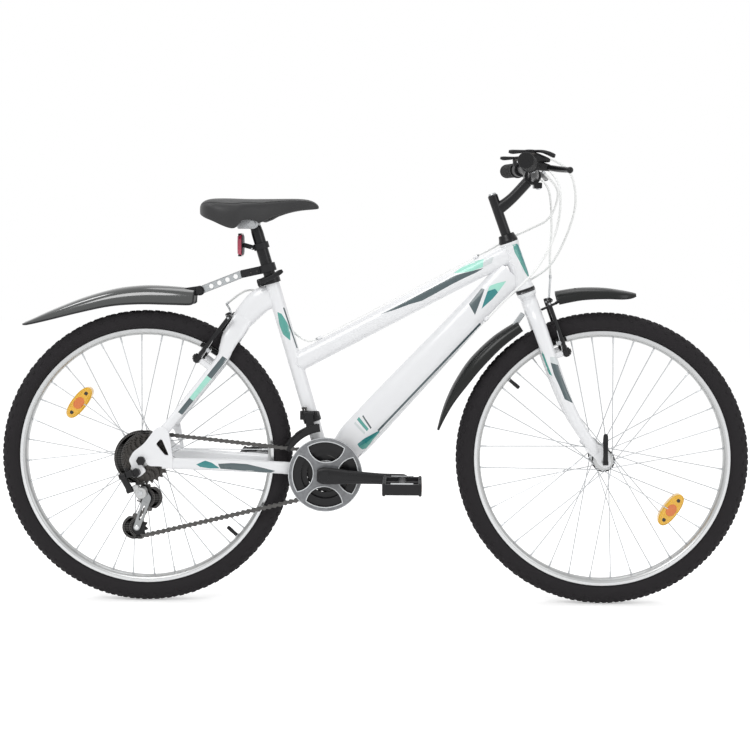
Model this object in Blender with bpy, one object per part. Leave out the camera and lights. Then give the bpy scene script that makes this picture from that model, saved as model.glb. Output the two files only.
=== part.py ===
"""Bicycle: every solid of it, in metres, +X to the front wheel, +Z up, -Y the drive side.

The shapes are worked out in millimetres and scaled once, when a piece is finished.
"""
import math
import bpy
import bmesh
from mathutils import Matrix, Vector

MM = 0.001

# wheels
WHEELBASE = 1013.0
WHEEL_R = 325.0
TYRE_HALF_WIDTH = 24.0
RIM_HALF_WIDTH = 13.5
RIM_OUTER_R = 284.5
RIM_INNER_R = 270.0
SPOKES = 36
SPOKE_CROSS_DEG = 60.0
SPOKE_HOLE_R = 22.0
SPOKE_R = 1.1
REFLECTOR_R = 192.0
WHEEL_SIDES = 32
FRONT_VALVE_DEG = 139.9
REAR_VALVE_DEG = -42.0
FRONT_REFLECTOR_DEG = -36.5
REAR_REFLECTOR_DEG = 142.5

# frame lines
BB_X = -105.0
BB_Z = 294.0
SEAT_ANGLE = math.radians(73.5)
HEAD_ANGLE = math.radians(70.5)
STEER_BASE = Vector((471.6, 0.0, 312.6))
HEAD_TUBE_R = 19.0
SEAT_TUBE_R = 16.0
SEAT_BORE_R = 13.75
SEAT_TOP = 447.0
POST_R = 13.4
TUBE_WALL = 2.2
DROPOUT_INNER_Y = 68.0
DROPOUT_THICK = 6.0
AXLE_R = 5.0

# drive train
PITCH = 12.7
CHAIN_Y = -38.0
RING_TEETH = (22, 30, 38)
RING_GAP = 7.5
SPROCKET_TEETH = (28, 24, 22, 20, 18, 16, 14)
SPROCKET_GAP = 4.3
PULLEY_TEETH = 11
TOOTH_DROP = 2.0
PULLEY_DROP = 3.2
CRANK_LENGTH = 170.0
CRANK_DEG = -2.0
GUARD_R = 81.5
PEDAL_Y = 150.0

# steering end
BAR_CLAMP = Vector((348.0, 0.0, 950.0))
BAR_END = Vector((311.0, 297.0, 972.5))
BAR_R = 11.1
BAR_CLAMP_R = 12.7
GRIP_START = 172.0

REAR_AXLE = Vector((-WHEELBASE / 2, 0.0, WHEEL_R))
GUIDE_AT = (REAR_AXLE.x + 6.5, REAR_AXLE.z - 89.0)
TENSION_AT = (REAR_AXLE.x - 16.5, REAR_AXLE.z - 154.0)
KNUCKLE_AT = (REAR_AXLE.x - 3.0, REAR_AXLE.z - 73.0)
HANGER_AT = (REAR_AXLE.x - 10.5, REAR_AXLE.z - 26.0)
FRONT_AXLE = Vector((WHEELBASE / 2, 0.0, WHEEL_R))
BB = Vector((BB_X, 0.0, BB_Z))
SEAT_UP = Vector((-math.cos(SEAT_ANGLE), 0.0, math.sin(SEAT_ANGLE)))
SEAT_FWD = Vector((math.sin(SEAT_ANGLE), 0.0, math.cos(SEAT_ANGLE)))
STEER_UP = Vector((-math.cos(HEAD_ANGLE), 0.0, math.sin(HEAD_ANGLE)))
STEER_FWD = Vector((math.sin(HEAD_ANGLE), 0.0, math.cos(HEAD_ANGLE)))
UP = Vector((0.0, 0.0, 1.0))
SIDE = Vector((0.0, 1.0, 0.0))
AHEAD = Vector((1.0, 0.0, 0.0))

for thing in list(bpy.data.objects):
    bpy.data.objects.remove(thing)

PAINTS = {}


def look(name, colour, metal, rough):
    PAINTS[name] = (colour, metal, rough)


look("white_paint", (0.86, 0.87, 0.88), 0.0, 0.25)
look("black_paint", (0.03, 0.03, 0.035), 0.0, 0.35)
look("steel", (0.62, 0.63, 0.65), 1.0, 0.3)
look("alloy", (0.72, 0.73, 0.75), 1.0, 0.28)
look("black_plastic", (0.035, 0.035, 0.04), 0.0, 0.5)
look("grey_plastic", (0.42, 0.43, 0.45), 0.0, 0.45)
look("rubber", (0.03, 0.03, 0.03), 0.0, 0.8)
look("white_plastic", (0.85, 0.85, 0.86), 0.0, 0.35)
look("red_plastic", (0.55, 0.03, 0.03), 0.0, 0.2)
look("dark_steel", (0.12, 0.11, 0.1), 1.0, 0.4)


def steer(s, n=0.0, y=0.0):
    """Point s up the steering axis and n ahead of it."""
    return STEER_BASE + STEER_UP * s + STEER_FWD * n + SIDE * y


def seat(s, n=0.0, y=0.0):
    """Point s up the seat tube and n ahead of it."""
    return BB + SEAT_UP * s + SEAT_FWD * n + SIDE * y


def at(x, y, z):
    return Vector((x, y, z))


def body(points, faces, split=False):
    """A working solid with its faces turned outwards, split to triangles where they are warped."""
    mesh = bpy.data.meshes.new("working")
    mesh.from_pydata([tuple(p) for p in points], [], faces)
    work = bmesh.new()
    work.from_mesh(mesh)
    if split:
        bmesh.ops.triangulate(work, faces=work.faces)
    bmesh.ops.recalc_face_normals(work, faces=work.faces)
    work.to_mesh(mesh)
    work.free()
    thing = bpy.data.objects.new("working", mesh)
    bpy.context.scene.collection.objects.link(thing)
    return thing


def combine(base, others, operation):
    for other in others:
        modifier = base.modifiers.new("combine", "BOOLEAN")
        modifier.operation = operation
        modifier.solver = "EXACT"
        modifier.object = other
    bpy.context.view_layer.update()
    graph = bpy.context.evaluated_depsgraph_get()
    mesh = bpy.data.meshes.new_from_object(base.evaluated_get(graph))
    base.modifiers.clear()
    base.data = mesh
    for other in others:
        bpy.data.objects.remove(other)
    return base


def join(base, *others):
    return combine(base, others, "UNION")


def cut(base, *others):
    return combine(base, others, "DIFFERENCE")


def gather(things):
    """Working solids that don't touch, as one cutter or adder."""
    points = []
    faces = []
    for thing in things:
        start = len(points)
        points.extend(v.co.copy() for v in thing.data.vertices)
        faces.extend([start + i for i in f.vertices] for f in thing.data.polygons)
        bpy.data.objects.remove(thing)
    return body(points, faces)


def finish(name, thing, paint, origin=(0.0, 0.0, 0.0)):
    """Name the piece, put its origin in place and scale it to metres."""
    work = bmesh.new()
    work.from_mesh(thing.data)
    bmesh.ops.remove_doubles(work, verts=work.verts, dist=0.001)
    bmesh.ops.dissolve_degenerate(work, dist=0.0005, edges=work.edges)
    bmesh.ops.dissolve_limit(work, angle_limit=math.radians(0.15), verts=work.verts, edges=work.edges)
    bmesh.ops.triangulate(work, faces=work.faces)
    work.to_mesh(thing.data)
    work.free()
    thing.data.transform(Matrix.Translation(-Vector(origin)))
    thing.data.transform(Matrix.Scale(MM, 4))
    thing.location = Vector(origin) * MM
    thing.name = name
    thing.data.name = name
    colour, metal, rough = PAINTS[paint]
    material = bpy.data.materials.new(name)
    material.use_nodes = True
    shader = material.node_tree.nodes["Principled BSDF"]
    shader.inputs["Base Color"].default_value = (*colour, 1.0)
    shader.inputs["Metallic"].default_value = metal
    shader.inputs["Roughness"].default_value = rough
    thing.data.materials.clear()
    thing.data.materials.append(material)
    return thing


def loft(rings, loop=False, split=False):
    """Solid through rings of equally many points."""
    count = len(rings[0])
    points = [p for ring in rings for p in ring]
    faces = []
    spans = len(rings) if loop else len(rings) - 1
    for i in range(spans):
        a = i * count
        b = ((i + 1) % len(rings)) * count
        for k in range(count):
            m = (k + 1) % count
            faces.append([a + k, a + m, b + m, b + k])
    if not loop:
        faces.append(list(range(count)))
        faces.append([len(points) - count + k for k in range(count)])
    return body(points, faces, split)


def oval(centre, u, w, ru, rw, sides, phase=0.0):
    ring = []
    for k in range(sides):
        angle = phase + 2.0 * math.pi * k / sides
        ring.append(centre + u * (ru * math.cos(angle)) + w * (rw * math.sin(angle)))
    return ring


def cross_pair(direction):
    """Two unit vectors across a direction, the second as near to +Y as it can be."""
    d = direction.normalized()
    w = SIDE - d * SIDE.dot(d)
    if w.length < 0.05:
        w = UP - d * UP.dot(d)
    w.normalize()
    return w.cross(d), w


def mitre(path, i):
    if i == 0:
        return (path[1] - path[0]).normalized()
    if i == len(path) - 1:
        return (path[-1] - path[-2]).normalized()
    return ((path[i] - path[i - 1]).normalized() + (path[i + 1] - path[i]).normalized()).normalized()


def blade(path, halves, sides):
    """Solid along a path: halves are its half sizes in plane and across."""
    rings = []
    phase = math.pi / sides
    for i, p in enumerate(path):
        u, w = cross_pair(mitre(path, i))
        rings.append(oval(p, u, w, halves[i][0], halves[i][1], sides, phase))
    return loft(rings)


def wire(path, radii, sides=6):
    """Round solid along a path, its section carried along without twist."""
    if isinstance(radii, (int, float)):
        radii = [radii] * len(path)
    u, w = cross_pair(mitre(path, 0))
    rings = []
    for i, p in enumerate(path):
        d = mitre(path, i)
        u = (u - d * u.dot(d)).normalized()
        w = d.cross(u)
        rings.append(oval(p, u, w, radii[i], radii[i], sides))
    return loft(rings, split=True)


def pipe(path, outer, inner, sides=12):
    """Open tube along a path that keeps one wall."""
    rings = []
    u, w = cross_pair(mitre(path, 0))
    frames = []
    for i, p in enumerate(path):
        d = mitre(path, i)
        u = (u - d * u.dot(d)).normalized()
        frames.append((p, u, d.cross(u)))
    for i, (p, a, b) in enumerate(frames):
        rings.append(oval(p, a, b, outer[i], outer[i], sides))
    for i in range(len(frames) - 1, -1, -1):
        p, a, b = frames[i]
        rings.append(oval(p, a, b, inner[i], inner[i], sides))
    return loft(rings, loop=True)


def turned(profile, base, axis, sides, phase=0.0):
    """Closed (radius, height) profile turned about an axis."""
    d = axis.normalized()
    u, w = cross_pair(d)
    if abs(d.y) > 0.9:
        u = AHEAD - d * AHEAD.dot(d)
        u.normalize()
        w = d.cross(u)
    points = []
    index = []
    for r, h in profile:
        if r < 1e-6:
            points.append(base + d * h)
            index.append([len(points) - 1] * sides)
            continue
        start = len(points)
        points.extend(oval(base + d * h, u, w, r, r, sides, phase))
        index.append(list(range(start, start + sides)))
    faces = []
    for i in range(len(profile)):
        a = index[i]
        b = index[(i + 1) % len(profile)]
        if len(set(a)) == 1 and len(set(b)) == 1:
            continue
        for k in range(sides):
            m = (k + 1) % sides
            face = []
            for corner in (a[k], a[m], b[m], b[k]):
                if corner not in face:
                    face.append(corner)
            faces.append(face)
    return body(points, faces)


def rod(start, end, radius, sides=12):
    """Solid cylinder between two points."""
    length = (end - start).length
    profile = [(0.0, 0.0), (radius, 0.0), (radius, length), (0.0, length)]
    return turned(profile, start, end - start, sides)


def sleeve(start, end, outer, inner, sides=16):
    """Straight tube between two points."""
    length = (end - start).length
    profile = [(inner, 0.0), (outer, 0.0), (outer, length), (inner, length)]
    return turned(profile, start, end - start, sides)


def box(low, high):
    points = []
    for x in (low[0], high[0]):
        for y in (low[1], high[1]):
            for z in (low[2], high[2]):
                points.append(Vector((x, y, z)))
    faces = [[0, 1, 3, 2], [4, 6, 7, 5], [0, 4, 5, 1], [2, 3, 7, 6], [0, 2, 6, 4], [1, 5, 7, 3]]
    return body(points, faces)


def beam(start, end, across, half_across, half_deep):
    """Square bar between two points."""
    d = (end - start).normalized()
    a = (across - d * across.dot(d)).normalized()
    b = d.cross(a)
    rings = []
    for p in (start, end):
        ring = []
        for i, j in ((-1, -1), (1, -1), (1, 1), (-1, 1)):
            ring.append(p + a * (half_across * i) + b * (half_deep * j))
        rings.append(ring)
    return loft(rings)


def plate(outline, y_low, y_high):
    """Flat plate across Y from an (x, z) outline."""
    rings = []
    for y in (y_low, y_high):
        rings.append([Vector((x, y, z)) for x, z in outline])
    return loft(rings)


def disc_outline(x, z, radius, count, start=0.0):
    ring = []
    for k in range(count):
        angle = math.radians(start) + 2.0 * math.pi * k / count
        ring.append((x + radius * math.cos(angle), z + radius * math.sin(angle)))
    return ring


def hull_outline(discs, count=16):
    """Outline round several (x, z, radius) discs pulled tight."""
    cloud = []
    for x, z, r in discs:
        cloud.extend(disc_outline(x, z, r, count))
    cloud = sorted(set((round(x, 4), round(z, 4)) for x, z in cloud))

    def half(points):
        chain = []
        for p in points:
            while len(chain) > 1:
                a = chain[-2]
                b = chain[-1]
                turn = (b[0] - a[0]) * (p[1] - a[1]) - (b[1] - a[1]) * (p[0] - a[0])
                if turn > 1e-6:
                    break
                chain.pop()
            chain.append(p)
        return chain[:-1]

    return half(cloud) + half(cloud[::-1])


def pitch_radius(teeth):
    return PITCH / (2.0 * math.sin(math.pi / teeth))


def tooth_loop(teeth, per_tooth=3, drop=TOOTH_DROP, phase=0.0):
    """Toothed outline as (radius, angle) pairs: its tips stay under the chain's pins."""
    tip = pitch_radius(teeth) - drop
    root = tip - 3.6
    loop = []
    for k in range(teeth):
        centre = phase + 2.0 * math.pi * k / teeth
        step = 2.0 * math.pi / teeth
        if per_tooth == 3:
            loop.append((tip, centre - 0.13 * step))
            loop.append((tip, centre + 0.13 * step))
            loop.append((root, centre + 0.5 * step))
        else:
            loop.append((tip, centre))
            loop.append((root, centre + 0.5 * step))
    return loop


def round_loop(radius, count, phase=0.0):
    return [(radius, phase + 2.0 * math.pi * k / count) for k in range(count)]


def stack(centre, levels, bore):
    """Discs of changing outline on the Y axis: levels are (loop, y start, y end)."""
    points = []
    faces = []

    def lay(loop, y):
        start = len(points)
        for r, angle in loop:
            points.append(Vector((centre[0] + r * math.cos(angle), y, centre[1] + r * math.sin(angle))))
        return list(range(start, len(points)))

    def wall(a, b):
        for k in range(len(a)):
            m = (k + 1) % len(a)
            faces.append([a[k], a[m], b[m], b[k]])

    def zip_loops(outer, outer_loop, inner, inner_loop):
        """Flat face between two loops, closed by walking both by angle."""
        i = 0
        j = 0
        n = len(outer)
        m = len(inner)
        while i < n or j < m:
            next_i = outer_loop[(i + 1) % n][1] + (2.0 * math.pi if i + 1 >= n else 0.0)
            next_j = inner_loop[(j + 1) % m][1] + (2.0 * math.pi if j + 1 >= m else 0.0)
            if j >= m or (i < n and next_i <= next_j):
                faces.append([outer[i % n], outer[(i + 1) % n], inner[j % m]])
                i += 1
            else:
                faces.append([outer[i % n], inner[(j + 1) % m], inner[j % m]])
                j += 1

    bore_start = lay(bore, levels[0][1])
    previous = None
    for loop, y0, y1 in levels:
        low = lay(loop, y0) if previous is None else None
        if previous is None:
            zip_loops(low, loop, bore_start, bore)
        else:
            low = lay(loop, y0)
            old_index, old_loop = previous
            if sum(r for r, a in old_loop) / len(old_loop) > sum(r for r, a in loop) / len(loop):
                zip_loops(old_index, old_loop, low, loop)
            else:
                zip_loops(low, loop, old_index, old_loop)
        high = lay(loop, y1)
        wall(low, high)
        previous = (high, loop)
    bore_end = lay(bore, levels[-1][2])
    zip_loops(previous[0], previous[1], bore_end, bore)
    wall(bore_start, bore_end)
    return body(points, faces)


# wheels


def ring_profile(profile, centre, phase_deg=-90.0, sides=WHEEL_SIDES):
    return turned(profile, centre, SIDE, sides, math.radians(phase_deg))


def polar(centre, radius, degrees, y=0.0):
    angle = math.radians(degrees)
    return at(centre.x + radius * math.cos(angle), y, centre.z + radius * math.sin(angle))


def spoke(centre, flange_y, hole_deg, rim_deg, out):
    """One spoke: out of its flange hole, round the elbow and up to the rim, thicker at its nipple."""
    lean = 2.9 * out
    rim_y = 2.4 if flange_y > 0 else -2.4
    root = polar(centre, SPOKE_HOLE_R, hole_deg, flange_y)
    elbow = polar(centre, SPOKE_HOLE_R, hole_deg, flange_y + lean)
    tip = polar(centre, RIM_INNER_R - 2.0, rim_deg, rim_y)
    return wire([root, elbow, tip], [SPOKE_R, SPOKE_R, 1.5], 3)


def wheel(name, centre, hub_profile, flange_left, flange_right, valve_deg, reflector_deg):
    outside = [(WHEEL_R, 0.0), (319.0, 16.5), (303.0, TYRE_HALF_WIDTH), (286.6, 15.0), (285.2, 11.1), (280.4, 11.1)]
    inside = [(280.4, 8.3), (290.0, 13.6), (303.5, 21.0), (320.4, 0.0)]
    profile = outside + inside + [(r, -h) for r, h in reversed(inside[:-1])]
    profile = profile + [(r, -h) for r, h in reversed(outside[1:])]
    finish(name + "_tyre", ring_profile(profile, centre), "rubber", centre)

    rim_half = [(RIM_INNER_R, 6.0), (274.5, RIM_HALF_WIDTH), (RIM_OUTER_R, RIM_HALF_WIDTH),
                (RIM_OUTER_R, 11.5), (279.6, 11.2), (275.6, 5.0)]
    rim_profile = list(rim_half) + [(r, -h) for r, h in reversed(rim_half)]
    rim = ring_profile(rim_profile, centre)
    hole = rod(polar(centre, 262.0, valve_deg), polar(centre, 283.0, valve_deg), 3.6, 8)
    rim = cut(rim, hole)
    finish(name + "_rim", rim, "alloy", centre)

    outer = [(300.0 + 16.6 * math.cos(k * math.pi / 3), 14.2 * math.sin(k * math.pi / 3)) for k in range(6)]
    hollow = [(300.0 + 14.4 * math.cos(k * math.pi / 3), 12.2 * math.sin(k * math.pi / 3)) for k in range(6)]
    tube = ring_profile(outer, centre, valve_deg, 20)
    stem = rod(polar(centre, 240.0, valve_deg), polar(centre, 287.0, valve_deg), 3.1, 8)
    tube = join(tube, stem)
    bore = rod(polar(centre, 236.0, valve_deg), polar(centre, 296.0, valve_deg), 1.2, 6)
    tube = cut(tube, ring_profile(hollow, centre, valve_deg, 20))
    tube = cut(tube, bore)
    finish(name + "_inner_tube", tube, "rubber", centre)

    hub = turned(hub_profile, centre, SIDE, 18, -math.radians(valve_deg + 10.0))
    spokes = []
    for side in (0, 1):
        flange_y = flange_right if side == 0 else flange_left
        for k in range(SPOKES // 2):
            hole_deg = valve_deg + 5.0 + 20.0 * k + 10.0 * side
            lean = 1 if k % 2 == 0 else -1
            rim_deg = hole_deg + SPOKE_CROSS_DEG * lean
            spokes.append(spoke(centre, flange_y, hole_deg, rim_deg, lean))
    hub = join(hub, gather(spokes))
    mid = polar(centre, REFLECTOR_R, reflector_deg)
    along = polar(centre, 1.0, reflector_deg + 90.0) - centre
    reflector = beam(mid - along * 41.0, mid + along * 41.0, SIDE, 13.5, 17.0)
    hub = join(hub, reflector)
    finish(name + "_hub", hub, "alloy", centre)


front_hub = [(5.4, 38.0), (11.0, 38.0), (11.0, 36.6), (16.0, 34.7), (25.0, 34.3), (25.0, 31.7), (17.0, 31.4),
             (12.5, 26.0), (12.5, -26.0), (17.0, -31.4), (25.0, -31.7), (25.0, -34.3), (16.0, -34.7),
             (11.0, -36.6), (11.0, -38.0), (5.4, -38.0)]
wheel("front", FRONT_AXLE, front_hub, 33.0, -33.0, FRONT_VALVE_DEG, FRONT_REFLECTOR_DEG)
rear_hub = [(5.6, 38.0), (11.0, 38.0), (11.0, 37.4), (16.0, 35.7), (25.0, 35.3), (25.0, 32.7), (18.0, 32.4),
            (14.0, 27.0), (14.0, -23.0), (18.0, -28.4), (25.0, -28.7), (25.0, -31.3), (16.0, -31.7),
            (16.0, -62.0), (5.6, -62.0)]
wheel("rear", REAR_AXLE, rear_hub, 34.0, -30.0, REAR_VALVE_DEG, REAR_REFLECTOR_DEG)

front_axle = turned([(0.0, -56.6), (7.5, -56.6), (7.5, -63.6), (0.0, -63.6)], FRONT_AXLE, SIDE, 12)
front_axle = join(front_axle,
                  rod(FRONT_AXLE - SIDE * 57.5, FRONT_AXLE + SIDE * 58.0, 4.9, 10),
                  turned([(0.0, 38.4), (9.0, 38.4), (9.0, 49.6), (0.0, 49.6)], FRONT_AXLE, SIDE, 12),
                  turned([(0.0, -38.4), (9.0, -38.4), (9.0, -49.6), (0.0, -49.6)], FRONT_AXLE, SIDE, 12),
                  turned([(0.0, 56.6), (10.0, 56.6), (9.0, 64.0), (0.0, 64.0)], FRONT_AXLE, SIDE, 10))
finish("front_axle", front_axle, "steel")
lever_pivot = FRONT_AXLE + at(0.0, -69.0, 0.0)
lever = rod(lever_pivot - AHEAD * 6.0, lever_pivot + AHEAD * 6.0, 4.8, 10)
lever_path = [lever_pivot, lever_pivot + at(0, -1.0, 22), lever_pivot + at(0, 1.0, 46), lever_pivot + at(0, 0.0, 64)]
lever = join(lever, blade(lever_path, [(5.4, 2.8), (5.4, 2.6), (5.6, 2.4), (4.0, 2.0)], 8))
finish("front_quick_release", lever, "black_paint", lever_pivot)

rear_axle = rod(REAR_AXLE - SIDE * 82.0, REAR_AXLE + SIDE * 82.0, AXLE_R, 10)
rear_axle = join(rear_axle,
                 turned([(0.0, 38.4), (9.0, 38.4), (9.0, 67.6), (0.0, 67.6)], REAR_AXLE, SIDE, 12),
                 turned([(0.0, -62.4), (9.0, -62.4), (9.0, -67.6), (0.0, -67.6)], REAR_AXLE, SIDE, 12),
                 turned([(0.0, 74.4), (9.5, 74.4), (9.5, 83.0), (0.0, 83.0)], REAR_AXLE, SIDE, 6),
                 turned([(0.0, -74.4), (9.5, -74.4), (9.5, -83.0), (0.0, -83.0)], REAR_AXLE, SIDE, 6))
finish("rear_axle", rear_axle, "steel")

# drive train


def gear_levels():
    levels = []
    y = CHAIN_Y
    for i, teeth in enumerate(SPROCKET_TEETH):
        levels.append((tooth_loop(teeth, 2), y + 0.9, y - 0.9))
        if i < len(SPROCKET_TEETH) - 1:
            next_root = pitch_radius(SPROCKET_TEETH[i + 1]) - TOOTH_DROP - 3.6
            levels.append((round_loop(next_root - 4.0, 12), y - 0.9, y - SPROCKET_GAP + 0.9))
        y -= SPROCKET_GAP
    return levels


finish("freewheel", stack((REAR_AXLE.x, REAR_AXLE.z), gear_levels(), round_loop(16.6, 12)),
       "dark_steel", REAR_AXLE)

rings = []
for i, teeth in enumerate(RING_TEETH):
    y = CHAIN_Y - RING_GAP * i
    rings.append(stack((BB_X, BB_Z), [(tooth_loop(teeth, 2), y + 1.1, y - 1.1)], round_loop(28.0, 12)))
chainrings = sleeve(BB + at(0, -48.3, 0), BB + at(0, -55.6, 0), 21.0, 13.9, 14)
for k in range(4):
    angle = CRANK_DEG + 45.0 + 90.0 * k
    tip = polar(BB, 34.0, angle)
    start = polar(BB, 17.0, angle)
    chainrings = join(chainrings, beam(start - SIDE * 53.0, tip - SIDE * 53.0, SIDE, 0.9, 7.0),
                      rod(tip - SIDE * 36.4, tip - SIDE * 56.8, 3.6, 6))
chainrings = join(chainrings, rings[0], rings[1], rings[2])
finish("chainrings", chainrings, "dark_steel", BB)

guard = stack((BB_X, BB_Z), [(round_loop(GUARD_R, 28), -57.4, -60.2)], round_loop(63.0, 24))
guard = join(guard, stack((BB_X, BB_Z), [(round_loop(26.0, 14), -57.4, -60.2)], round_loop(14.1, 14)))
for k in range(4):
    angle = CRANK_DEG + 45.0 + 90.0 * k
    guard = join(guard, beam(polar(BB, 22.0, angle, -58.8), polar(BB, 68.0, angle, -58.8), SIDE, 1.3, 8.0))
finish("chainguard", guard, "grey_plastic", BB)


def crank_arm(sign, inner_y, angle):
    """Tapered arm with its pedal pin; sign is -1 on the drive side."""
    out = polar(BB, 1.0, angle) - BB
    path = []
    halves = []
    for s, y, wide, thick in ((-17.0, 73.0, 15.0, 6.5), (0.0, 73.0, 19.0, 7.2), (60.0, 77.0, 14.5, 6.6),
                              (120.0, 80.0, 12.0, 6.2), (CRANK_LENGTH, 82.0, 13.0, 6.0),
                              (CRANK_LENGTH + 11.0, 82.5, 8.0, 5.0)):
        path.append(BB + out * s + SIDE * (sign * y))
        halves.append((wide, thick))
    arm = blade(path, halves, 10)
    pedal = BB + out * CRANK_LENGTH
    arm = join(arm,
               rod(BB + SIDE * (sign * inner_y), BB + SIDE * (sign * 79.0), 13.6, 14),
               rod(pedal + SIDE * (sign * 83.0), pedal + SIDE * (sign * 92.0), 8.0, 10),
               rod(pedal + SIDE * (sign * 90.0), pedal + SIDE * (sign * 191.0), 5.0, 8))
    return arm


crank_right = crank_arm(-1, 48.3, CRANK_DEG)
crank_right = cut(crank_right, rod(BB - SIDE * 40.0, BB - SIDE * 74.0, 8.8, 12))
finish("crank_right", crank_right, "black_paint", BB)
crank_left = crank_arm(1, 62.0, CRANK_DEG + 180.0)
crank_left = join(crank_left, rod(BB - SIDE * 73.6, BB + SIDE * 70.0, 8.5, 12))
finish("crank_left", crank_left, "black_paint", BB)


def pedal(name, sign, angle):
    """Platform pedal: open frame round a bearing barrel, with end reflectors' seats."""
    centre = polar(BB, CRANK_LENGTH, angle, sign * PEDAL_Y)
    low = centre - at(42.0, 45.0, 14.0)
    high = centre + at(42.0, 45.0, 14.0)
    thing = box(low, high)
    cutters = []
    for side in (-1, 1):
        near = centre + AHEAD * (side * 13.5)
        far = centre + AHEAD * (side * 35.0)
        cutters.append(box((min(near.x, far.x), low.y + 8.0, low.z - 5.0),
                           (max(near.x, far.x), centre.y - 3.0, high.z + 5.0)))
        cutters.append(box((min(near.x, far.x), centre.y + 3.0, low.z - 5.0),
                           (max(near.x, far.x), high.y - 8.0, high.z + 5.0)))
    thing = cut(thing, gather(cutters))
    start = centre - SIDE * (sign * 50.0)
    end = centre + SIDE * (sign * 41.6)
    thing = cut(thing, rod(start, end, 5.4, 8))
    finish(name, thing, "black_plastic", centre)


pedal("pedal_right", -1, CRANK_DEG)
pedal("pedal_left", 1, CRANK_DEG + 180.0)

cartridge = turned([(8.9, -37.0), (21.0, -37.0), (21.0, -34.4), (17.1, -34.4), (17.1, 34.4), (21.0, 34.4),
                    (21.0, 37.0), (8.9, 37.0)], BB, SIDE, 14)
finish("bottom_bracket", cartridge, "black_paint", BB)


def belt(circles):
    """Closed path round (x, z, radius, turn) circles; turn is 1 anticlockwise from the drive side."""
    path = []
    links = []
    count = len(circles)
    for i in range(count):
        x1, z1, r1, o1 = circles[i]
        x2, z2, r2, o2 = circles[(i + 1) % count]
        dx = x2 - x1
        dz = z2 - z1
        k = o2 * r2 - o1 * r1
        reach = math.sqrt(dx * dx + dz * dz - k * k)
        angle = math.atan2(dz, dx) - math.atan2(k, reach)
        nx = -math.sin(angle)
        nz = math.cos(angle)
        links.append(((x1 - o1 * r1 * nx, z1 - o1 * r1 * nz), (x2 - o2 * r2 * nx, z2 - o2 * r2 * nz)))
    for i in range(count):
        x, z, r, o = circles[i]
        start = links[i - 1][1]
        end = links[i][0]
        a0 = math.atan2(start[1] - z, start[0] - x)
        a1 = math.atan2(end[1] - z, end[0] - x)
        sweep = (a1 - a0) * o
        sweep = sweep % (2.0 * math.pi)
        steps = max(3, round(sweep * r / (1.5 * PITCH)))
        for k in range(steps + 1):
            a = a0 + o * sweep * k / steps
            path.append((x + r * math.cos(a), z + r * math.sin(a)))
    return path


chain_circles = ((BB_X, BB_Z, pitch_radius(RING_TEETH[0]), 1),
                 (REAR_AXLE.x, REAR_AXLE.z, pitch_radius(SPROCKET_TEETH[0]), 1),
                 (GUIDE_AT[0], GUIDE_AT[1], pitch_radius(PULLEY_TEETH), -1),
                 (TENSION_AT[0], TENSION_AT[1], pitch_radius(PULLEY_TEETH), 1))
chain_line = belt(chain_circles)
chain_section = ((-4.0, 3.3), (4.0, 3.3), (4.0, 2.2), (0.8, 2.2), (0.8, -2.2), (4.0, -2.2),
                 (4.0, -3.3), (-4.0, -3.3), (-4.0, -2.2), (-0.8, -2.2), (-0.8, 2.2), (-4.0, 2.2))
chain_rings = []
for i, (x, z) in enumerate(chain_line):
    px, pz = chain_line[i - 1]
    qx, qz = chain_line[(i + 1) % len(chain_line)]
    before = Vector((x - px, z - pz)).normalized()
    after = Vector((qx - x, qz - z)).normalized()
    tangent = (before + after).normalized()
    out_x = -tangent.y
    out_z = tangent.x
    ring = []
    for across, y in chain_section:
        ring.append(at(x + out_x * across, CHAIN_Y + y, z + out_z * across))
    chain_rings.append(ring)
finish("chain", loft(chain_rings, loop=True), "dark_steel")

# rear derailleur
for name, spot in (("guide_pulley", GUIDE_AT), ("tension_pulley", TENSION_AT)):
    wheel_levels = [(tooth_loop(PULLEY_TEETH, 2, PULLEY_DROP), CHAIN_Y + 1.3, CHAIN_Y - 1.3)]
    finish(name, stack(spot, wheel_levels, round_loop(3.9, 8)), "black_plastic", at(spot[0], CHAIN_Y, spot[1]))

cage_in = plate(hull_outline([(*GUIDE_AT, 11.0), (*TENSION_AT, 9.0)], 12), -33.4, -31.8)
cage_out = plate(hull_outline([(*GUIDE_AT, 11.0), (*TENSION_AT, 9.0)], 12), -44.2, -42.6)
arm_out = plate(hull_outline([(*GUIDE_AT, 9.0), (*KNUCKLE_AT, 9.0)], 12), -46.4, -43.4)
cage = join(cage_out, arm_out,
            rod(at(GUIDE_AT[0], -32.6, GUIDE_AT[1]), at(GUIDE_AT[0], -43.4, GUIDE_AT[1]), 3.4, 8),
            rod(at(TENSION_AT[0], -32.6, TENSION_AT[1]), at(TENSION_AT[0], -43.4, TENSION_AT[1]), 3.4, 8),
            rod(at(KNUCKLE_AT[0], -45.0, KNUCKLE_AT[1]), at(KNUCKLE_AT[0], -49.6, KNUCKLE_AT[1]), 7.0, 11),
            cage_in)
finish("derailleur_cage", cage, "steel", at(KNUCKLE_AT[0], -45.0, KNUCKLE_AT[1]))

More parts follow.
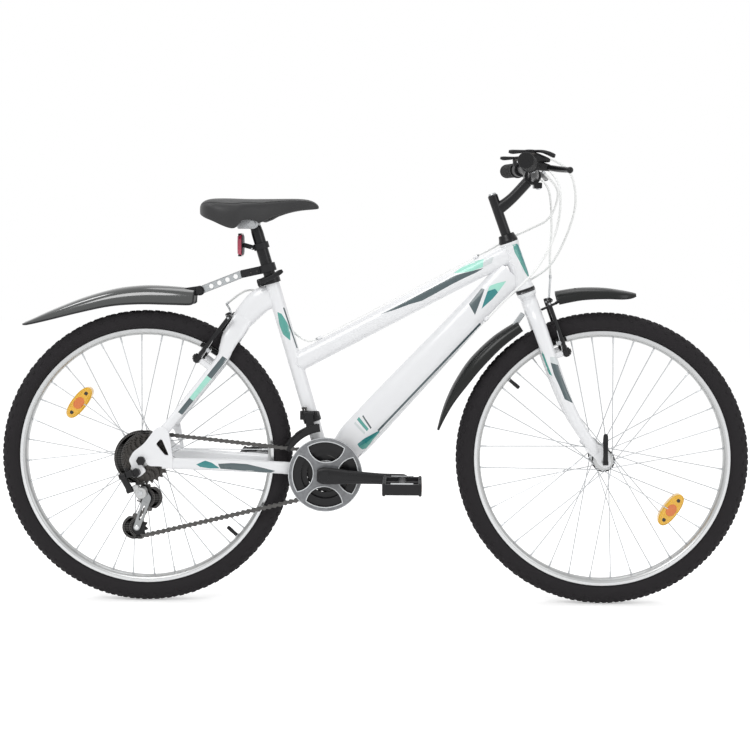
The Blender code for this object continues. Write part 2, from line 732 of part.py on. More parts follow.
LINK_TOP = REAR_AXLE + at(-39.0, -84.0, -33.0)
LINK_VECTOR = at(12.0, 20.0, -34.0)
LINK_AXIS = at(0.943, 0.0, 0.333).normalized()
LINK_LOW = LINK_TOP + LINK_VECTOR
knuckle = rod(at(KNUCKLE_AT[0], -50.0, KNUCKLE_AT[1]), at(KNUCKLE_AT[0], -70.0, KNUCKLE_AT[1]), 13.0, 12)
low_ear = LINK_LOW + LINK_AXIS * 8.0
knuckle = join(knuckle, beam(low_ear, low_ear + LINK_AXIS * 14.0, SIDE, 6.5, 6.5))
finish("derailleur_knuckle", knuckle, "alloy", LINK_LOW)
link = beam(LINK_TOP + LINK_VECTOR * 0.02, LINK_TOP + LINK_VECTOR * 0.98, LINK_AXIS, 7.0, 5.5)
link = join(link, rod(LINK_TOP - LINK_AXIS * 7.6, LINK_TOP + LINK_AXIS * 7.6, 6.5, 10),
            rod(LINK_LOW - LINK_AXIS * 7.6, LINK_LOW + LINK_AXIS * 7.6, 6.5, 10))
finish("derailleur_link", link, "black_paint", LINK_TOP)
top_ear = LINK_TOP + LINK_AXIS * 8.0
hang_bolt = at(HANGER_AT[0], 0.0, HANGER_AT[1])
bracket = rod(hang_bolt - SIDE * 74.4, hang_bolt - SIDE * 91.0, 9.5, 11)
bracket = join(bracket, rod(hang_bolt - SIDE * 67.4, hang_bolt - SIDE * 76.0, 3.9, 8),
               beam(top_ear, top_ear + LINK_AXIS * 16.0, SIDE, 6.5, 7.0))
finish("derailleur_bracket", bracket, "black_paint")

# front derailleur
DERAILLEUR_S = 122.0
clamp_mid = seat(DERAILLEUR_S)
clamp = sleeve(seat(DERAILLEUR_S - 9.0), seat(DERAILLEUR_S + 9.0), 20.0, SEAT_TUBE_R + 0.35, 14)
swing_axis = clamp_mid + at(-4.0, -30.0, 14.0)
clamp = join(clamp, box(clamp_mid + at(-12.0, -24.4, -4.0), clamp_mid + at(5.0, -17.0, 7.0)),
             box(swing_axis + at(-20.0, 5.8, -16.0), swing_axis + at(20.0, 9.6, 4.0)))
for side in (-1, 1):
    inner = swing_axis + AHEAD * (side * 13.2)
    outer = swing_axis + AHEAD * (side * 19.0)
    clamp = join(clamp, rod(inner, outer, 4.6, 8),
                 box(at(min(inner.x, outer.x), swing_axis.y, swing_axis.z - 4.0),
                     at(max(inner.x, outer.x), swing_axis.y + 7.0, swing_axis.z + 3.0)))
finish("front_derailleur_clamp", clamp, "black_paint")


def sector(r0, r1, a0, a1, steps):
    outline = [polar(BB, r1, a0 + (a1 - a0) * k / steps) for k in range(steps + 1)]
    outline += [polar(BB, r0, a1 + (a0 - a1) * k / steps) for k in range(steps + 1)]
    return [(p.x, p.z) for p in outline]


cage_outer = plate(sector(84.5, 110.0, 98.0, 150.0, 8), -43.6, -42.3)
cage_inner = plate(sector(80.0, 110.0, 98.0, 150.0, 8), -33.4, -32.1)
cage_bridge = plate(sector(107.0, 110.5, 100.0, 128.0, 4), -43.0, -32.8)
swing_block = rod(swing_axis - AHEAD * 12.6, swing_axis + AHEAD * 12.6, 5.0, 8)
swing_arm = beam(swing_axis - at(0.0, 3.0, 0.0), polar(BB, 106.0, 109.0, -37.5), AHEAD, 9.0, 3.0)
front_cage = join(cage_outer, cage_bridge, cage_inner, swing_arm, swing_block)
finish("front_derailleur_cage", front_cage, "black_paint", swing_axis)

# frame


def mirror_y(path):
    return [at(p.x, -p.y, p.z) for p in path]


def build_frame():
    head = turned([(0.0, 404.3), (21.8, 404.3), (21.8, 411.0), (HEAD_TUBE_R, 413.0), (HEAD_TUBE_R, 512.0),
                   (21.8, 514.0), (21.8, 521.0), (0.0, 521.0)], STEER_BASE, STEER_UP, 18)
    seat_tube = rod(seat(4.0), seat(SEAT_TOP), SEAT_TUBE_R, 14)
    shell = rod(BB - SIDE * 34.0, BB + SIDE * 34.0, 22.0, 18)
    top = blade([at(-174.0, 0, 533.2), at(-56.6, 0, 594.9), at(199.6, 0, 729.4), at(300.0, 0, 779.6)],
                [(22.0, 15.0), (22.0, 17.0), (22.0, 17.5), (22.0, 16.5)], 12)
    down = blade([at(-95.0, 0, 306.0), at(-60.0, 0, 345.0), at(-10.8, 0, 399.6), at(200.2, 0, 626.5),
                  at(303.0, 0, 737.0)],
                 [(22.0, 19.0), (35.0, 21.0), (39.0, 22.0), (33.5, 20.0), (33.0, 17.0)], 14)
    frame = join(seat_tube, head)
    frame = join(frame, shell)
    frame = join(frame, top)
    frame = join(frame, down)

    wishbone = blade([seat(405.0, -2.0), at(-254.0, 0, 672.0), at(-289.0, 0, 636.0), at(-303.0, 0, 615.0)],
                     [(24.0, 11.0), (28.0, 13.0), (25.0, 13.5), (22.0, 13.0)], 11)
    frame = join(frame, wishbone)
    stay_path = [at(-291.0, 7.0, 633.0), at(-302.0, 18.0, 615.0), at(-316.0, 28.0, 593.0), at(-326.0, 33.5, 568.0),
                 at(-338.0, 37.0, 541.0), at(-406.0, 50.0, 455.0), at(-458.0, 66.0, 389.0)]
    stay_halves = [(20.0, 6.5), (21.0, 7.0), (20.0, 7.0), (16.0, 7.0), (13.0, 7.0), (11.5, 7.0), (10.5, 6.5)]
    chain_path = [at(-118.0, 22.0, 296.5), at(-150.0, 26.5, 299.0), at(-181.0, 36.5, 303.0),
                  at(-215.0, 41.0, 306.0), at(-330.0, 50.0, 312.0), at(-425.0, 63.0, 317.0), at(-462.0, 69.0, 318.0)]
    chain_halves = [(13.5, 9.0), (13.5, 7.5), (13.5, 7.0), (13.5, 8.0), (13.5, 8.0), (12.5, 7.0), (11.5, 6.0)]
    for flip in (False, True):
        upper = mirror_y(stay_path) if flip else stay_path
        lower = mirror_y(chain_path) if flip else chain_path
        frame = join(frame, blade(upper, stay_halves, 8), blade(lower, chain_halves, 8))
        y0 = -DROPOUT_INNER_Y - DROPOUT_THICK if flip else DROPOUT_INNER_Y
        outline = [(-438.0, 331.0), (-438.0, 305.0), (-485.0, 300.0), (-510.0, 303.0), (-528.0, 312.0),
                   (-534.0, 326.0), (-524.0, 344.0), (-500.0, 362.0), (-474.0, 398.0), (-452.0, 398.0),
                   (-446.0, 384.0)]
        if flip:
            outline = outline[:3] + [(-507.0, 291.0), (-517.0, 287.0), (-528.0, 292.0), (-530.0, 306.0)] + outline[4:]
        drop = plate(outline, y0, y0 + DROPOUT_THICK)
        slot = at(-0.6, 0, 0.8)
        side = y0 + DROPOUT_THICK / 2
        start = REAR_AXLE + SIDE * side
        window = plate([(-462.0, 336.0), (-450.0, 336.0), (-453.0, 374.0), (-468.0, 356.0)],
                       y0 - 4.0, y0 + DROPOUT_THICK + 4.0)
        frame = join(frame, drop)
        frame = cut(frame, window, beam(start, start - slot * 44.0, SIDE, 6.0, 5.4),
                    rod(start - SIDE * 6.0, start + SIDE * 6.0, AXLE_R + 0.4, 10))
        sign = -1.0 if flip else 1.0
        boss = rod(REAR_PIVOT + SIDE * (sign * BRAKE_Y) - REAR_OUT * 34.0,
                   REAR_PIVOT + SIDE * (sign * BRAKE_Y) + REAR_OUT * 12.0, 4.6, 10)
        frame = join(frame, boss)
    frame = cut(frame, rod(hang_bolt - SIDE * 66.0, hang_bolt - SIDE * 76.0, 4.3, 8))
    hollow_top = blade([at(-172.0, 0, 534.3), at(-56.6, 0, 594.9), at(199.6, 0, 729.4), at(303.0, 0, 781.0)],
                       [(18.0, 12.6), (19.6, 14.6), (19.6, 15.0), (17.0, 13.0)], 11)
    hollow_down = blade([at(-86.0, 0, 316.2), at(-60.0, 0, 345.0), at(-10.8, 0, 399.6), at(200.2, 0, 626.5),
                         at(306.0, 0, 740.4)],
                        [(22.0, 15.5), (32.0, 18.4), (36.5, 19.6), (31.0, 17.6), (22.0, 13.0)], 14)
    hollow = turned([(0.0, 400.0), (14.7, 400.0), (14.7, 412.0), (17.0, 413.0), (17.0, 512.0), (14.7, 513.0),
                     (14.7, 525.0), (0.0, 525.0)], STEER_BASE, STEER_UP, 18)
    hollow = join(hollow, hollow_top)
    hollow = join(hollow, hollow_down)
    hollow = join(hollow, rod(seat(3.0), seat(SEAT_TOP + 5.0), SEAT_BORE_R, 14))
    hollow = join(hollow, rod(BB - SIDE * 41.0, BB + SIDE * 42.0, 17.6, 18))
    return cut(frame, hollow)


# cantilever brakes with parallel arms
BRAKE_Y = 40.0
REAR_PIVOT = at(-385.0, 0.0, 543.5)
REAR_BRAKE_UP = at(0.604, 0.0, 0.797).normalized()
REAR_OUT = at(-0.797, 0.0, 0.604).normalized()
FRONT_PIVOT = steer(254.0, 33.0)
finish("frame", build_frame(), "white_paint")


def brake_arm(name, pivot, up, out, sign, pad_at, axle):
    """Arm on its boss, with the pad on a stud through it."""
    def spot(a, b, y):
        return pivot + up * a + out * b + SIDE * (sign * y)

    path = [spot(-9.0, 4.5, 40.5), spot(0.0, 4.5, 40.5), spot(30.0, 4.5, 42.5), spot(70.0, 4.5, 41.5),
            spot(105.0, 4.5, 38.5), spot(120.0, 4.5, 37.5)]
    wide = [7.0, 9.0, 6.8, 5.8, 5.6, 4.6]
    rings = []
    for i, p in enumerate(path):
        d = mitre(path, i)
        w = out.cross(d).normalized()
        corners = ((-1, -1), (1, -1), (1, 1), (-1, 1))
        rings.append([p + w * (wide[i] * j) + out * (4.6 * k) for j, k in corners])
    arm = loft(rings)
    arm = join(arm, beam(spot(pad_at, -2.2, 36.3), spot(pad_at, -2.2, 47.6), out, 5.6, 5.2))
    arm = cut(arm, rod(spot(0, -9, BRAKE_Y), spot(0, 12.6, BRAKE_Y), 4.95, 10))
    arm = join(arm, rod(spot(pad_at, -3.9, 23.0), spot(pad_at, -3.9, 53.0), 2.9, 8))
    middle = spot(pad_at, -5.0, 20.6)
    radial = middle - axle
    radial.y = 0.0
    tangent = SIDE.cross(radial).normalized()
    pad = beam(middle - tangent * 24.0, middle + tangent * 23.0, SIDE, 4.4, 4.5)
    arm = join(arm, pad)
    finish(name, arm, "black_paint", spot(0, 0, BRAKE_Y))


brake_arm("front_brake_arm_left", FRONT_PIVOT, STEER_UP, STEER_FWD, 1, 25.0, FRONT_AXLE)
brake_arm("front_brake_arm_right", FRONT_PIVOT, STEER_UP, STEER_FWD, -1, 25.0, FRONT_AXLE)
brake_arm("rear_brake_arm_left", REAR_PIVOT, REAR_BRAKE_UP, REAR_OUT, 1, 29.4, REAR_AXLE)
brake_arm("rear_brake_arm_right", REAR_PIVOT, REAR_BRAKE_UP, REAR_OUT, -1, 29.4, REAR_AXLE)

# fork


def fork_n(s):
    return (190.0 - s) ** 2 / 976.0 if s < 190.0 else 0.0


def build_fork():
    crown = turned([(0.0, 352.0), (18.0, 352.0), (18.0, 395.0), (21.5, 397.0), (21.5, 403.9), (14.3, 403.9),
                    (14.3, 536.0), (0.0, 536.0)], STEER_BASE, STEER_UP, 14)
    fork = crown
    stations = ((383.0, 5.0, 15.0, 12.0), (366.0, 26.0, 16.0, 12.5), (340.0, 41.0, 16.0, 12.5),
                (300.0, 46.0, 15.5, 12.5), (190.0, 47.0, 14.5, 12.0), (120.0, 49.0, 13.5, 11.0),
                (70.0, 51.5, 12.5, 9.5), (30.0, 53.0, 12.0, 7.0))
    for sign in (1, -1):
        path = [steer(s, fork_n(s), sign * y) for s, y, a, b in stations]
        fork = join(fork, blade(path, [(a, b) for s, y, a, b in stations], 10))
        outline = []
        for s, n in ((44.0, -1.5), (44.0, 37.0), (14.0, 49.0), (-6.0, 49.0), (-13.0, 41.0), (-13.0, 31.0),
                     (-4.0, 22.0), (16.0, 18.0)):
            spot = steer(s, n + 2.0)
            outline.append((spot.x, spot.z))
        y0 = 50.2 if sign > 0 else -56.0
        fork = join(fork, plate(outline, y0, y0 + 5.8))
        centre = FRONT_AXLE + SIDE * (y0 + 2.9)
        fork = cut(fork, beam(centre, centre - STEER_UP * 40.0, SIDE, 6.0, 5.3),
                   rod(centre - SIDE * 6.0, centre + SIDE * 6.0, 5.3, 10))
        fork = join(fork, rod(FRONT_PIVOT + SIDE * (sign * BRAKE_Y) - STEER_FWD * 30.0,
                              FRONT_PIVOT + SIDE * (sign * BRAKE_Y) + STEER_FWD * 12.0, 4.6, 10))
    return cut(fork, rod(steer(346.0), steer(545.0), 11.7, 12))


finish("fork", build_fork(), "white_paint", STEER_BASE)
locknut = turned([(14.7, 521.4), (21.5, 521.4), (21.5, 527.0), (17.5, 540.0), (11.7, 540.0), (11.7, 536.4),
                  (14.7, 536.4)], STEER_BASE, STEER_UP, 14)
finish("headset_locknut", locknut, "black_paint")

# stem and handlebar
stem = rod(steer(430.0), steer(632.0), 11.2, 12)
stem = join(stem, blade([steer(596.0, 2.0), steer(612.0, 40.0), steer(634.0, 82.0)],
                        [(14.0, 10.6), (12.0, 11.0), (12.0, 13.0)], 10),
            rod(BAR_CLAMP - SIDE * 21.0, BAR_CLAMP + SIDE * 21.0, 18.5, 14))
stem = cut(stem, rod(BAR_CLAMP - SIDE * 26.0, BAR_CLAMP + SIDE * 26.0, BAR_CLAMP_R + 0.7, 14))
finish("stem", stem, "black_paint")

bar_half = [at(348.0, 36.0, 950.0), at(346.0, 60.0, 954.0), at(341.5, 88.0, 966.0), at(338.0, 112.0, 970.2), BAR_END]
bar_path = mirror_y(bar_half)[::-1] + bar_half
bar_outer = [BAR_R, BAR_R, BAR_R, BAR_R, BAR_CLAMP_R]
bar_outer = bar_outer + bar_outer[::-1]
finish("handlebar", pipe(bar_path, bar_outer, [9.4] * 10, 10), "black_paint")


def bar_point(y):
    """Point on the straight grip end of the bar."""
    start = bar_half[3]
    t = (abs(y) - start.y) / (BAR_END.y - start.y)
    p = start.lerp(BAR_END, t)
    return at(p.x, math.copysign(p.y, y), p.z)


def grip(name, sign):
    start = bar_point(sign * GRIP_START)
    axis = (bar_point(sign * 297.0) - start).normalized()
    length = (bar_point(sign * 297.0) - start).length + 0.4
    profile = [(0.0, length), (0.0, length + 3.5), (15.5, length + 3.5), (17.0, length), (15.6, length - 6.0),
               (16.4, 60.0), (15.6, 10.0), (19.0, 7.0), (19.0, 0.0), (BAR_R + 0.7, 0.0), (BAR_R + 0.7, length)]
    finish(name, turned(profile, start, axis, 12), "rubber")


grip("grip_left", 1)
grip("grip_right", -1)


def controls(side, sign):
    """Brake bracket with its shifter pod, the brake lever and the thumb lever of one side."""
    mid = bar_point(sign * 150.0)
    axis = (bar_point(sign * 200.0) - mid).normalized()
    inboard = mid - axis * 14.0
    outboard = mid + axis * 14.0
    pivot = mid + at(34.0, -sign * 6.0, -6.0)
    bracket = rod(inboard, outboard, 16.5, 12)
    bracket = join(bracket, beam(mid + at(4.0, -sign * 6.0, -1.0), pivot + at(7.0, 0, -1.2), SIDE, 9.0, 10.0),
                   rod(mid + at(-2.0, 0.0, 8.0), mid + at(-2.0, 0.0, 25.0), 15.0, 12))
    lean = at(0.196, 0.0, 0.981)
    bracket = cut(bracket, rod(mid - axis * 30.0, mid + axis * 30.0, BAR_R + 0.7, 11))
    level = at(0.981, 0.0, -0.196)
    notch = beam(pivot - level * 8.5, pivot + level * 14.0, SIDE, 14.0, 5.0)
    bracket = cut(bracket, notch)
    finish("brake_bracket_" + side, bracket, "black_plastic")

    path = [pivot + at(3.0, -sign * 3.0, -0.6), pivot + at(9.0, sign * 16.0, -1.8),
            pivot + at(22.0, sign * 42.0, -4.4), pivot + at(33.0, sign * 80.0, -6.6),
            pivot + at(39.0, sign * 122.0, -7.8)]
    rings = []
    for i, p in enumerate(path):
        d = mitre(path, i)
        w = lean.cross(d).normalized()
        rings.append(oval(p, w, lean, [5.0, 5.6, 5.2, 5.0, 6.0][i], [4.2, 4.4, 5.2, 5.4, 5.6][i], 8))
    lever_body = loft(rings)
    lever_body = join(lever_body, rod(pivot - lean * 4.4, pivot + lean * 4.4, 6.0, 10))
    finish("brake_lever_" + side, lever_body, "black_paint", pivot)

    top = mid + at(-2.0, 0.0, 25.5)
    path = [top + at(-50.0, -sign * 4.0, 4.0), top + at(-30.0, -sign * 2.0, 3.2), top + at(0, 0, 3.0),
            top + at(26.0, sign * 8.0, 2.8), top + at(40.0, sign * 13.0, 2.6)]
    rings = []
    for i, p in enumerate(path):
        d = mitre(path, i)
        w = UP.cross(d).normalized()
        rings.append(oval(p, w, UP, [6.0, 5.0, 7.0, 6.0, 7.0][i], [2.4, 2.2, 2.6, 2.3, 2.2][i], 8))
    thumb = loft(rings)
    thumb = join(thumb, rod(top, top + UP * 6.5, 13.0, 12))
    finish("shift_lever_" + side, thumb, "black_plastic", top)


controls("left", 1)
controls("right", -1)

# seat
post = pipe([seat(300.0), seat(566.0)], [POST_R, POST_R], [11.4, 11.4], 14)
SEAT_HEAD = seat(573.0) + at(-2.0, 0.0, 0.0)
post = join(post, rod(SEAT_HEAD - SIDE * 14.4, SEAT_HEAD + SIDE * 14.4, 12.0, 14))
finish("seatpost", post, "black_paint")
cradle = rod(SEAT_HEAD - SIDE * 27.0, SEAT_HEAD + SIDE * 27.0, 17.5, 14)
cradle = cut(cradle, rod(SEAT_HEAD - SIDE * 15.0, SEAT_HEAD + SIDE * 15.0, 12.4, 14))
cradle = cut(cradle, beam(SEAT_HEAD - SEAT_UP * 3.0, SEAT_HEAD - SEAT_UP * 30.0, SIDE, 15.0, 18.5))
RAIL_Z = SEAT_HEAD.z + 7.5
RAIL_R = 3.4
for y in (-21.5, 21.5):
    cradle = cut(cradle, rod(at(SEAT_HEAD.x - 25, y, RAIL_Z), at(SEAT_HEAD.x + 25, y, RAIL_Z), RAIL_R + 0.4, 8))
finish("saddle_clamp", cradle, "steel", SEAT_HEAD)
rail_half = [at(-158.0, 0, 871.4), at(-166.0, 8.0, 870.9), at(-188.0, 13.0, 864.5),
             at(SEAT_HEAD.x + 26.0, 21.5, RAIL_Z), at(SEAT_HEAD.x - 34.0, 21.5, RAIL_Z),
             at(-334.0, 32.0, 861.0), at(-354.0, 38.0, 869.3)]
rail_path = mirror_y(rail_half[1:])[::-1] + rail_half
finish("saddle_rails", wire(rail_path, RAIL_R, 8), "steel", SEAT_HEAD)


def saddle():
    """Padded top on a shell: sections from the rear edge to the nose."""
    rings = []
    for x, half, top, edge in ((-394.0, 30.0, 884.0, 866.0), (-384.0, 60.0, 894.0, 860.0),
                               (-354.0, 84.0, 899.0, 849.0), (-318.0, 88.0, 899.0, 833.0),
                               (-290.0, 80.0, 898.0, 830.0), (-258.0, 62.0, 898.0, 835.0),
                               (-231.0, 46.0, 898.0, 857.0), (-200.0, 33.0, 898.5, 868.0),
                               (-170.0, 26.0, 898.0, 873.6), (-146.0, 20.0, 893.0, 874.5),
                               (-130.0, 11.0, 884.0, 875.5)):
        under = max(edge + 1.0, top - 26.0)
        side = edge + 0.55 * (top - edge)
        half_ring = [(half * 0.5, top - 1.5), (half * 0.86, top - 7.0 * (top - edge) / 40.0 - 1.5),
                     (half, side), (half * 0.97, edge), (half * 0.87, edge + 0.5), (half * 0.6, under)]
        ring = [(0.0, top)] + half_ring + [(0.0, under + 0.2)] + [(-y, z) for y, z in reversed(half_ring)]
        rings.append([at(x, y, z) for y, z in ring])
    return loft(rings)


finish("saddle", saddle(), "black_plastic", SEAT_HEAD)

collar = turned([(SEAT_TUBE_R + 0.35, 434.0), (20.0, 434.0), (20.0, 453.0), (POST_R + 0.35, 453.0),
                 (POST_R + 0.35, SEAT_TOP + 0.4), (SEAT_TUBE_R + 0.35, SEAT_TOP + 0.4)], BB, SEAT_UP, 14)
collar_back = seat(443.0, -24.0)
collar = join(collar, beam(seat(443.0, -17.0), seat(443.0, -31.0), SEAT_UP, 7.0, 9.0))
collar = cut(collar, beam(seat(443.0, -10.0), seat(443.0, -36.0), SEAT_UP, 14.0, 1.2))
collar = join(collar, rod(collar_back - SIDE * 17.5, collar_back + SIDE * 15.0, 3.2, 8))
finish("seat_collar", collar, "black_paint")
cam = collar_back - SIDE * 23.2
seat_lever = rod(cam - SEAT_UP * 6.0, cam + SEAT_UP * 6.0, 5.2, 10)
lever_tip = seat(455.0, 33.0, -25.0)
seat_lever = join(seat_lever, blade([cam, seat(447.0, 2.0, -26.5), seat(453.0, 24.0, -26.5), lever_tip],
                                    [(5.0, 2.6), (5.5, 2.6), (5.5, 2.6), (4.0, 2.2)], 8))
finish("seat_lever", seat_lever, "black_paint", cam)

rear_reflector = sleeve(seat(514.0), seat(528.0), 17.5, POST_R + 0.35, 14)
plate_mid = at(-298.0, 0, 796.0)
rear_reflector = join(rear_reflector,
                      beam(seat(521.0, -16.2), plate_mid + at(4.0, 0, 0), SIDE, 6.0, 5.0),
                      box(plate_mid - at(5.5, 24.0, 25.0), plate_mid + at(5.5, 24.0, 25.0)))
finish("rear_reflector", rear_reflector, "red_plastic")

# mudguards
KNOB = at(-390.0, 0.0, 693.5)
arm_ring = sleeve(seat(461.0), seat(479.0), 18.5, POST_R + 0.35, 14)
strip_top = at(-300.0, 0, 735.4)
strip = beam(strip_top, KNOB + at(1.0, 0, -0.5), SIDE, 2.4, 9.5)
strip = join(strip, rod(KNOB - SIDE * 2.4, KNOB + SIDE * 2.4, 11.0, 12))
holes = []
for k in range(4):
    spot = strip_top.lerp(KNOB, (12.0 + 20.0 * k) / (KNOB - strip_top).length)
    holes.append(rod(spot - SIDE * 6.0, spot + SIDE * 6.0, 4.5, 8))
strip = cut(strip, gather(holes))
strip = join(strip, beam(seat(470.0, -16.6), at(-307.0, 0, 732.2), SIDE, 6.0, 8.8))
mudguard_arm = join(arm_ring, strip)
mudguard_arm = cut(mudguard_arm, rod(KNOB - SIDE * 9, KNOB + SIDE * 9, 4.4, 10))
finish("mudguard_arm", mudguard_arm, "grey_plastic")


def arch(stations, wall):
    """Shell of an arched section: stations give the crest, the edge and the half width there."""
    rings = []
    for crest, edge, half in stations:
        down = (edge - crest).normalized()
        height = (edge - crest).length
        rim = [(half, height), (half * 0.86, height * 0.42), (half * 0.45, height * 0.1)]
        inner = [(half * 0.42, height * 0.1 + wall), (half * 0.86 - wall, height * 0.42 + wall * 0.6),
                 (half - wall, height)]
        right = [crest + SIDE * y + down * z for y, z in rim]
        right_in = [crest + SIDE * y + down * z for y, z in inner]
        left = [crest - SIDE * y + down * z for y, z in reversed(rim)]
        left_in = [crest - SIDE * y + down * z for y, z in reversed(inner)]
        rings.append(right + [crest] + left + left_in + [crest + down * wall] + right_in)
    return loft(rings)


rear_stations = ((at(-403.0, 0, 697.0), at(-408.0, 0, 663.0), 26.0), (at(-450.0, 0, 702.0), at(-452.0, 0, 664.0), 29.0),
                 (at(-510.0, 0, 704.0), at(-520.0, 0, 665.0), 31.0), (at(-575.0, 0, 697.0), at(-585.0, 0, 660.0), 32.0),
                 (at(-645.0, 0, 678.0), at(-656.0, 0, 645.0), 32.0), (at(-715.0, 0, 651.0), at(-724.0, 0, 628.0), 30.0),
                 (at(-782.0, 0, 619.0), at(-785.0, 0, 609.0), 16.0))
mudguard = arch(rear_stations, 2.2)
for sign in (1, -1):
    y0 = 2.9 if sign > 0 else -7.9
    mudguard = join(mudguard, plate(hull_outline([(KNOB.x, KNOB.z, 10.5), (-424.0, 690.5, 8.5)], 12), y0, y0 + 5.0))
mudguard = join(mudguard, rod(KNOB - SIDE * 11.0, KNOB + SIDE * 11.0, 4.0, 10),
                box((-426.0, -9.0, 680.0), (-416.0, 9.0, 694.4)))
finish("rear_mudguard", mudguard, "black_plastic", KNOB)


def wheel_arch(angles, inner, crest, half):
    stations = []
    for i, angle in enumerate(angles):
        stations.append((polar(FRONT_AXLE, crest[i], angle), polar(FRONT_AXLE, inner[i], angle), half[i]))
    return arch(stations, 2.2)


front_guard = wheel_arch((106.0, 98.0, 88.0, 78.0), (357.0, 357.0, 357.0, 361.0), (384.0, 385.0, 382.0, 371.0),
                         (24.0, 27.0, 28.0, 20.0))
strap = beam(polar(FRONT_AXLE, 381.2, 99.0), polar(FRONT_AXLE, 359.0, 107.0), SIDE, 7.0, 2.8)
front_guard = join(front_guard, strap,
                   beam(polar(FRONT_AXLE, 359.5, 106.6), steer(356.0, 18.65), SIDE, 6.4, 2.2))
finish("front_mudguard", front_guard, "black_plastic")
flap = wheel_arch((122.0, 132.0, 143.0, 154.0, 164.0, 170.5), (336.0, 335.0, 335.0, 335.0, 335.0, 337.0),
                  (358.0, 362.0, 366.0, 368.0, 366.0, 356.0), (22.0, 27.0, 29.0, 30.0, 30.0, 24.0))
flap = join(flap, beam(polar(FRONT_AXLE, 350.0, 125.0), steer(362.0, -21.7), SIDE, 9.0, 6.0))
finish("front_mudguard_flap", flap, "black_plastic")

# cables in their housings
left_lever_mouth = bar_point(140.0) + at(30.0, -26.0, -8.0)
right_lever_mouth = bar_point(-140.0) + at(30.0, 26.0, -8.0)


def spline(knots, steps=2):
    """Smooth path through knots."""
    path = []
    count = len(knots)
    for i in range(count - 1):
        p0 = knots[max(i - 1, 0)]
        p1 = knots[i]
        p2 = knots[i + 1]
        p3 = knots[min(i + 2, count - 1)]
        for k in range(steps):
            t = k / steps
            a = p1 * 2.0
            b = (p2 - p0) * t
            c = (p0 * 2.0 - p1 * 5.0 + p2 * 4.0 - p3) * (t * t)
            d = (p1 * 3.0 - p0 - p2 * 3.0 + p3) * (t * t * t)
            path.append((a + b + c + d) * 0.5)
    path.append(knots[-1])
    return path


front_brake_top = FRONT_PIVOT + STEER_UP * 116.0 + STEER_FWD * 11.95
knots = [bar_point(112.0) + at(24.0, -8.0, -12.0), at(392.0, 84.0, 925.0), at(398.0, 62.0, 850.0),
         at(394.0, 54.0, 770.0), front_brake_top + at(4.0, 52.0, 34.0), front_brake_top + at(2.0, 47.0, 10.0),
         front_brake_top + at(0.0, 38.0, 0.0)]
path = spline(knots)
path = path + [front_brake_top + SIDE * 30.0, front_brake_top + SIDE * 28.0, front_brake_top - SIDE * 40.0]
radii = [2.5] * (len(path) - 2) + [0.8, 0.8]
finish("front_brake_housing", wire(path, radii, 5), "white_plastic")

rear_brake_top = REAR_PIVOT + REAR_BRAKE_UP * 112.0 + REAR_OUT * 11.95
knots = [bar_point(-112.0) + at(24.0, 8.0, -12.0), at(398.0, -70.0, 915.0), at(385.0, -30.0, 860.0),
         at(350.0, 34.0, 835.0), at(300.0, 40.0, 812.0), at(262.0, 27.0, 790.0), at(235.0, 9.0, 777.0)]
path = spline(knots)
path = path + [at(225.0, 0.0, 771.6), at(222.0, 0.0, 770.2), at(-120.0, 0.0, 590.5), at(-123.0, 0.0, 589.0)]
radii = [2.5] * (len(path) - 3) + [0.8, 0.8, 2.5]
tail = spline([at(-123.0, 0.0, 589.0), at(-150.0, 6.0, 582.0), at(-190.0, 30.0, 606.0), at(-250.0, 46.0, 676.0),
               at(-290.0, 52.0, 692.0), rear_brake_top + at(-6.0, 56.0, 12.0), rear_brake_top + SIDE * 42.0])
path = path + tail[1:]
radii = radii + [2.5] * (len(tail) - 1)
path = path + [rear_brake_top + SIDE * 30.0, rear_brake_top + SIDE * 28.0, rear_brake_top - SIDE * 40.0]
radii = radii[:-1] + [2.5, 2.5, 0.8, 0.8]
finish("rear_brake_housing", wire(path, radii, 5), "white_plastic")

mouth = bar_point(-150.0) + at(-2.0, 15.45, 17.0)
knots = [mouth + SIDE * 10.0, at(380.0, -96.0, 984.0), at(425.0, -66.0, 955.0),
         at(440.0, -40.0, 890.0), at(424.0, 6.0, 815.0), at(392.0, 34.0, 752.0), at(340.0, 44.0, 712.0),
         at(285.0, 37.0, 668.0), at(250.0, 30.0, 634.0)]
path = [mouth] + spline(knots)
path = path + [at(247.0, 29.4, 630.8), at(246.0, 29.2, 629.8), at(-78.0, 29.0, 280.0), at(-100.0, 29.0, 271.0)]
radii = [2.5] * (len(path) - 3) + [0.8, 0.8, 0.8]
finish("rear_shift_housing", wire(path, radii, 5), "white_plastic")

mouth = bar_point(150.0) + at(-2.0, -15.45, 17.0)
knots = [mouth - SIDE * 10.0, at(376.0, 90.0, 980.0), at(410.0, 52.0, 940.0),
         at(412.0, 10.0, 880.0), at(392.0, -34.0, 810.0), at(350.0, -42.0, 740.0), at(292.0, -37.0, 682.0),
         at(252.0, -31.0, 640.0)]
path = [mouth] + spline(knots)
path = path + [at(249.0, -30.4, 636.8), at(248.0, -30.2, 635.8), at(-78.0, -29.0, 280.0), at(-100.0, -29.0, 271.0)]
radii = [2.5] * (len(path) - 3) + [0.8, 0.8, 0.8]
finish("front_shift_housing", wire(path, radii, 5), "white_plastic")
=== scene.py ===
# %% [markdown]
# # A white mountain-style bicycle
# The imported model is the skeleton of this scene: sixty plain solids, each on a body that moves.
# Every cell below takes one part of the bicycle and builds the finer thing that the eye expects there:
# round tubes with weld beads, a knobbly tyre, a chain of single links, a padded saddle.
# Each new piece rides on the body of the solid that it stands for, so all joints keep working.

# %% Load the skeleton
import math
import bpy
import bmesh
from mathutils import Matrix, Vector
from mathutils.bvhtree import BVHTree


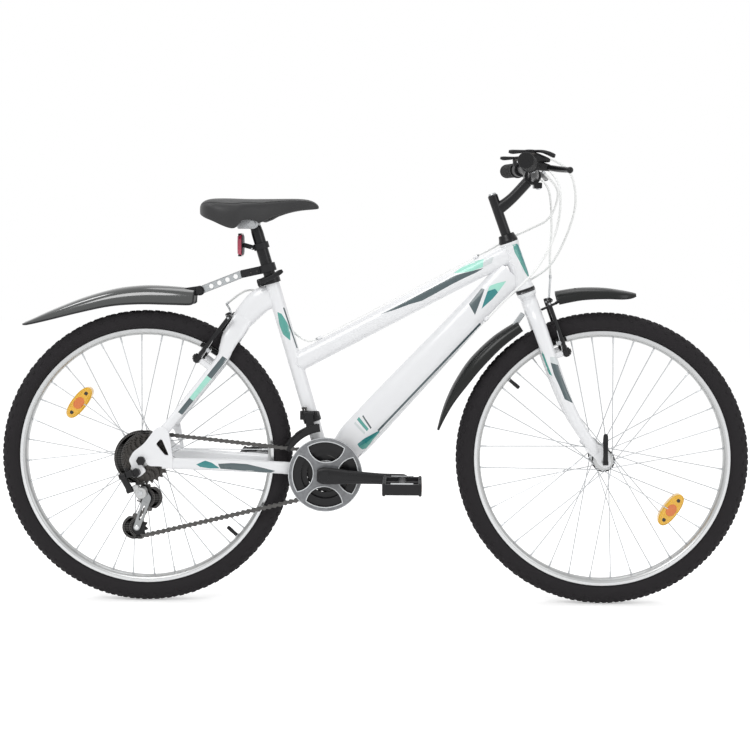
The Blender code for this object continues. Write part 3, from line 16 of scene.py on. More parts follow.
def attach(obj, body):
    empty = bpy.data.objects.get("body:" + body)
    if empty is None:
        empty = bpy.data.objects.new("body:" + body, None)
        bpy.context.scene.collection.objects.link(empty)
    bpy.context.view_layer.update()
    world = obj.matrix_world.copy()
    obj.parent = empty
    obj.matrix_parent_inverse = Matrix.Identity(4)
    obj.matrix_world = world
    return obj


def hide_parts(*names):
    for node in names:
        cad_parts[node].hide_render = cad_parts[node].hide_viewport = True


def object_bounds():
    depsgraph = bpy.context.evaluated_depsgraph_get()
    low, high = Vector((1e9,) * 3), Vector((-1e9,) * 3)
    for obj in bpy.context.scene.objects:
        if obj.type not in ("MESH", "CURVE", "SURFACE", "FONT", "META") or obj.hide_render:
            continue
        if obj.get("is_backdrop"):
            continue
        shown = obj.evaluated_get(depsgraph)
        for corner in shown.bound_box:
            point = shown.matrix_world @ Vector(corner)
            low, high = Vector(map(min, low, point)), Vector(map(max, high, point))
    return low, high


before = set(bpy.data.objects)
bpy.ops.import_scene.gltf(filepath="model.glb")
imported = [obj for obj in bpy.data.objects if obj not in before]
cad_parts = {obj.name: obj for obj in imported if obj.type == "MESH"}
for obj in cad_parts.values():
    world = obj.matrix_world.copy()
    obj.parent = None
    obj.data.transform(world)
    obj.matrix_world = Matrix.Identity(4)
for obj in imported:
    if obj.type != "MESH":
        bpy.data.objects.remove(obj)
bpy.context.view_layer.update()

# %% [markdown]
# The sizes are written in millimetres, as a bicycle maker writes them, and turned to metres once,
# when a mesh is made. The names follow the bicycle: the axles, the bottom bracket at the cranks, and
# two leaning lines, one up the seat tube and one up the steering column.

# %% Main sizes
MM = 0.001
ORIGIN = Vector((0, 0, 0))
UP = Vector((0, 0, 1))
SIDE = Vector((0, 1, 0))
AHEAD = Vector((1, 0, 0))
REAR_AXLE = Vector((-506.5, 0, 325))
FRONT_AXLE = Vector((506.5, 0, 325))
BB = Vector((-105, 0, 294))
SEAT_ANGLE = math.radians(73.5)
HEAD_ANGLE = math.radians(70.5)
SEAT_UP = Vector((-math.cos(SEAT_ANGLE), 0, math.sin(SEAT_ANGLE)))
SEAT_FWD = Vector((math.sin(SEAT_ANGLE), 0, math.cos(SEAT_ANGLE)))
STEER_BASE = Vector((471.6, 0, 312.6))
STEER_UP = Vector((-math.cos(HEAD_ANGLE), 0, math.sin(HEAD_ANGLE)))
STEER_FWD = Vector((math.sin(HEAD_ANGLE), 0, math.cos(HEAD_ANGLE)))


def at(x, y, z):
    return Vector((x, y, z))


def seat(s, n=0, y=0):
    """Point s up the seat tube, n ahead of it and y to the left."""
    return BB + SEAT_UP * s + SEAT_FWD * n + SIDE * y


def steer(s, n=0, y=0):
    """Point s up the steering column, n ahead of it and y to the left."""
    return STEER_BASE + STEER_UP * s + STEER_FWD * n + SIDE * y


def polar(centre, radius, degrees, y=0):
    """Point on a circle round a wheel's axle, counted from straight ahead."""
    angle = math.radians(degrees)
    return at(centre.x + radius * math.cos(angle), y, centre.z + radius * math.sin(angle))


print("wheelbase", round(FRONT_AXLE.x - REAR_AXLE.x), "mm, bottom bracket", round(BB.z), "mm up")

# %% [markdown]
# Most parts of a bicycle are swept (tubes, cables, levers), turned (hubs, cups, bolts) or cut from
# plate (cage sides, dropouts). A few small functions make those three kinds of skin as points and
# faces, and a Shape gathers skins until they become one piece. Writing the points directly keeps
# every section and every bend under control, which primitives with modifiers would not.

# %% Skins: swept, turned and cut from plate
def smooth_path(knots, steps=6):
    """Points and sizes along a rounded curve through knots of (point, size, size)."""
    path = []
    last = len(knots) - 1
    for i in range(last):
        rows = [knots[max(i - 1, 0)], knots[i], knots[i + 1], knots[min(i + 2, last)]]
        for k in range(steps):
            t = k / steps
            mix = (-0.5 * t + t * t - 0.5 * t ** 3, 1 - 2.5 * t * t + 1.5 * t ** 3,
                0.5 * t + 2 * t * t - 1.5 * t ** 3, -0.5 * t * t + 0.5 * t ** 3)
            point = sum((row[0] * m for row, m in zip(rows, mix)), ORIGIN.copy())
            sizes = [sum(row[j] * m for row, m in zip(rows, mix)) for j in (1, 2)]
            path.append((point, sizes[0], sizes[1]))
    path.append(tuple(knots[last]))
    return path


def curve(rows, steps=6, base=ORIGIN, side=1):
    """Rounded path through (x, y, z, half size, half size) rows from base; side -1 mirrors it."""
    return smooth_path([(base + at(x, y * side, z), a, b) for x, y, z, a, b in rows], steps)


def through(points, steps=6):
    """Rounded curve through points."""
    return [p for p, _, _ in smooth_path([(p, 0, 0) for p in points], steps)]


def heading(path, i):
    ahead = path[min(i + 1, len(path) - 1)][0]
    behind = path[max(i - 1, 0)][0]
    return (ahead - behind).normalized()


def rounded(u, w, ru, rw, sides, power=1):
    """Closed section with half sizes ru and rw: power 1 is an oval, less is squarer."""
    ring = []
    for k in range(sides):
        angle = 2 * math.pi * (k + 0.5) / sides
        c = math.cos(angle)
        s = math.sin(angle)
        along_u = ru * math.copysign(abs(c) ** power, c)
        along_w = rw * math.copysign(abs(s) ** power, s)
        ring.append(u * along_u + w * along_w)
    return ring


def swept(path, sides=20, power=1, level=None):
    """Skin along a path of (point, in-plane half size, sideways half size)."""
    level = level or SIDE
    rings = []
    for i, (point, ru, rw) in enumerate(path):
        d = heading(path, i)
        w = (level - d * level.dot(d)).normalized()
        rings.append([point + p for p in rounded(w.cross(d), w, ru, rw, sides, power)])
    return loft(rings)


def cable_skin(points, radius, sides=12):
    """Round skin along any curve, its section carried along without twist."""
    path = [(p, 0, 0) for p in points]
    d = heading(path, 0)
    u = d.orthogonal().normalized()
    rings = []
    for i, p in enumerate(points):
        d = heading(path, i)
        u = (u - d * u.dot(d)).normalized()
        r = radius[i] if isinstance(radius, list) else radius
        rings.append([p + q for q in rounded(u, d.cross(u), r, r, sides)])
    return loft(rings)


def loft(rings, loop=False):
    """Skin through rings of equally many points, closed by two end faces or into a loop."""
    count = len(rings[0])
    points = [p for ring in rings for p in ring]
    faces = []
    for i in range(len(rings) if loop else len(rings) - 1):
        a = i * count
        b = ((i + 1) % len(rings)) * count
        faces.extend([a + k, a + (k + 1) % count, b + (k + 1) % count, b + k] for k in range(count))
    if not loop:
        faces.append(list(range(count)))
        faces.append([len(points) - count + k for k in range(count)])
    return points, faces


def turned(profile, base, axis, sides=32, start=0):
    """Skin of a (radius, height) profile turned about an axis; it closes on itself or at radius 0."""
    d = axis.normalized()
    u = (AHEAD - d * AHEAD.dot(d)).normalized() if abs(d.x) < 0.8 else (UP - d * UP.dot(d)).normalized()
    w = d.cross(u)
    points = []
    rows = []
    for r, h in profile:
        if r < 1e-6:
            points.append(base + d * h)
            rows.append([len(points) - 1] * sides)
            continue
        rows.append(list(range(len(points), len(points) + sides)))
        for k in range(sides):
            angle = start + 2 * math.pi * k / sides
            points.append(base + d * h + (u * math.cos(angle) + w * math.sin(angle)) * r)
    faces = []
    for i, a in enumerate(rows):
        b = rows[(i + 1) % len(rows)]
        for k in range(sides):
            face = list(dict.fromkeys((a[k], a[(k + 1) % sides], b[(k + 1) % sides], b[k])))
            if len(face) > 2:
                faces.append(face)
    return points, faces


def rod(start, end, radius, sides=20, soft=0.6):
    """Solid bar between two points, its two edges rounded off."""
    length = (end - start).length
    soft = min(soft, radius * 0.4, length * 0.3)
    profile = [(0, 0), (radius - soft, 0), (radius, soft), (radius, length - soft), (radius - soft, length),
        (0, length)]
    return turned(profile, start, end - start, sides)


def block(start, end, across, half_across, half_deep, soft=1):
    """Square bar between two points with softened edges."""
    d = (end - start).normalized()
    length = (end - start).length
    soft = min(soft, half_across * 0.5, half_deep * 0.5, length * 0.3)
    a = (across - d * across.dot(d)).normalized()
    b = d.cross(a)
    rings = []
    for h, inset in ((0, soft), (soft, 0), (length - soft, 0), (length, soft)):
        p = half_across - inset
        q = half_deep - inset
        corners = ((p, q - soft), (p - soft, q), (soft - p, q), (-p, q - soft), (-p, soft - q),
            (soft - p, -q), (p - soft, -q), (p, soft - q))
        rings.append([start + d * h + a * i + b * j for i, j in corners])
    return loft(rings)


def slab(outline, low, high, soft=0.5):
    """Plate across Y from an (x, z) outline, its edges broken."""
    count = len(outline)
    area = sum(p[0] * q[1] - q[0] * p[1] for p, q in zip(outline, outline[1:] + outline[:1]))
    inner = []
    for i, (x, z) in enumerate(outline):
        before = Vector(outline[i - 1])
        after = Vector(outline[(i + 1) % count])
        along = (after - before).normalized()
        normal = Vector((-along.y, along.x)) * math.copysign(1, area)
        inner.append((x + normal.x * soft, z + normal.y * soft))
    soft = min(soft, (high - low) * 0.4)
    rings = []
    for edge, y in ((inner, low), (outline, low + soft), (outline, high - soft), (inner, high)):
        rings.append([at(x, y, z) for x, z in edge])
    return loft(rings)


def pin(middle, axis, half, radius, sides=20, soft=0.6):
    """Rod given by its middle and half its length."""
    return rod(middle - axis * half, middle + axis * half, radius, sides, soft)


def bar(middle, axis, half, across, half_across, half_deep, soft=1):
    """Block given by its middle and half its length."""
    return block(middle - axis * half, middle + axis * half, across, half_across, half_deep, soft)


def collar(base, axis, profile, sides=28):
    """Turned skin whose two ends are closed by flat faces."""
    return turned([(0, profile[0][1])] + profile + [(0, profile[-1][1])], base, axis, sides)


def nut(base, axis, radius, depth):
    """Hexagon with chamfered corners."""
    return collar(base, axis, [(radius * 0.9, 0), (radius, depth * 0.14), (radius, depth * 0.86),
        (radius * 0.9, depth)], 6)


def mirrored(half):
    """Profile followed by its mirror image across the middle."""
    return half + [(r, -y) for r, y in reversed(half)]


def circle(x, z, radius, count=24):
    angles = [2 * math.pi * k / count for k in range(count)]
    return [(x + radius * math.cos(a), z + radius * math.sin(a)) for a in angles]


def hull(discs, count=28):
    """Outline pulled tight round several (x, z, radius) discs."""
    cloud = sorted({(round(x, 4), round(z, 4)) for disc in discs for x, z in circle(*disc, count)})

    def half(points):
        chain = []
        for p in points:
            while len(chain) > 1:
                (ax, az), (bx, bz) = chain[-2:]
                if (bx - ax) * (p[1] - az) - (bz - az) * (p[0] - ax) > 1e-6:
                    break
                chain.pop()
            chain.append(p)
        return chain[:-1]

    return half(cloud) + half(cloud[::-1])


bolt = rod(ORIGIN, UP * 10, 3)
print("a plain bolt has", len(bolt[0]), "points and", len(bolt[1]), "faces")

# %% [markdown]
# A Shape collects skins with their finishes and turns them into one object. Doubled points are merged
# and the faces turned outwards before the shading is smoothed, so that light falls cleanly on it.
# The new object is then told which body it rides on and which plain solids it stands for.

# %% Shape: from skins to a riding piece
class Shape:
    def __init__(self):
        self.points = []
        self.faces = []
        self.finishes = []
        self.marks = []

    def add(self, finish, *skins):
        if finish not in self.finishes:
            self.finishes.append(finish)
        for points, faces in skins:
            start = len(self.points)
            self.points.extend(points)
            self.faces.extend([start + i for i in face] for face in faces)
            self.marks.extend([self.finishes.index(finish)] * len(faces))
        return self

    def mesh(self, name, sharp=32, sheet=False):
        data = bpy.data.meshes.new(name)
        data.from_pydata([tuple(p * MM) for p in self.points], [], self.faces)
        for finish in self.finishes:
            data.materials.append(finish)
        data.polygons.foreach_set("material_index", self.marks)
        work = bmesh.new()
        work.from_mesh(data)
        bmesh.ops.remove_doubles(work, verts=work.verts, dist=1e-7)
        if not sheet:
            bmesh.ops.recalc_face_normals(work, faces=work.faces)
        work.to_mesh(data)
        work.free()
        data.polygons.foreach_set("use_smooth", [True] * len(data.polygons))
        data.set_sharp_from_angle(angle=math.radians(sharp))
        return data

    def piece(self, name, body, slot, stands_for=(), sharp=32):
        return settle(bpy.data.objects.new(name, self.mesh(name, sharp)), body, stands_for)


def settle(thing, body, stands_for=()):
    """Put a finished object in the scene, on its body and in place of its plain solids."""
    if thing.name not in bpy.context.scene.collection.objects:
        bpy.context.scene.collection.objects.link(thing)
    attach(thing, body)
    if stands_for:
        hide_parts(*stands_for)
    return thing


# %% [markdown]
# What repeats is left to Geometry Nodes. One tree sets copies of a small unit round an axle, as tread
# blocks, spokes or teeth are; another sets them along a closed line, as chain links are. A third, made
# later, draws weld beads. All end by realizing the copies and setting their material, and the result
# becomes a plain mesh. One function adds a node, and two short ones add the commonest kinds.

# %% Geometry Nodes: copies round an axle and along a line
def tree_node(tree, kind, links=(), **settings):
    """Add a node, set its properties, then link or set its inputs from (input, value) pairs."""
    new = tree.nodes.new(kind)
    for key, value in settings.items():
        setattr(new, key, value)
    for socket, value in links:
        if isinstance(value, bpy.types.NodeSocket):
            tree.links.new(value, new.inputs[socket])
        else:
            new.inputs[socket].default_value = value
    return new


def maths(tree, operation, *values):
    """Result of a maths node on numbers or sockets."""
    return tree_node(tree, "ShaderNodeMath", enumerate(values), operation=operation).outputs[0]


def geo(tree, kind, mode=None, **inputs):
    """First output of a Geometry node, its inputs given by name with _ for a space."""
    links = [(key.replace("_", " "), value) for key, value in inputs.items()]
    settings = {"mode": mode} if mode else {}
    return tree_node(tree, "GeometryNode" + kind, links, **settings).outputs[0]


def start_tree(name, **sockets):
    """New Geometry tree with the named inputs, and those inputs."""
    tree = bpy.data.node_groups.new(name, "GeometryNodeTree")
    tree.interface.new_socket("Geometry", in_out="OUTPUT", socket_type="NodeSocketGeometry")
    for label, kind in sockets.items():
        tree.interface.new_socket(label, in_out="INPUT", socket_type="NodeSocket" + kind)
    return tree, tree.nodes.new("NodeGroupInput").outputs


def end_tree(tree, geometry, finish):
    solid = geo(tree, "RealizeInstances", Geometry=geometry)
    tree_node(tree, "NodeGroupOutput", [(0, geo(tree, "SetMaterial", Geometry=solid, Material=finish))])
    return tree


def axle_tree():
    tree, given = start_tree("round_an_axle", Geometry="Geometry", Count="Int", Start="Float",
        Centre="Vector", Finish="Material")
    step = maths(tree, "DIVIDE", -2 * math.pi, given["Count"])
    turn = maths(tree, "MULTIPLY_ADD", geo(tree, "InputIndex"), step, given["Start"])
    angles = tree_node(tree, "ShaderNodeCombineXYZ", [("Y", turn)])
    copies = geo(tree, "InstanceOnPoints", Points=geo(tree, "Points", Count=given["Count"]),
        Instance=given["Geometry"], Rotation=angles.outputs[0])
    placed = geo(tree, "Transform", Geometry=copies, Translation=given["Centre"])
    return end_tree(tree, placed, given["Finish"])


def line_tree():
    tree, given = start_tree("along_a_line", Geometry="Geometry", Count="Int", Odd="Object", Even="Object",
        Finish="Material")
    stops = geo(tree, "ResampleCurve", Curve=given["Geometry"], Count=given["Count"])
    aim = tree_node(tree, "FunctionNodeAlignEulerToVector", [("Vector", geo(tree, "InputTangent"))],
        axis="X", pivot_axis="Y")
    parity = maths(tree, "MODULO", geo(tree, "InputIndex"), 2)
    both = tree.nodes.new("GeometryNodeJoinGeometry")
    for label, choice in (("Odd", parity), ("Even", maths(tree, "SUBTRACT", 1, parity))):
        unit = tree_node(tree, "GeometryNodeObjectInfo", [("Object", given[label])])
        copies = geo(tree, "InstanceOnPoints", Points=stops, Selection=choice,
            Instance=unit.outputs["Geometry"], Rotation=aim.outputs[0])
        tree.links.new(copies, both.inputs[0])
    return end_tree(tree, both.outputs[0], given["Finish"])


ROUND_AN_AXLE = axle_tree()
ALONG_A_LINE = line_tree()


def grow(source, tree, values, name):
    """Run a tree on an object and keep what it makes as a plain mesh."""
    bpy.context.scene.collection.objects.link(source)
    modifier = source.modifiers.new(tree.name, "NODES")
    modifier.node_group = tree
    for item in tree.interface.items_tree:
        if item.item_type == "SOCKET" and item.in_out == "INPUT" and item.name in values:
            modifier[item.identifier] = values[item.name]
    bpy.context.view_layer.update()
    graph = bpy.context.evaluated_depsgraph_get()
    made = bpy.data.meshes.new_from_object(source.evaluated_get(graph))
    made.name = name
    bpy.data.objects.remove(source)
    return outwards(made)


def round_axle(name, unit, finish, centre, count, degrees=0):
    """Mesh of a unit, drawn about the origin, repeated round an axle that lies along Y."""
    source = bpy.data.objects.new("unit", unit.mesh("unit"))
    return grow(source, ROUND_AN_AXLE, {"Count": count, "Start": -math.radians(degrees),
        "Centre": centre * MM, "Finish": finish}, name)


def outwards(data):
    """Turn a mesh's faces outwards."""
    work = bmesh.new()
    work.from_mesh(data)
    bmesh.ops.recalc_face_normals(work, faces=work.faces)
    work.to_mesh(data)
    work.free()
    return data


def merged(name, meshes, body, stands_for=()):
    """One piece from several meshes that share a body."""
    work = bmesh.new()
    data = bpy.data.meshes.new(name)
    for part in meshes:
        offset = len(data.materials)
        for finish in part.materials:
            data.materials.append(finish)
        first = len(work.faces)
        work.from_mesh(part)
        work.faces.ensure_lookup_table()
        for face in work.faces[first:]:
            face.material_index += offset
    work.to_mesh(data)
    work.free()
    return settle(bpy.data.objects.new(name, data), body, stands_for)


print("trees:", [tree.name for tree in (ROUND_AN_AXLE, ALONG_A_LINE)])

# %% [markdown]
# The finishes come next. Each starts from what the real surface is and how it was made, with its
# colour as the sRGB hex value that a painter would match, turned to the linear values that Blender
# mixes. Small waves and grains are drawn in Object coordinates, so they stay put on a turned wheel.

# %% Finishes: one node helper and one recipe with measured grain
def colour(code):
    """Linear colour from an sRGB hex value."""
    channels = [int(code[i:i + 2], 16) / 255 for i in (1, 3, 5)]
    return [c / 12.92 if c <= 0.04045 else ((c + 0.055) / 1.055) ** 2.4 for c in channels] + [1]


def surface(name, code, metallic, roughness, uneven, patch_mm, grain_mm, depth_mm, shade, **sockets):
    """Material whose colour drifts by shade and roughness by uneven over patch_mm, with a fine grain."""
    made = bpy.data.materials.new(name)
    made.use_nodes = True
    tree = made.node_tree
    inputs = tree.nodes["Principled BSDF"].inputs
    inputs["Metallic"].default_value = metallic
    for socket, value in sockets.items():
        inputs[socket.replace("_", " ")].default_value = value
    place = tree_node(tree, "ShaderNodeTexCoord").outputs["Object"]

    def noise(size_mm, detail):
        return tree_node(tree, "ShaderNodeTexNoise",
            [("Vector", place), ("Scale", 1000 / size_mm), ("Detail", detail)]).outputs[0]

    patches = noise(patch_mm, 4)
    dark, light = [[min(1, c * f) for c in colour(code)[:3]] + [1] for f in (1 - shade, 1 + shade)]
    mixed = tree_node(tree, "ShaderNodeMix", [(0, patches), (6, dark), (7, light)], data_type="RGBA")
    rough = tree_node(tree, "ShaderNodeMapRange",
        [("Value", patches), ("To Min", roughness - uneven), ("To Max", roughness + uneven)])
    relief = tree_node(tree, "ShaderNodeBump", [("Height", noise(grain_mm, 2)), ("Strength", 1),
        ("Distance", depth_mm * MM)])
    for made_here, socket in ((mixed.outputs[2], "Base Color"), (rough.outputs[0], "Roughness"),
            (relief.outputs[0], "Normal")):
        tree.links.new(made_here, inputs[socket])
    return made


print("white paint is", [round(c, 3) for c in colour("#E9EAEC")[:3]], "in linear values")

# %% [markdown]
# Paint first. The frame is sprayed with near-white enamel under clear lacquer, so it has a soft
# gloss, a faint orange peel about 5 mm across, and no metal showing. The black parts are the same
# enamel in black, and the flashes are coloured lacquer. Metals are kept in a table, because they
# differ only in tint, polish and grain: aluminium is dull, turned steel bright, gears oily and dirty.

# %% Paints and metals
WHITE = surface("white_enamel", "#E9EAEC", 0, 0.3, 0.05, 80, 5, 0.03, 0.015, Coat_Weight=0.5,
    Coat_Roughness=0.08)
BLACK = surface("black_enamel", "#151517", 0, 0.3, 0.06, 40, 4, 0.03, 0.15, Specular_IOR_Level=0.28)
LACQUERS = {"mint": "#9FDCCB", "teal": "#4F9D93", "sea": "#1F7F80", "slate": "#46565A", "silver": "#D0D6D7"}
FILM = {tone: surface(tone + "_lacquer", code, 0, 0.28, 0.04, 30, 5, 0.02, 0.05, Coat_Weight=0.5)
    for tone, code in LACQUERS.items()}
METALS = (  # name, sRGB value, roughness, its unevenness, patch mm, grain mm, depth mm, shade
    ("anodised_aluminium", "#B2B3B3", 0.36, 0.06, 45, 0.9, 0.015, 0.05),
    ("bright_steel", "#C9CACB", 0.22, 0.06, 12, 0.7, 0.01, 0.06),
    ("zinc_plated_steel", "#B4B6B8", 0.32, 0.08, 8, 0.8, 0.02, 0.08),
    ("oiled_gear_steel", "#454341", 0.36, 0.1, 14, 0.9, 0.02, 0.2),
    ("drawn_spoke_steel", "#BEC0C2", 0.42, 0.05, 20, 0.7, 0.01, 0.05),
    ("dull_nickel_plate", "#8F9192", 0.3, 0.08, 10, 0.8, 0.02, 0.16),
    ("oiled_chain_steel", "#555453", 0.34, 0.1, 9, 0.8, 0.02, 0.22))
ANODISED, BRIGHT, ZINC, OILED, DRAWN, NICKEL, LINK_STEEL = (
    surface(name, code, 1, *grain) for name, code, *grain in METALS)
print(2 + len(FILM), "paints and", len(METALS), "metals")

# %% [markdown]
# Then plastics and rubber. Moulded nylon has a fine spark-eroded grain from its mould, drawn here at
# 0.9 mm so that it still shows. Tyre rubber is matt and a little dusty. The saddle is stretched vinyl
# with a leather-like grain. Reflectors are clear acrylic over coloured cells, so they keep a strong
# gloss and a low, regular relief.

# %% Plastics, rubber and reflectors
NYLON = surface("moulded_black_nylon", "#18181A", 0, 0.46, 0.07, 25, 0.9, 0.04, 0.15, Specular_IOR_Level=0.28)
GREY = surface("moulded_grey_plastic", "#B4B8BA", 0, 0.38, 0.05, 25, 1, 0.02, 0.06)
SMOKED = surface("smoked_polycarbonate", "#727477", 0, 0.2, 0.05, 8, 4, 0.05, 0.5, Coat_Weight=0.3,
    Coat_Roughness=0.05)
# Painted highlight: the chain guard's lips are pale grey where the clear plastic's edges catch the light.
PAINTED_HIGHLIGHT_EDGE = surface("polycarbonate_edge_painted_highlight", "#D2D5D7", 0, 0.2, 0.05, 20, 4, 0.02, 0.08, Coat_Weight=0.3)
MATT_GUARD = surface("mudguard_plastic", "#161817", 0, 0.24, 0.05, 60, 6, 0.05, 0.15, Specular_IOR_Level=0.3)
# The rear guard's plastic is the front guards' plastic made glossier and a little lighter: partly real gloss,
# partly painted sheen.
GLOSS_AND_PAINTED_SHEEN_GUARD = surface("polished_mudguard_plastic_painted_sheen", "#1E2221", 0, 0.14, 0.04, 60, 8, 0.04, 0.15,
    Specular_IOR_Level=0.9, Coat_Weight=0.5, Coat_Roughness=0.06)
TYRE = surface("tyre_rubber", "#242224", 0, 0.78, 0.08, 35, 1.2, 0.08, 0.15, Specular_IOR_Level=0.2)
RUBBER = surface("grip_rubber", "#1B1B1C", 0, 0.72, 0.08, 20, 0.9, 0.05, 0.15, Specular_IOR_Level=0.25)
VINYL = surface("saddle_vinyl", "#2B2B2C", 0, 0.46, 0.06, 40, 1.6, 0.09, 0.1, Specular_IOR_Level=0.35)
SHEATH = surface("white_cable_sheath", "#F1F2F1", 0, 0.4, 0.05, 20, 1.5, 0.02, 0.04)
ACRYLICS = (("yellow", "#E6B01F"), ("orange", "#D8701A"), ("red", "#B02A4A"))
YELLOW, ORANGE, RED = (
    surface(tint + "_reflector", code, 0, 0.18, 0.03, 12, 2.2, 0.12, 0.08, Coat_Weight=0.8,
        Coat_Roughness=0.04)
    for tint, code in ACRYLICS)
print(len(bpy.data.materials), "materials in the file with the skeleton's own")

# %% [markdown]
# The camera stands square to the chain side, three metres off and a little above the top tube, because
# the wheels read as circles and the far pedal shows just above the near one's height. A small shift
# lowers the picture without tilting the camera, and the whole view leans a quarter of a degree.
# The room is a pale floor, a white world that only the camera and mirrors see at full strength, three
# large soft lamps and a small one whose sheen lies along the rear mudguard.

# %% Camera, floor and light
scene = bpy.context.scene
scene.view_settings.view_transform = "Standard"
camera = bpy.data.objects.new("camera", bpy.data.cameras.new("camera"))
scene.collection.objects.link(camera)
scene.camera = camera
camera.data.sensor_width = 36
camera.data.lens = 64.785
camera.data.shift_x = -0.0296
camera.data.shift_y = -0.1511
LEAN = math.radians(0.234)


def aimed(place, target):
    """Turn that points a camera or lamp from its place at a target."""
    return (Vector(target) - Vector(place)).to_track_quat("-Z", "Y")


camera.location = (0.099, -3, 0.849)
aim = aimed(camera.location, (0.05, 0, 0.76)).to_matrix().to_4x4()
camera.matrix_world = Matrix.Translation(camera.location) @ aim @ Matrix.Rotation(LEAN, 4, "Z")


def seen_directly(tree):
    """Light Path sum: 1 for camera, glossy and transmission rays, 0 for the rays that light things."""
    path = tree_node(tree, "ShaderNodeLightPath").outputs
    some = maths(tree, "ADD", path["Is Camera Ray"], path["Is Glossy Ray"])
    both = maths(tree, "ADD", some, path["Is Transmission Ray"])
    both.node.use_clamp = True
    return both


world = bpy.data.worlds.new("studio")
scene.world = world
world.use_nodes = True
sky = world.node_tree
level = tree_node(sky, "ShaderNodeMapRange", [("Value", seen_directly(sky)), ("To Min", 0.62), ("To Max", 1)])
sky.nodes["Background"].inputs["Color"].default_value = colour("#FFFFFF")
sky.links.new(level.outputs[0], sky.nodes["Background"].inputs["Strength"])


def lamp(name, place, target, size, watts):
    light = bpy.data.lights.new(name, "AREA")
    light.shape = "DISK"
    light.size = size
    light.energy = watts
    thing = bpy.data.objects.new(name, light)
    thing.location = place
    thing.rotation_euler = aimed(place, target).to_euler()
    scene.collection.objects.link(thing)


lamp("key", (-1.4, -2.6, 3), (0, 0, 0.5), 1.8, 43)
lamp("kicker", (-1.7, 0.05, 2.45), (-0.6, 0, 0.7), 0.55, 6)
lamp("fill", (2.6, -2, 1.6), (0, 0, 0.5), 2, 16)
lamp("top", (0, 0.8, 3.4), (0, 0, 0.4), 2.2, 24)

floor_mesh = bpy.data.meshes.new("floor")
work = bmesh.new()
bmesh.ops.create_circle(work, cap_ends=True, segments=96, radius=9)
bmesh.ops.translate(work, vec=(0, 0, -0.0005), verts=work.verts)
work.to_mesh(floor_mesh)
work.free()
floor = bpy.data.objects.new("floor", floor_mesh)
scene.collection.objects.link(floor)
paper = bpy.data.materials.new("pale_paper")
paper.use_nodes = True
sheet = paper.node_tree
paper_skin = sheet.nodes["Principled BSDF"]
for socket, value in (("Base Color", colour("#F7F7F7")), ("Roughness", 0.9), ("Specular IOR Level", 0)):
    paper_skin.inputs[socket].default_value = value
share = maths(sheet, "MULTIPLY", seen_directly(sheet), 0.42)
glow = tree_node(sheet, "ShaderNodeEmission", [("Color", colour("#FFFFFF")), ("Strength", share)])
both = tree_node(sheet, "ShaderNodeAddShader", [(0, paper_skin.outputs[0]), (1, glow.outputs[0])])
sheet.links.new(both.outputs[0], sheet.nodes["Material Output"].inputs["Surface"])
floor_mesh.materials.append(paper)
floor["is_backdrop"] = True
print("camera at", [round(v, 3) for v in camera.location], "m,", len(bpy.data.lights), "lamps")

# %% [markdown]
# A tyre is a moulded carcass with rubber blocks standing on it. The carcass is one turned skin with
# a full round shoulder and beads that tuck into the rim. The tread has three kinds of block: a split
# pair at the crown, leaning blocks on each shoulder and small lugs on the sidewall. One block of each
# kind is drawn at three o'clock and Geometry Nodes repeat it round the axle.

# %% Tyres
BLOCKS_ROUND = 72
CARCASS = [(323.4, 0), (323, 6), (321.3, 11), (317.9, 15.8), (312.8, 19.8), (306, 22.4), (299.5, 23),
    (293.5, 21.2), (289, 17.6), (286.4, 14.6), (285.4, 12.6), (284.9, 11.2), (280.6, 11), (280.6, 8.6),
    (286, 9.6), (293, 16), (303.5, 20.6), (318.8, 0)]


def tread_block(radius, y, lean, height, long, wide, skew):
    """One rubber block at three o'clock, leaning outwards, its top smaller than its foot."""
    out = at(math.cos(lean), math.sin(lean), 0)
    across = out.cross(at(0, 0, 1))
    turn = at(0, 0, 1) * math.cos(skew) + across * math.sin(skew)
    side = out.cross(turn)
    foot = at(radius, y, 0)
    rings = []
    for h, grow in ((-1.5, 1.08), (height - 0.7, 1), (height, 0.84)):
        corners = ((1, 0.7), (0.7, 1), (-0.7, 1), (-1, 0.7), (-1, -0.7), (-0.7, -1), (0.7, -1), (1, -0.7))
        rings.append([foot + out * h + turn * (long * i * grow) + side * (wide * j * grow)
            for i, j in corners])
    return loft(rings)


TREAD = (  # radius, y, lean, height, half length, half width, skew, steps ahead, steps to its side
    (321.4, 4.9, 0.1, 3, 5.4, 3.4, 0.35, 0, 0.25), (318.8, 12.6, 0.5, 3, 4.9, 3.6, -0.3, 0.5, 0.25),
    (311.6, 19.4, 1.02, 2.2, 3.6, 2.6, 0, 0, 0.25), (303.4, 22.1, 1.5, 0.9, 1, 3.4, 0, 0.5, 0))


def tyre(name, centre, body, node):
    skin = CARCASS + [(r, -y) for r, y in reversed(CARCASS[1:-1])]
    parts = [Shape().add(TYRE, turned(skin, centre, SIDE, 120)).mesh(name)]
    for side in (1, -1):
        for radius, y, lean, height, long, wide, skew, ahead, shift in TREAD:
            unit = Shape().add(TYRE, tread_block(radius, y * side, lean * side, height, long, wide,
                skew * side))
            degrees = (ahead + shift * side) * 360 / BLOCKS_ROUND
            parts.append(round_axle("tread", unit, TYRE, centre, BLOCKS_ROUND, degrees))
    merged(name, parts, body, [node])


tyre("knobbed_tyre_front", FRONT_AXLE, "front_wheel", "front_tyre")
tyre("knobbed_tyre_rear", REAR_AXLE, "rear_wheel", "rear_tyre")
print(2 * len(TREAD) * BLOCKS_ROUND, "tread blocks on each tyre")

# %% [markdown]
# The rim is an extruded aluminium box bent into a hoop: a spoke bed, two brake walls and the hooks
# that hold the tyre. The walls are machined after welding, so a narrow brighter band runs round them.
# Spokes cross three times on their way to the rim. Each flange has nine pulling spokes and nine
# trailing ones, so four single spokes, each with its head, elbow and nipple, are repeated nine times.

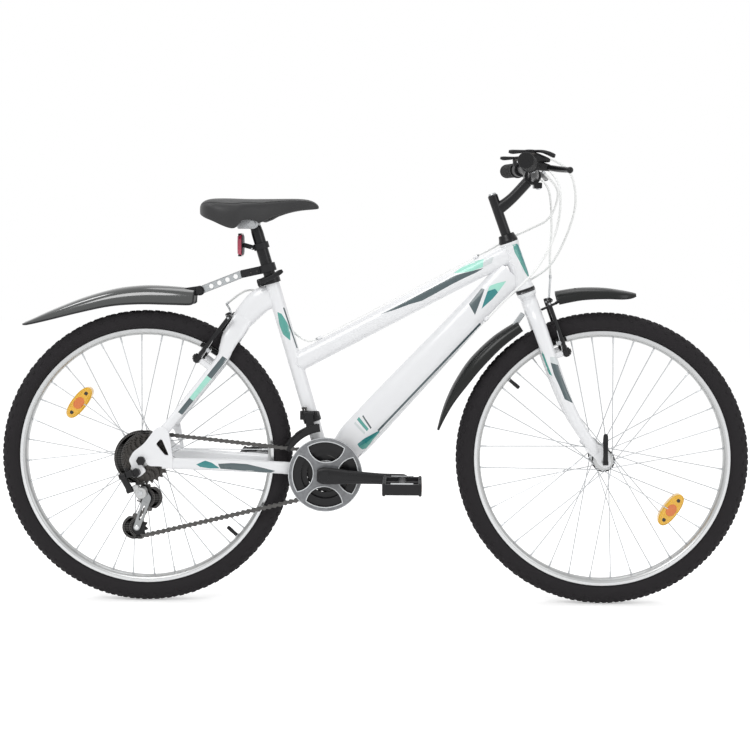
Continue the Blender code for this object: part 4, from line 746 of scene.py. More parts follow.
# %% Rims, spokes and hubs
RIM_HALF = [(270, 5.2), (270.8, 7.6), (273.6, 11.2), (276, 12.9), (277.4, 13.4), (283.8, 13.4),
    (284.5, 12.6), (284.5, 11.6), (282, 11.3), (279.6, 11.1), (276.4, 5.4)]


def rim(name, centre, body, node):
    hoop = Shape().add(ANODISED, turned(mirrored(RIM_HALF), centre, SIDE, 120))
    for side in (1, -1):
        track = [(277.6, 13.35 * side), (277.8, 13.52 * side), (283.4, 13.52 * side), (283.6, 13.35 * side)]
        hoop.add(BRIGHT, turned(track, centre, SIDE, 120))
    hoop.piece(name, body, "alloy", [node])


def spoke(flange_y, lean, cross):
    """A spoke drawn with its hole at three o'clock: head, elbow, butted shaft and nipple."""
    hole = polar(ORIGIN, 22, 0, flange_y)
    tip = polar(ORIGIN, 268, cross, math.copysign(2.4, flange_y))
    elbow = hole + SIDE * (2.7 * lean)
    away = (tip - elbow).normalized()
    bend = [hole - SIDE * (2.6 * lean), hole + SIDE * (1.6 * lean), elbow + away * 1.2, elbow + away * 4]
    head = [(0, 0), (2.1, 0.3), (1.6, 1.4), (0, 1.5)]
    nipple = [(0, 0), (1.35, 0), (1.8, 1.2), (2, 11), (2, 15), (0, 15)]
    shape = Shape().add(DRAWN, cable_skin(bend + [tip], 1.15, 7))
    return shape.add(BRIGHT,
        turned(head, hole - SIDE * (3 * lean), SIDE * lean, 8),
        turned(nipple, tip - away * 12, away, 8))


def wheel_reflector(centre, degrees):
    """Acrylic pill clipped between the spokes, with an orange lens and two dark rivets on each face."""
    mid = polar(centre, 192, degrees)
    out = (mid - centre).normalized()
    along = SIDE.cross(out)

    def pill(half_long, half_wide, half_thick, soft, shift=0):
        rings = []
        for y, inset in ((-half_thick, soft), (soft - half_thick, 0), (half_thick - soft, 0),
                (half_thick, soft)):
            ring = rounded(along, out, half_long - inset, half_wide - inset, 40, 0.86)
            rings.append([mid + p + along * shift + SIDE * y for p in ring])
        return loft(rings)

    shape = Shape().add(YELLOW, pill(40.5, 16.6, 11, 3), pill(35.5, 11.8, 11.7, 1))
    shape.add(ORANGE, pill(14.5, 10.8, 12.5, 1))
    shape.add(OILED, *[pill(4.2, 4.2, 12.6, 0.8, shift) for shift in (-26.5, 26.5)])
    for k in (-5, -4, -3, -2, 2, 3, 4, 5):
        for y in (-11.8, 11.8):
            shape.add(YELLOW, bar(mid + along * (k * 5.6) + SIDE * y, out, 8, SIDE, 0.35, 0.9, 0.2))
    return shape


def wheel_core(end, centre, body, shell, flanges, valve_deg, reflector_deg):
    parts = [shell.mesh("shell"), wheel_reflector(centre, reflector_deg).mesh("reflector")]
    for side, flange_y in ((1, flanges[0]), (0, flanges[1])):
        for lean, start in ((1, 0), (-1, 20)):
            degrees = valve_deg + 5 + 10 * side + start
            unit = spoke(flange_y, lean, 60 * lean)
            parts.append(round_axle("spokes", unit, DRAWN, centre, SPOKES_OF_A_KIND, degrees))
    merged("laced_hub_" + end, parts, body, [end + "_hub"])
    rim("box_rim_" + end, centre, body, end + "_rim")


SPOKES_OF_A_KIND = 9
FRONT_HUB = [(5.6, 37.6), (10.4, 37.8), (11, 37), (11.6, 36.4), (15.5, 35.2), (17, 34.7), (24.4, 34.3),
    (25, 33.6), (25, 32.4), (24.4, 31.8), (17.6, 31.4), (14.6, 30.4), (13, 27.5), (12.4, 22), (12.2, 6),
    (12.2, 0)]
FRONT_HUB = FRONT_HUB + [(r, -y) for r, y in reversed(FRONT_HUB[:-1])]
REAR_HUB = [(5.8, 37.6), (10.4, 37.9), (11, 37.2), (15.6, 36.1), (17, 35.7), (24.4, 35.3), (25, 34.6),
    (25, 33.4), (24.4, 32.8), (18.4, 32.4), (15.6, 31.2), (14.2, 28), (13.8, 22), (13.8, -18),
    (14.6, -24.5), (18.4, -28.2), (24.4, -28.7), (25, -29.4), (25, -30.6), (24.4, -31.2), (16, -31.6),
    (15.9, -61.8), (5.8, -61.8)]
front_shell = Shape().add(ANODISED, turned(FRONT_HUB, FRONT_AXLE, SIDE, 48))
# Painted shade: black rings darken the rims of the front hub's bright flanges.
for side in (1, -1):
    cap = [(22.2, 34), (22.6, 34.9), (24.9, 34.9), (25.5, 34.2), (25.5, 32), (24.6, 31.4), (22.8, 31.8)]
    front_shell.add(BLACK, turned([(r, y * side) for r, y in cap], FRONT_AXLE, SIDE, 48))
rear_shell = Shape().add(ANODISED, turned(REAR_HUB, REAR_AXLE, SIDE, 48))
wheel_core("front", FRONT_AXLE, "front_wheel", front_shell, (33, -33), 139.9, -36.5)
wheel_core("rear", REAR_AXLE, "rear_wheel", rear_shell, (34, -30), -42, 142.5)
print(4 * SPOKES_OF_A_KIND, "spokes in each wheel")

# %% [markdown]
# The valve is all that shows of the inner tube: a rubber-covered stem with a nut at the rim and a
# dust cap. The tube itself is a plain ring inside the tyre, kept so that the wheel isn't empty.
# Axles carry cones, locknuts and washers; the front one ends in the cam of its release lever.

# %% Valves, axles and the release lever
def valve(end, centre, body, degrees):
    root = polar(centre, 276, degrees)
    inward = (centre - root).normalized()
    ring = [(300 + 15.4 * math.cos(k * math.pi / 6), 13 * math.sin(k * math.pi / 6)) for k in range(12)]
    stem = [(0, -10), (5.2, -9.6), (5, -6), (4, -3), (3.9, 21), (0, 21)]
    cap = [(0, 20), (4.1, 20), (4.3, 20.6), (4.3, 33), (3.4, 35.4), (0, 35.8)]
    shape = Shape().add(RUBBER, turned(ring, centre, SIDE, 72))
    shape.add(NYLON, turned(stem, root, inward, 16), turned(cap, root, inward, 12))
    shape.add(ZINC, turned([(0, 5.6), (5.8, 5.6), (5.8, 7.4), (0, 7.4)], root, inward, 6))
    shape.piece("valve_and_tube_" + end, body, "rubber", [end + "_inner_tube"])


valve("front", FRONT_AXLE, "front_wheel", 139.9)
valve("rear", REAR_AXLE, "rear_wheel", -42)

axle = Shape().add(ZINC, rod(FRONT_AXLE - SIDE * 57.5, FRONT_AXLE + SIDE * 58, 4.9))
for side in (1, -1):
    axle.add(BRIGHT, collar(FRONT_AXLE, SIDE * side, [(8, 38.6), (9, 39.4), (9, 43.4), (7.4, 44)]))
    axle.add(ZINC, collar(FRONT_AXLE, SIDE * side, [(9, 44.4), (9, 49), (8.2, 49.6)], 6))
axle.add(BRIGHT,
    collar(FRONT_AXLE, SIDE * -1, [(7.2, 56.6), (7.5, 57.2), (7.5, 63), (6.8, 63.6)]),
    collar(FRONT_AXLE, SIDE, [(9.6, 56.6), (10, 57.2), (9.4, 62.6), (7, 64)], 24))
axle.piece("front_axle_set", "steering", "steel", ["front_axle"])

PIVOT = FRONT_AXLE + at(0, -69, 0)
handle = curve(((0, 0.4, -4, 5.2, 3), (0, 0, 8, 5.6, 3), (0, -1, 22, 5.2, 2.7), (0, 1, 46, 5.8, 2.3),
    (0, 0.2, 60, 5, 2), (0, 0, 64, 2.6, 1.4)), 6, PIVOT)
release = Shape().add(BLACK, swept(handle, 20, 0.7), pin(PIVOT, AHEAD, 6, 4.8, 24, 1))
release.add(BRIGHT, pin(PIVOT, AHEAD, 6.3, 2.2, 16, 0.4))
release.piece("release_lever", "front_quick_release", "black_paint", ["front_quick_release"])

axle = Shape().add(ZINC,
    pin(REAR_AXLE, SIDE, 82, 4.9),
    collar(REAR_AXLE, SIDE, [(8, 38.6), (9, 39.6), (9, 55), (8.4, 56), (9, 57), (9, 67.4)]),
    collar(REAR_AXLE, SIDE * -1, [(9, 62.5), (9, 67.4)], 6))
for side in (1, -1):
    axle.add(BRIGHT, collar(REAR_AXLE, SIDE * side, [(9.4, 74.6), (9.4, 76)], 28))
    axle.add(BLACK, nut(REAR_AXLE + SIDE * (side * 76), SIDE * side, 10.4, 6.8))
axle.piece("rear_axle_set", "frame", "steel", ["rear_axle"])
print("front wheel is released by a lever", round(handle[-1][0].z - handle[0][0].z), "mm long")

# %% [markdown]
# The frame is welded from steel tubes: a straight seat tube, a sloping top tube, and a down tube that
# swells to a deep oval near the cranks. Each tube is one swept skin whose half sizes change from
# station to station. A ray from each tube's section finds where it meets its neighbour, and Geometry
# Nodes run a rippled bead along that line, as a welder's torch leaves it.

# %% A bead along a line
def bead_tree():
    tree, given = start_tree("bead_on_a_line", Geometry="Geometry", Radius="Float", Step="Float",
        Ripple="Float", Finish="Material")
    even = geo(tree, "ResampleCurve", "LENGTH", Curve=geo(tree, "MeshToCurve", Mesh=given["Geometry"]),
        Length=given["Step"])
    phase = maths(tree, "MULTIPLY", geo(tree, "InputIndex"), math.pi / 2)
    size = maths(tree, "MULTIPLY_ADD", maths(tree, "SINE", phase), given["Ripple"], 1)
    fat = geo(tree, "SetCurveRadius", Curve=even, Radius=size)
    ring = geo(tree, "CurvePrimitiveCircle", "RADIUS", Resolution=8, Radius=given["Radius"])
    skin = geo(tree, "CurveToMesh", Curve=fat, Profile_Curve=ring, Fill_Caps=True)
    return end_tree(tree, skin, given["Finish"])


BEAD_ON_A_LINE = bead_tree()


def line_object(points, closed=True):
    """Wire object along points in millimetres, for a tree to work on."""
    count = len(points)
    data = bpy.data.meshes.new("line")
    edges = [(k, (k + 1) % count) for k in range(count if closed else count - 1)]
    data.from_pydata([tuple(p * MM) for p in points], edges, [])
    return bpy.data.objects.new("line", data)


def bead(points, finish, radius=1.9, step=1.5, ripple=0.1, closed=True):
    """Mesh of a weld bead, ring or cord along points in millimetres."""
    return grow(line_object(points, closed), BEAD_ON_A_LINE,
        {"Radius": radius * MM, "Step": step * MM, "Ripple": float(ripple), "Finish": finish}, "bead")


def bvh(*skins):
    """Tree of faces that rays can be cast at."""
    gathered = Shape().add(None, *skins)
    return BVHTree.FromPolygons(gathered.points, gathered.faces)


def seam(section, toward, target, reach=160):
    """Closed line where rays from a tube's section meet another tube."""
    hits = [target.ray_cast(p, toward, reach)[0] for p in section]
    return [hit for hit in hits if hit is not None]


def section_near(path, share, sides=56):
    """A tube's own section, share of the way along its path."""
    spot = share * (len(path) - 1)
    i = min(int(spot), len(path) - 2)
    f = spot - i
    (p, a, b), (q, c, d) = path[i], path[i + 1]
    along = heading(path, i)
    w = (SIDE - along * SIDE.dot(along)).normalized()
    centre = p.lerp(q, f)
    half_high = a + (c - a) * f
    half_wide = b + (d - b) * f
    return [centre + r for r in rounded(w.cross(along), w, half_high, half_wide, sides)], along


def weld(path, share, back, target, radius, sides=56, least=20):
    """Weld beads, one or none, where a tube drawn along a path meets its neighbour."""
    section, along = section_near(path, share, sides)
    line = seam(section, -along if back else along, target)
    return [bead(line, WHITE, radius)] if len(line) > least else []


print(BEAD_ON_A_LINE.name, "has", len(BEAD_ON_A_LINE.nodes), "nodes")

# %% [markdown]
# The stations below give a point on each tube's centre line, half its height and half its width.
# The seatstays start as one wishbone behind the seat tube and part over the wheel. Chainstays are
# ovals, pinched beside the tyre. Dropouts are 6 mm plate with rounded corners and an open slot.

# %% Main tubes
TOP_TUBE = curve(((-174, 0, 533.2, 22, 15), (-56.6, 0, 594.9, 22, 17), (199.6, 0, 729.4, 22, 17.5),
    (302, 0, 780.6, 22, 16.5)), 10)
DOWN_TUBE = curve(((-95, 0, 306, 22, 19), (-60, 0, 345, 35, 21), (-10.8, 0, 399.6, 39, 22),
    (200.2, 0, 626.5, 33.5, 20), (303, 0, 737, 33, 17)), 10)
WISHBONE = curve(((*seat(405, -2), 24, 11), (-254, 0, 672, 28, 13), (-289, 0, 636, 25, 13.5),
    (-303, 0, 615, 20, 12)), 8)
SEATSTAY = ((-291, 7, 633, 20, 6.5), (-302, 18, 615, 21, 7), (-316, 28, 593, 20, 7),
    (-326, 33.5, 568, 16, 7), (-338, 37, 541, 13, 7), (-406, 50, 455, 11.5, 7), (-458, 66, 389, 10.5, 6.5))
CHAINSTAY = ((-118, 22, 296.5, 13.5, 9), (-150, 26.5, 299, 13.5, 7.5), (-181, 36.5, 303, 13.5, 7),
    (-215, 41, 306, 13.5, 8), (-330, 50, 312, 13.5, 8), (-425, 63, 317, 12.5, 7), (-462, 69, 318, 11.5, 6))
STAYS = [curve(SEATSTAY, 6, ORIGIN, side) for side in (1, -1)]
CHAINSTAYS = [curve(CHAINSTAY, 6, ORIGIN, side) for side in (1, -1)]
HEAD_SKIN = turned([(0, 410.6), (21, 410.6), (21.2, 414), (20.6, 417), (19.2, 421), (19, 426), (19, 499),
    (19.2, 504), (20.6, 508), (21.2, 511), (21, 514.4), (0, 514.4)], STEER_BASE, STEER_UP, 56)
SEAT_SKIN = rod(seat(6), seat(447), 16, 48, 0.8)
SHELL_SKIN = turned([(0, -34), (21.2, -34), (22, -33.2), (22, 33.2), (21.2, 34), (0, 34)], BB, SIDE, 56)
TOP_SKIN = swept(TOP_TUBE, 40)
DOWN_SKIN = swept(DOWN_TUBE, 48)
STAY_SKINS = [swept(path, 24, 0.9) for path in STAYS] + [swept(path, 24, 0.85) for path in CHAINSTAYS]
OTHER_SKINS = [swept(WISHBONE, 36)] + STAY_SKINS
tubes = Shape().add(WHITE, HEAD_SKIN, SEAT_SKIN, SHELL_SKIN, TOP_SKIN, DOWN_SKIN, *OTHER_SKINS)
print("top tube", round((TOP_TUBE[-1][0] - TOP_TUBE[0][0]).length), "mm along its centre line")

# %% [markdown]
# Plates with holes, such as dropouts, need their caps filled round the holes. Blender's polygon
# tessellation does that from the outline and its holes; the walls are then added loop by loop.
# Corners are rounded by cutting each corner of the outline twice.

# %% Plates, dropouts and bosses
from mathutils.geometry import tessellate_polygon


def softened(outline, times=2, share=0.22):
    """Outline with its corners cut off again and again until they look round."""
    for _ in range(times):
        cut = []
        for i, (x, z) in enumerate(outline):
            px, pz = outline[i - 1]
            nx, nz = outline[(i + 1) % len(outline)]
            cut.append((x + (px - x) * share, z + (pz - z) * share))
            cut.append((x + (nx - x) * share, z + (nz - z) * share))
        outline = cut
    return outline


def cut_plate(outline, holes, low, high):
    """Plate across Y with holes through it."""
    loops = [outline] + holes
    flat = [p for loop in loops for p in loop]
    count = len(flat)
    triangles = tessellate_polygon([[Vector((x, z, 0)) for x, z in loop] for loop in loops])
    points = [at(x, low, z) for x, z in flat] + [at(x, high, z) for x, z in flat]
    faces = [list(t) for t in triangles] + [[count + i for i in reversed(t)] for t in triangles]
    start = 0
    for loop in loops:
        for k in range(len(loop)):
            a = start + k
            b = start + (k + 1) % len(loop)
            faces.append([a, b, count + b, count + a])
        start += len(loop)
    return points, faces


BRAKE_Y = 40
REAR_PIVOT = at(-385, 0, 543.5)
REAR_BRAKE_UP = at(0.604, 0, 0.797).normalized()
REAR_OUT = at(-0.797, 0, 0.604).normalized()
FRONT_PIVOT = steer(254, 33)
WINDOW = softened([(-462.5, 375), (-446, 336.5), (-455.5, 336.5), (-475, 360.5)], 2, 0.1)
PLATE_ROOT = [(-438, 331), (-438, 305.5), (-464, 312.5), (-490.3, 312.5), (-502, 328.4), (-506.8, 330.8),
    (-511.8, 327.6), (-511, 321.8), (-495.6, 301.4)]
LEFT_TAIL = [(-516, 306.5), (-528, 312), (-534, 326), (-524, 344), (-500, 362), (-474, 398), (-452, 398),
    (-446, 384)]
HANGER = [(-507, 291), (-517, 287), (-528, 292), (-530, 306)]
for sign in (1, -1):
    tail = LEFT_TAIL if sign > 0 else HANGER + LEFT_TAIL[1:]
    outline = PLATE_ROOT + tail
    holes = [WINDOW] if sign > 0 else [WINDOW, circle(-517, 299, 4.4, 18)]
    low = 68 if sign > 0 else -74
    tubes.add(WHITE, cut_plate(softened(outline, 2, 0.16), holes, low, low + 6))
    pivot = REAR_PIVOT + SIDE * (sign * BRAKE_Y)
    tubes.add(WHITE,
        rod(pivot - REAR_OUT * 34, pivot + REAR_OUT * 11.8, 4.6, 20),
        rod(pivot - REAR_OUT * 34, pivot - REAR_OUT * 3, 7, 24, 1))
print("rear dropouts stand", 2 * 68, "to", 2 * 74, "mm apart")

# %% [markdown]
# Small things are brazed or pressed on: stops where the white cable housings end, and the two bearing
# cups in the head tube, black below and painted with the frame above. The welds come last, each one
# where rays along a tube meet its neighbour.

# %% Stops, bosses and cups
CABLE_DROP = at(-256, 0, -134)
DOWN_RUN = at(-247, 0, -267)
for centre, along in ((at(222, 0, 770.2), CABLE_DROP), (at(-120, 0, 590.5), -CABLE_DROP),
        (at(247, 29.4, 630.8), DOWN_RUN), (at(247, -30.2, 634.8), DOWN_RUN)):
    along = along.normalized()
    foot = centre - UP * 6 if abs(centre.y) < 1 else centre - SIDE * math.copysign(9, centre.y)
    tubes.add(WHITE,
        rod(centre - along * 7, centre + along * 3, 3.9, 18),
        block(centre - along * 4.5, centre + along * 1.5, SIDE, 1.6, 2.6),
        rod(centre, foot, 2.2, 10))
for s, tall, paint in ((404.3, 8.7, BLACK), (514.2, 6.9, WHITE)):
    cup = [(21.6, s), (21.8, s + 0.6), (21.8, s + tall - 0.7), (21.2, s + tall)]
    tubes.add(paint, collar(STEER_BASE, STEER_UP, cup, 56))
    groove = s + 1.6
    line = [(21.7, groove), (21.95, groove + 0.3), (21.7, groove + 0.6)]
    tubes.add(BRIGHT, turned(line, STEER_BASE, STEER_UP, 56))
frame_meshes = [tubes.mesh("tubes")]
HEAD_BVH, SEAT_BVH, SHELL_BVH = (bvh(skin) for skin in (HEAD_SKIN, SEAT_SKIN, SHELL_SKIN))
for path, share, back, target in ((TOP_TUBE, 0.9, False, HEAD_BVH), (DOWN_TUBE, 0.9, False, HEAD_BVH),
        (TOP_TUBE, 0.12, True, SEAT_BVH), (DOWN_TUBE, 0.14, True, SHELL_BVH),
        (WISHBONE, 0.5, True, SEAT_BVH)):
    frame_meshes += weld(path, share, back, target, 1.9)
for path in CHAINSTAYS:
    frame_meshes += weld(path, 0.08, True, SHELL_BVH, 1.7, 32, 12)
seat_ring = rounded(SEAT_FWD, SIDE, 16, 16, 56)
foot = [SHELL_BVH.ray_cast(seat(60) + p, -SEAT_UP, 80)[0] for p in seat_ring]
frame_meshes.append(bead([p for p in foot if p is not None], WHITE, 1.8))
print(len(frame_meshes) - 1, "weld beads on the frame")

# %% [markdown]
# The coloured flashes on the frame are lacquer films under the clear coat. Each one lies between two
# edge lines that were drawn on the side view. The film's points are dropped sideways onto the tubes
# by ray casting, then lifted by 0.15 mm, so that every flash wraps round its tube as a decal does.

# %% Flashes on the frame
FRAME_FLASHES = (  # tone, one edge and the other, as (x, z) on the side view
    ("mint", [(175.9, 736.1), (194, 748.9), (216.6, 760.4), (241.5, 767.2)],
        [(175.9, 736.1), (191.7, 736.2), (216.7, 741), (239.4, 749.2)]),
    ("silver", [(241.5, 767.2), (263, 772)], [(239.4, 749.2), (259.5, 758.2)]),
    ("slate", [(13.1, 643.4), (56.1, 665.2), (112.6, 695.1), (146.5, 713.3), (175.9, 729.5), (194.1, 735.1),
        (225.6, 743.3), (241.6, 747.4)], [(13.1, 643.4), (44.8, 653.8), (78.7, 666.5), (106, 674.6),
        (135.3, 690.6), (171.6, 711.2), (198.6, 724.9), (225.7, 737.7), (241.6, 747.4)]),
    ("teal", [(304.7, 800.5), (309.3, 782.5), (320.7, 762.1), (332.2, 739.5), (343.6, 722.5)],
        [(311.4, 804.1), (319, 783), (328.9, 759.7), (337, 739.8), (343.6, 722.5)]),
    ("sea", [(311.4, 804.1), (319, 783), (328.9, 759.7), (337, 739.8), (343.6, 722.5)],
        [(315.4, 804.1), (323, 787.5), (331.8, 765.3), (339.2, 744.3), (343.6, 722.5)]),
    ("slate", [(209.1, 667.4), (237.1, 702.6), (243.9, 700.4)],
        [(222.7, 643.7), (233.9, 673.3), (243.9, 700.4)]),
    ("sea", [(243, 675.6), (250.2, 696), (266.8, 701.7)], [(237.3, 657.3), (262.3, 680.1), (273.5, 694)]),
    ("mint", [(250.2, 696), (254.6, 707.6), (271, 714.1), (291.4, 718.9)],
        [(250.2, 696), (266.8, 701.7), (273.5, 694), (291.4, 718.9)]),
    ("sea", [(-36.4, 355.5), (-22.1, 367.4), (10.4, 384.7)], [(-33.1, 349.3), (-14.3, 359.9), (13.1, 382)]),
    ("teal", [(-33.1, 349.3), (-14.3, 359.9), (13.1, 382)],
        [(-25.9, 342.5), (-15.5, 345.2), (-2.5, 363.7), (13.1, 382)]),
    ("silver", [(-41.6, 405.2), (-18.8, 382)], [(-44.2, 400.3), (-21, 377.3)]),
    ("teal", [(-33.2, 415.4), (-11.5, 389.8)], [(-37.6, 409.2), (-15.3, 384.2)]),
    ("slate", [(-23.7, 419.5), (-4.7, 392.3)], [(-25.9, 417.2), (-7.3, 389.4)]),
    ("slate", [(7.7, 386.6), (233.4, 625.6)], [(11.3, 383.3), (236.5, 622.1)]),
    ("teal", [(-215.1, 647.6), (-210.9, 619.4), (-202.8, 597.9), (-186.5, 584.4)],
        [(-205.7, 643.6), (-193.8, 624.4), (-186.6, 608.6), (-186.5, 584.4)]),
    ("slate", [(-203.1, 657), (-172.8, 566.9)], [(-200, 657), (-170.6, 566.9)]),
    ("slate", [(-333, 551.7), (-366.7, 508.8)], [(-320.8, 543), (-355, 500.2)]),
    ("mint", [(-366.1, 509.2), (-404.5, 460.1)], [(-354.4, 500.7), (-393.3, 452.1)]),
    ("slate", [(-403.9, 460.7), (-427.9, 430)], [(-392.6, 452.6), (-416.8, 422.3)]),
    ("sea", [(-387.4, 315.5), (-368.8, 323.4), (-353.1, 318.3), (-337, 306.3)],
        [(-387.4, 315.5), (-379.5, 310), (-358.2, 306.2), (-337, 306.3)]),
    ("slate", [(-340.6, 316), (-311.4, 317.4), (-276.8, 315), (-239.6, 305.8), (-215.5, 299.3)],
        [(-335.3, 305.2), (-298, 301.5), (-260.9, 297.8), (-227.5, 294.7), (-215.5, 299.3)]))
FORK_FLASHES = (  # tone, one edge and the other, as (x, z) on the side view
    ("teal", [(363.6, 566.3), (373, 537.4), (383, 517.5), (390.4, 513.8)],
        [(363.6, 566.3), (372, 561.1), (379.3, 541), (390.4, 513.8)]),
    ("silver", [(384.7, 555.7), (386.5, 543)], [(400.3, 555.1), (403, 537.6)]),
    ("slate", [(386.5, 543), (393.9, 517.6), (406.8, 490.3), (417.9, 463.1), (436.2, 454)],
        [(403, 537.6), (412.1, 512.2), (423.3, 483.1), (436.2, 454)]))


def resampled(line, count):
    """Evenly spaced points along an open polyline of (x, z)."""
    spots = [Vector(p) for p in line]
    marks = [0]
    for p, q in zip(spots, spots[1:]):
        marks.append(marks[-1] + (q - p).length)
    out = []
    for k in range(count):
        d = marks[-1] * k / (count - 1)
        i = max(j for j in range(len(spots) - 1) if marks[j] <= d + 1e-9)
        out.append(spots[i].lerp(spots[i + 1], (d - marks[i]) / max(marks[i + 1] - marks[i], 1e-9)))
    return out


FILM_LIFT = 0.15


def film(edge_a, edge_b, target, side, reach):
    """Thin sheet between two edge lines, dropped onto the tubes from one side."""
    spans = [(Vector(edge[-1]) - Vector(edge[0])).length for edge in (edge_a, edge_b)]
    long = max(8, int(max(spans) / 3))
    rows = list(zip(resampled(edge_a, long), resampled(edge_b, long)))
    points = []
    for a, b in rows:
        for k in range(6):
            spot = a.lerp(b, k / 5)
            hit, normal = target.ray_cast(at(spot.x, side * 200, spot.y), at(0, -side, 0), 200)[:2]
            if hit is None:
                hit, normal = target.find_nearest(at(spot.x, side * reach, spot.y))[:2]
            if normal.y * side < 0:
                normal = -normal
            points.append(hit + normal * FILM_LIFT)
    faces = []
    for i in range(long - 1):
        for k in range(5):
            a = i * 6 + k
            face = [a, a + 1, a + 7, a + 6]
            across = (points[face[1]] - points[a]).cross(points[face[3]] - points[a])
            if across.length < 1e-9:
                across = (points[face[2]] - points[face[1]]).cross(points[face[3]] - points[face[1]])
            faces.append(face if across.y * side > 0 else face[::-1])
    return points, faces


def films(table, target, reach=45):
    """One thin mesh with each flash of a table on both sides of its tubes."""
    shape = Shape()
    for tone, edge_a, edge_b in table:
        for side in (-1, 1):
            shape.add(FILM[tone], film(edge_a, edge_b, target, side, reach))
    return shape.mesh("flashes", 60, sheet=True)


FRAME_BVH = bvh(HEAD_SKIN, SEAT_SKIN, TOP_SKIN, DOWN_SKIN, *OTHER_SKINS)
frame_meshes.append(films(FRAME_FLASHES, FRAME_BVH))
merged("welded_frame", frame_meshes, "frame", ["frame"])
print(len(FRAME_FLASHES), "flashes on each side of the frame")

# %% [markdown]
# The fork has a turned crown, two blades that leave it sideways, bend down and then sweep gently
# forwards, and plate dropouts that carry the axle. The blades are raked so that the steering trails;
# drawing their centre line as a curve gives that rake without a joint.

# %% Fork and headset
def rake(s):
    """How far the blade's centre line runs ahead of the steering column at height s."""
    return (190 - s) ** 2 / 976 if s < 190 else 0


BLADE = ((386, 3, 15, 12), (378, 13, 15.6, 12.2), (366, 26, 16, 12.5), (340, 41, 16, 12.5),
    (300, 46, 15.5, 12.5), (190, 47, 14.5, 12), (120, 49, 13.5, 11), (70, 51.5, 12.5, 9.5),
    (40, 52.8, 12, 7.4), (24, 53, 9, 4.2))
FORK_PLATE = ((44, 0.5), (44, 39), (14, 51), (-6, 51), (-13, 43), (-13, 33), (-4, 24), (16, 20))
fork = Shape()
blade_paths = [smooth_path([(steer(s, rake(s), y * side), a, b) for s, y, a, b in BLADE], 8)
    for side in (1, -1)]
blades = [swept(path, 32) for path in blade_paths]
for side, blade in zip((1, -1), blades):
    outline = softened([(steer(s, n).x, steer(s, n).z) for s, n in FORK_PLATE], 2, 0.2)
    low = 50.4 if side > 0 else -55.8
    pivot = FRONT_PIVOT + SIDE * (side * BRAKE_Y)
    fork.add(WHITE,
        blade,
        slab(outline, low, low + 5.4, 0.6),
        rod(pivot - STEER_FWD * 30, pivot + STEER_FWD * 11.8, 4.6, 20),
        rod(pivot - STEER_FWD * 26, pivot - STEER_FWD * 3, 7, 24, 1))
crown = collar(STEER_BASE, STEER_UP, [(15.5, 352), (18, 354.5), (18, 392), (18.8, 394.6), (21.2, 397),
    (21.5, 398), (21.5, 402.6), (20.8, 403.8), (14.3, 403.9), (14.3, 535)], 48)
fork.add(WHITE, crown)
fork_parts = [fork.mesh("fork")]
for path in blade_paths:
    fork_parts += weld(path, 0.26, True, bvh(crown), 1.7, 44)
fork_parts.append(films(FORK_FLASHES, bvh(*blades), 59))
merged("welded_fork", fork_parts, "steering", ["fork"])
print("the rake carries the blades", round(rake(24)), "mm ahead at their tips")

locknut = [(14.7, 521.4), (21.2, 521.4), (21.5, 521.8), (21.5, 526.6), (21, 527.4), (19.6, 531),
    (17.9, 538.4), (17, 540), (11.9, 540), (11.7, 539.4), (11.7, 536.4), (14.7, 536.4)]
nut_ring = Shape().add(BLACK, turned(locknut, STEER_BASE, STEER_UP, 48))
nut_ring.piece("threaded_locknut", "steering", "black_paint", ["headset_locknut"])

# %% [markdown]
# A quill stem, a bent steel bar and moulded grips make the cockpit. The stem's arm is a flattened
# tube that widens to the clamp, with a hidden wedge bolt under a cap on top. Grips have rings cut in
# them to drain sweat; one turned profile with a ring every 5 mm gives them.

# %% Stem, bar and grips
BAR_CENTRE = at(348, 0, 950)
CLAMP_EAR = BAR_CENTRE + at(12, 0, -15)
arm = smooth_path([(steer(598, -2), 13, 10), (steer(601, 10), 13.4, 10.8), (steer(612, 40), 12, 11),
    (steer(634, 82), 12, 13)], 8)
stem = Shape().add(BLACK,
    rod(steer(440), steer(633), 11.2, 40, 2.5),
    swept(arm, 32, 0.85),
    collar(BAR_CENTRE, SIDE, [(17.6, -21), (18.5, -20), (18.5, 20), (17.6, 21)], 48),
    bar(CLAMP_EAR - UP * 5, SIDE, 20, AHEAD, 9, 6.5, 1.5))
cap = [(0, 632.4), (8.6, 632.4), (8.8, 633.4), (7.6, 636), (4.2, 636.6), (3.6, 634.6), (0, 634.4)]
stem.add(ZINC,
    *[rod(CLAMP_EAR + at(2, y, -13.5), CLAMP_EAR + at(2, y, -8), 4.2, 18, 0.8) for y in (-12, 12)],
    turned(cap, STEER_BASE, STEER_UP, 32))
stem.piece("quill_stem", "steering", "black_paint", ["stem"])

STRAIGHT_START = (338, 112, 970.2)
STRAIGHT_END = (311, 297, 972.5)
BAR_HALF = ((348, 22, 950), (348, 36, 950), (346, 60, 954), (341.5, 88, 966), STRAIGHT_START,
    (324.5, 204.5, 971.4), STRAIGHT_END)


def bar_point(y):
    """Centre of the straight end of the bar, y to the left."""
    side = math.copysign(1, y)
    start, end = (at(x, w * side, z) for x, w, z in (STRAIGHT_START, STRAIGHT_END))
    return start.lerp(end, (abs(y) - start.y * side) / (end.y * side - start.y * side))


bar_line = through([at(x, -y, z) for x, y, z in reversed(BAR_HALF)] + [at(*p) for p in BAR_HALF], 7)
girth = [12.7 if abs(p.y) < 30 else max(11.1, 12.7 - (abs(p.y) - 30) * 0.1) for p in bar_line]
handlebar = Shape().add(BLACK, cable_skin(bar_line, girth, 28))
handlebar.piece("bent_bar", "steering", "black_paint", ["handlebar"])

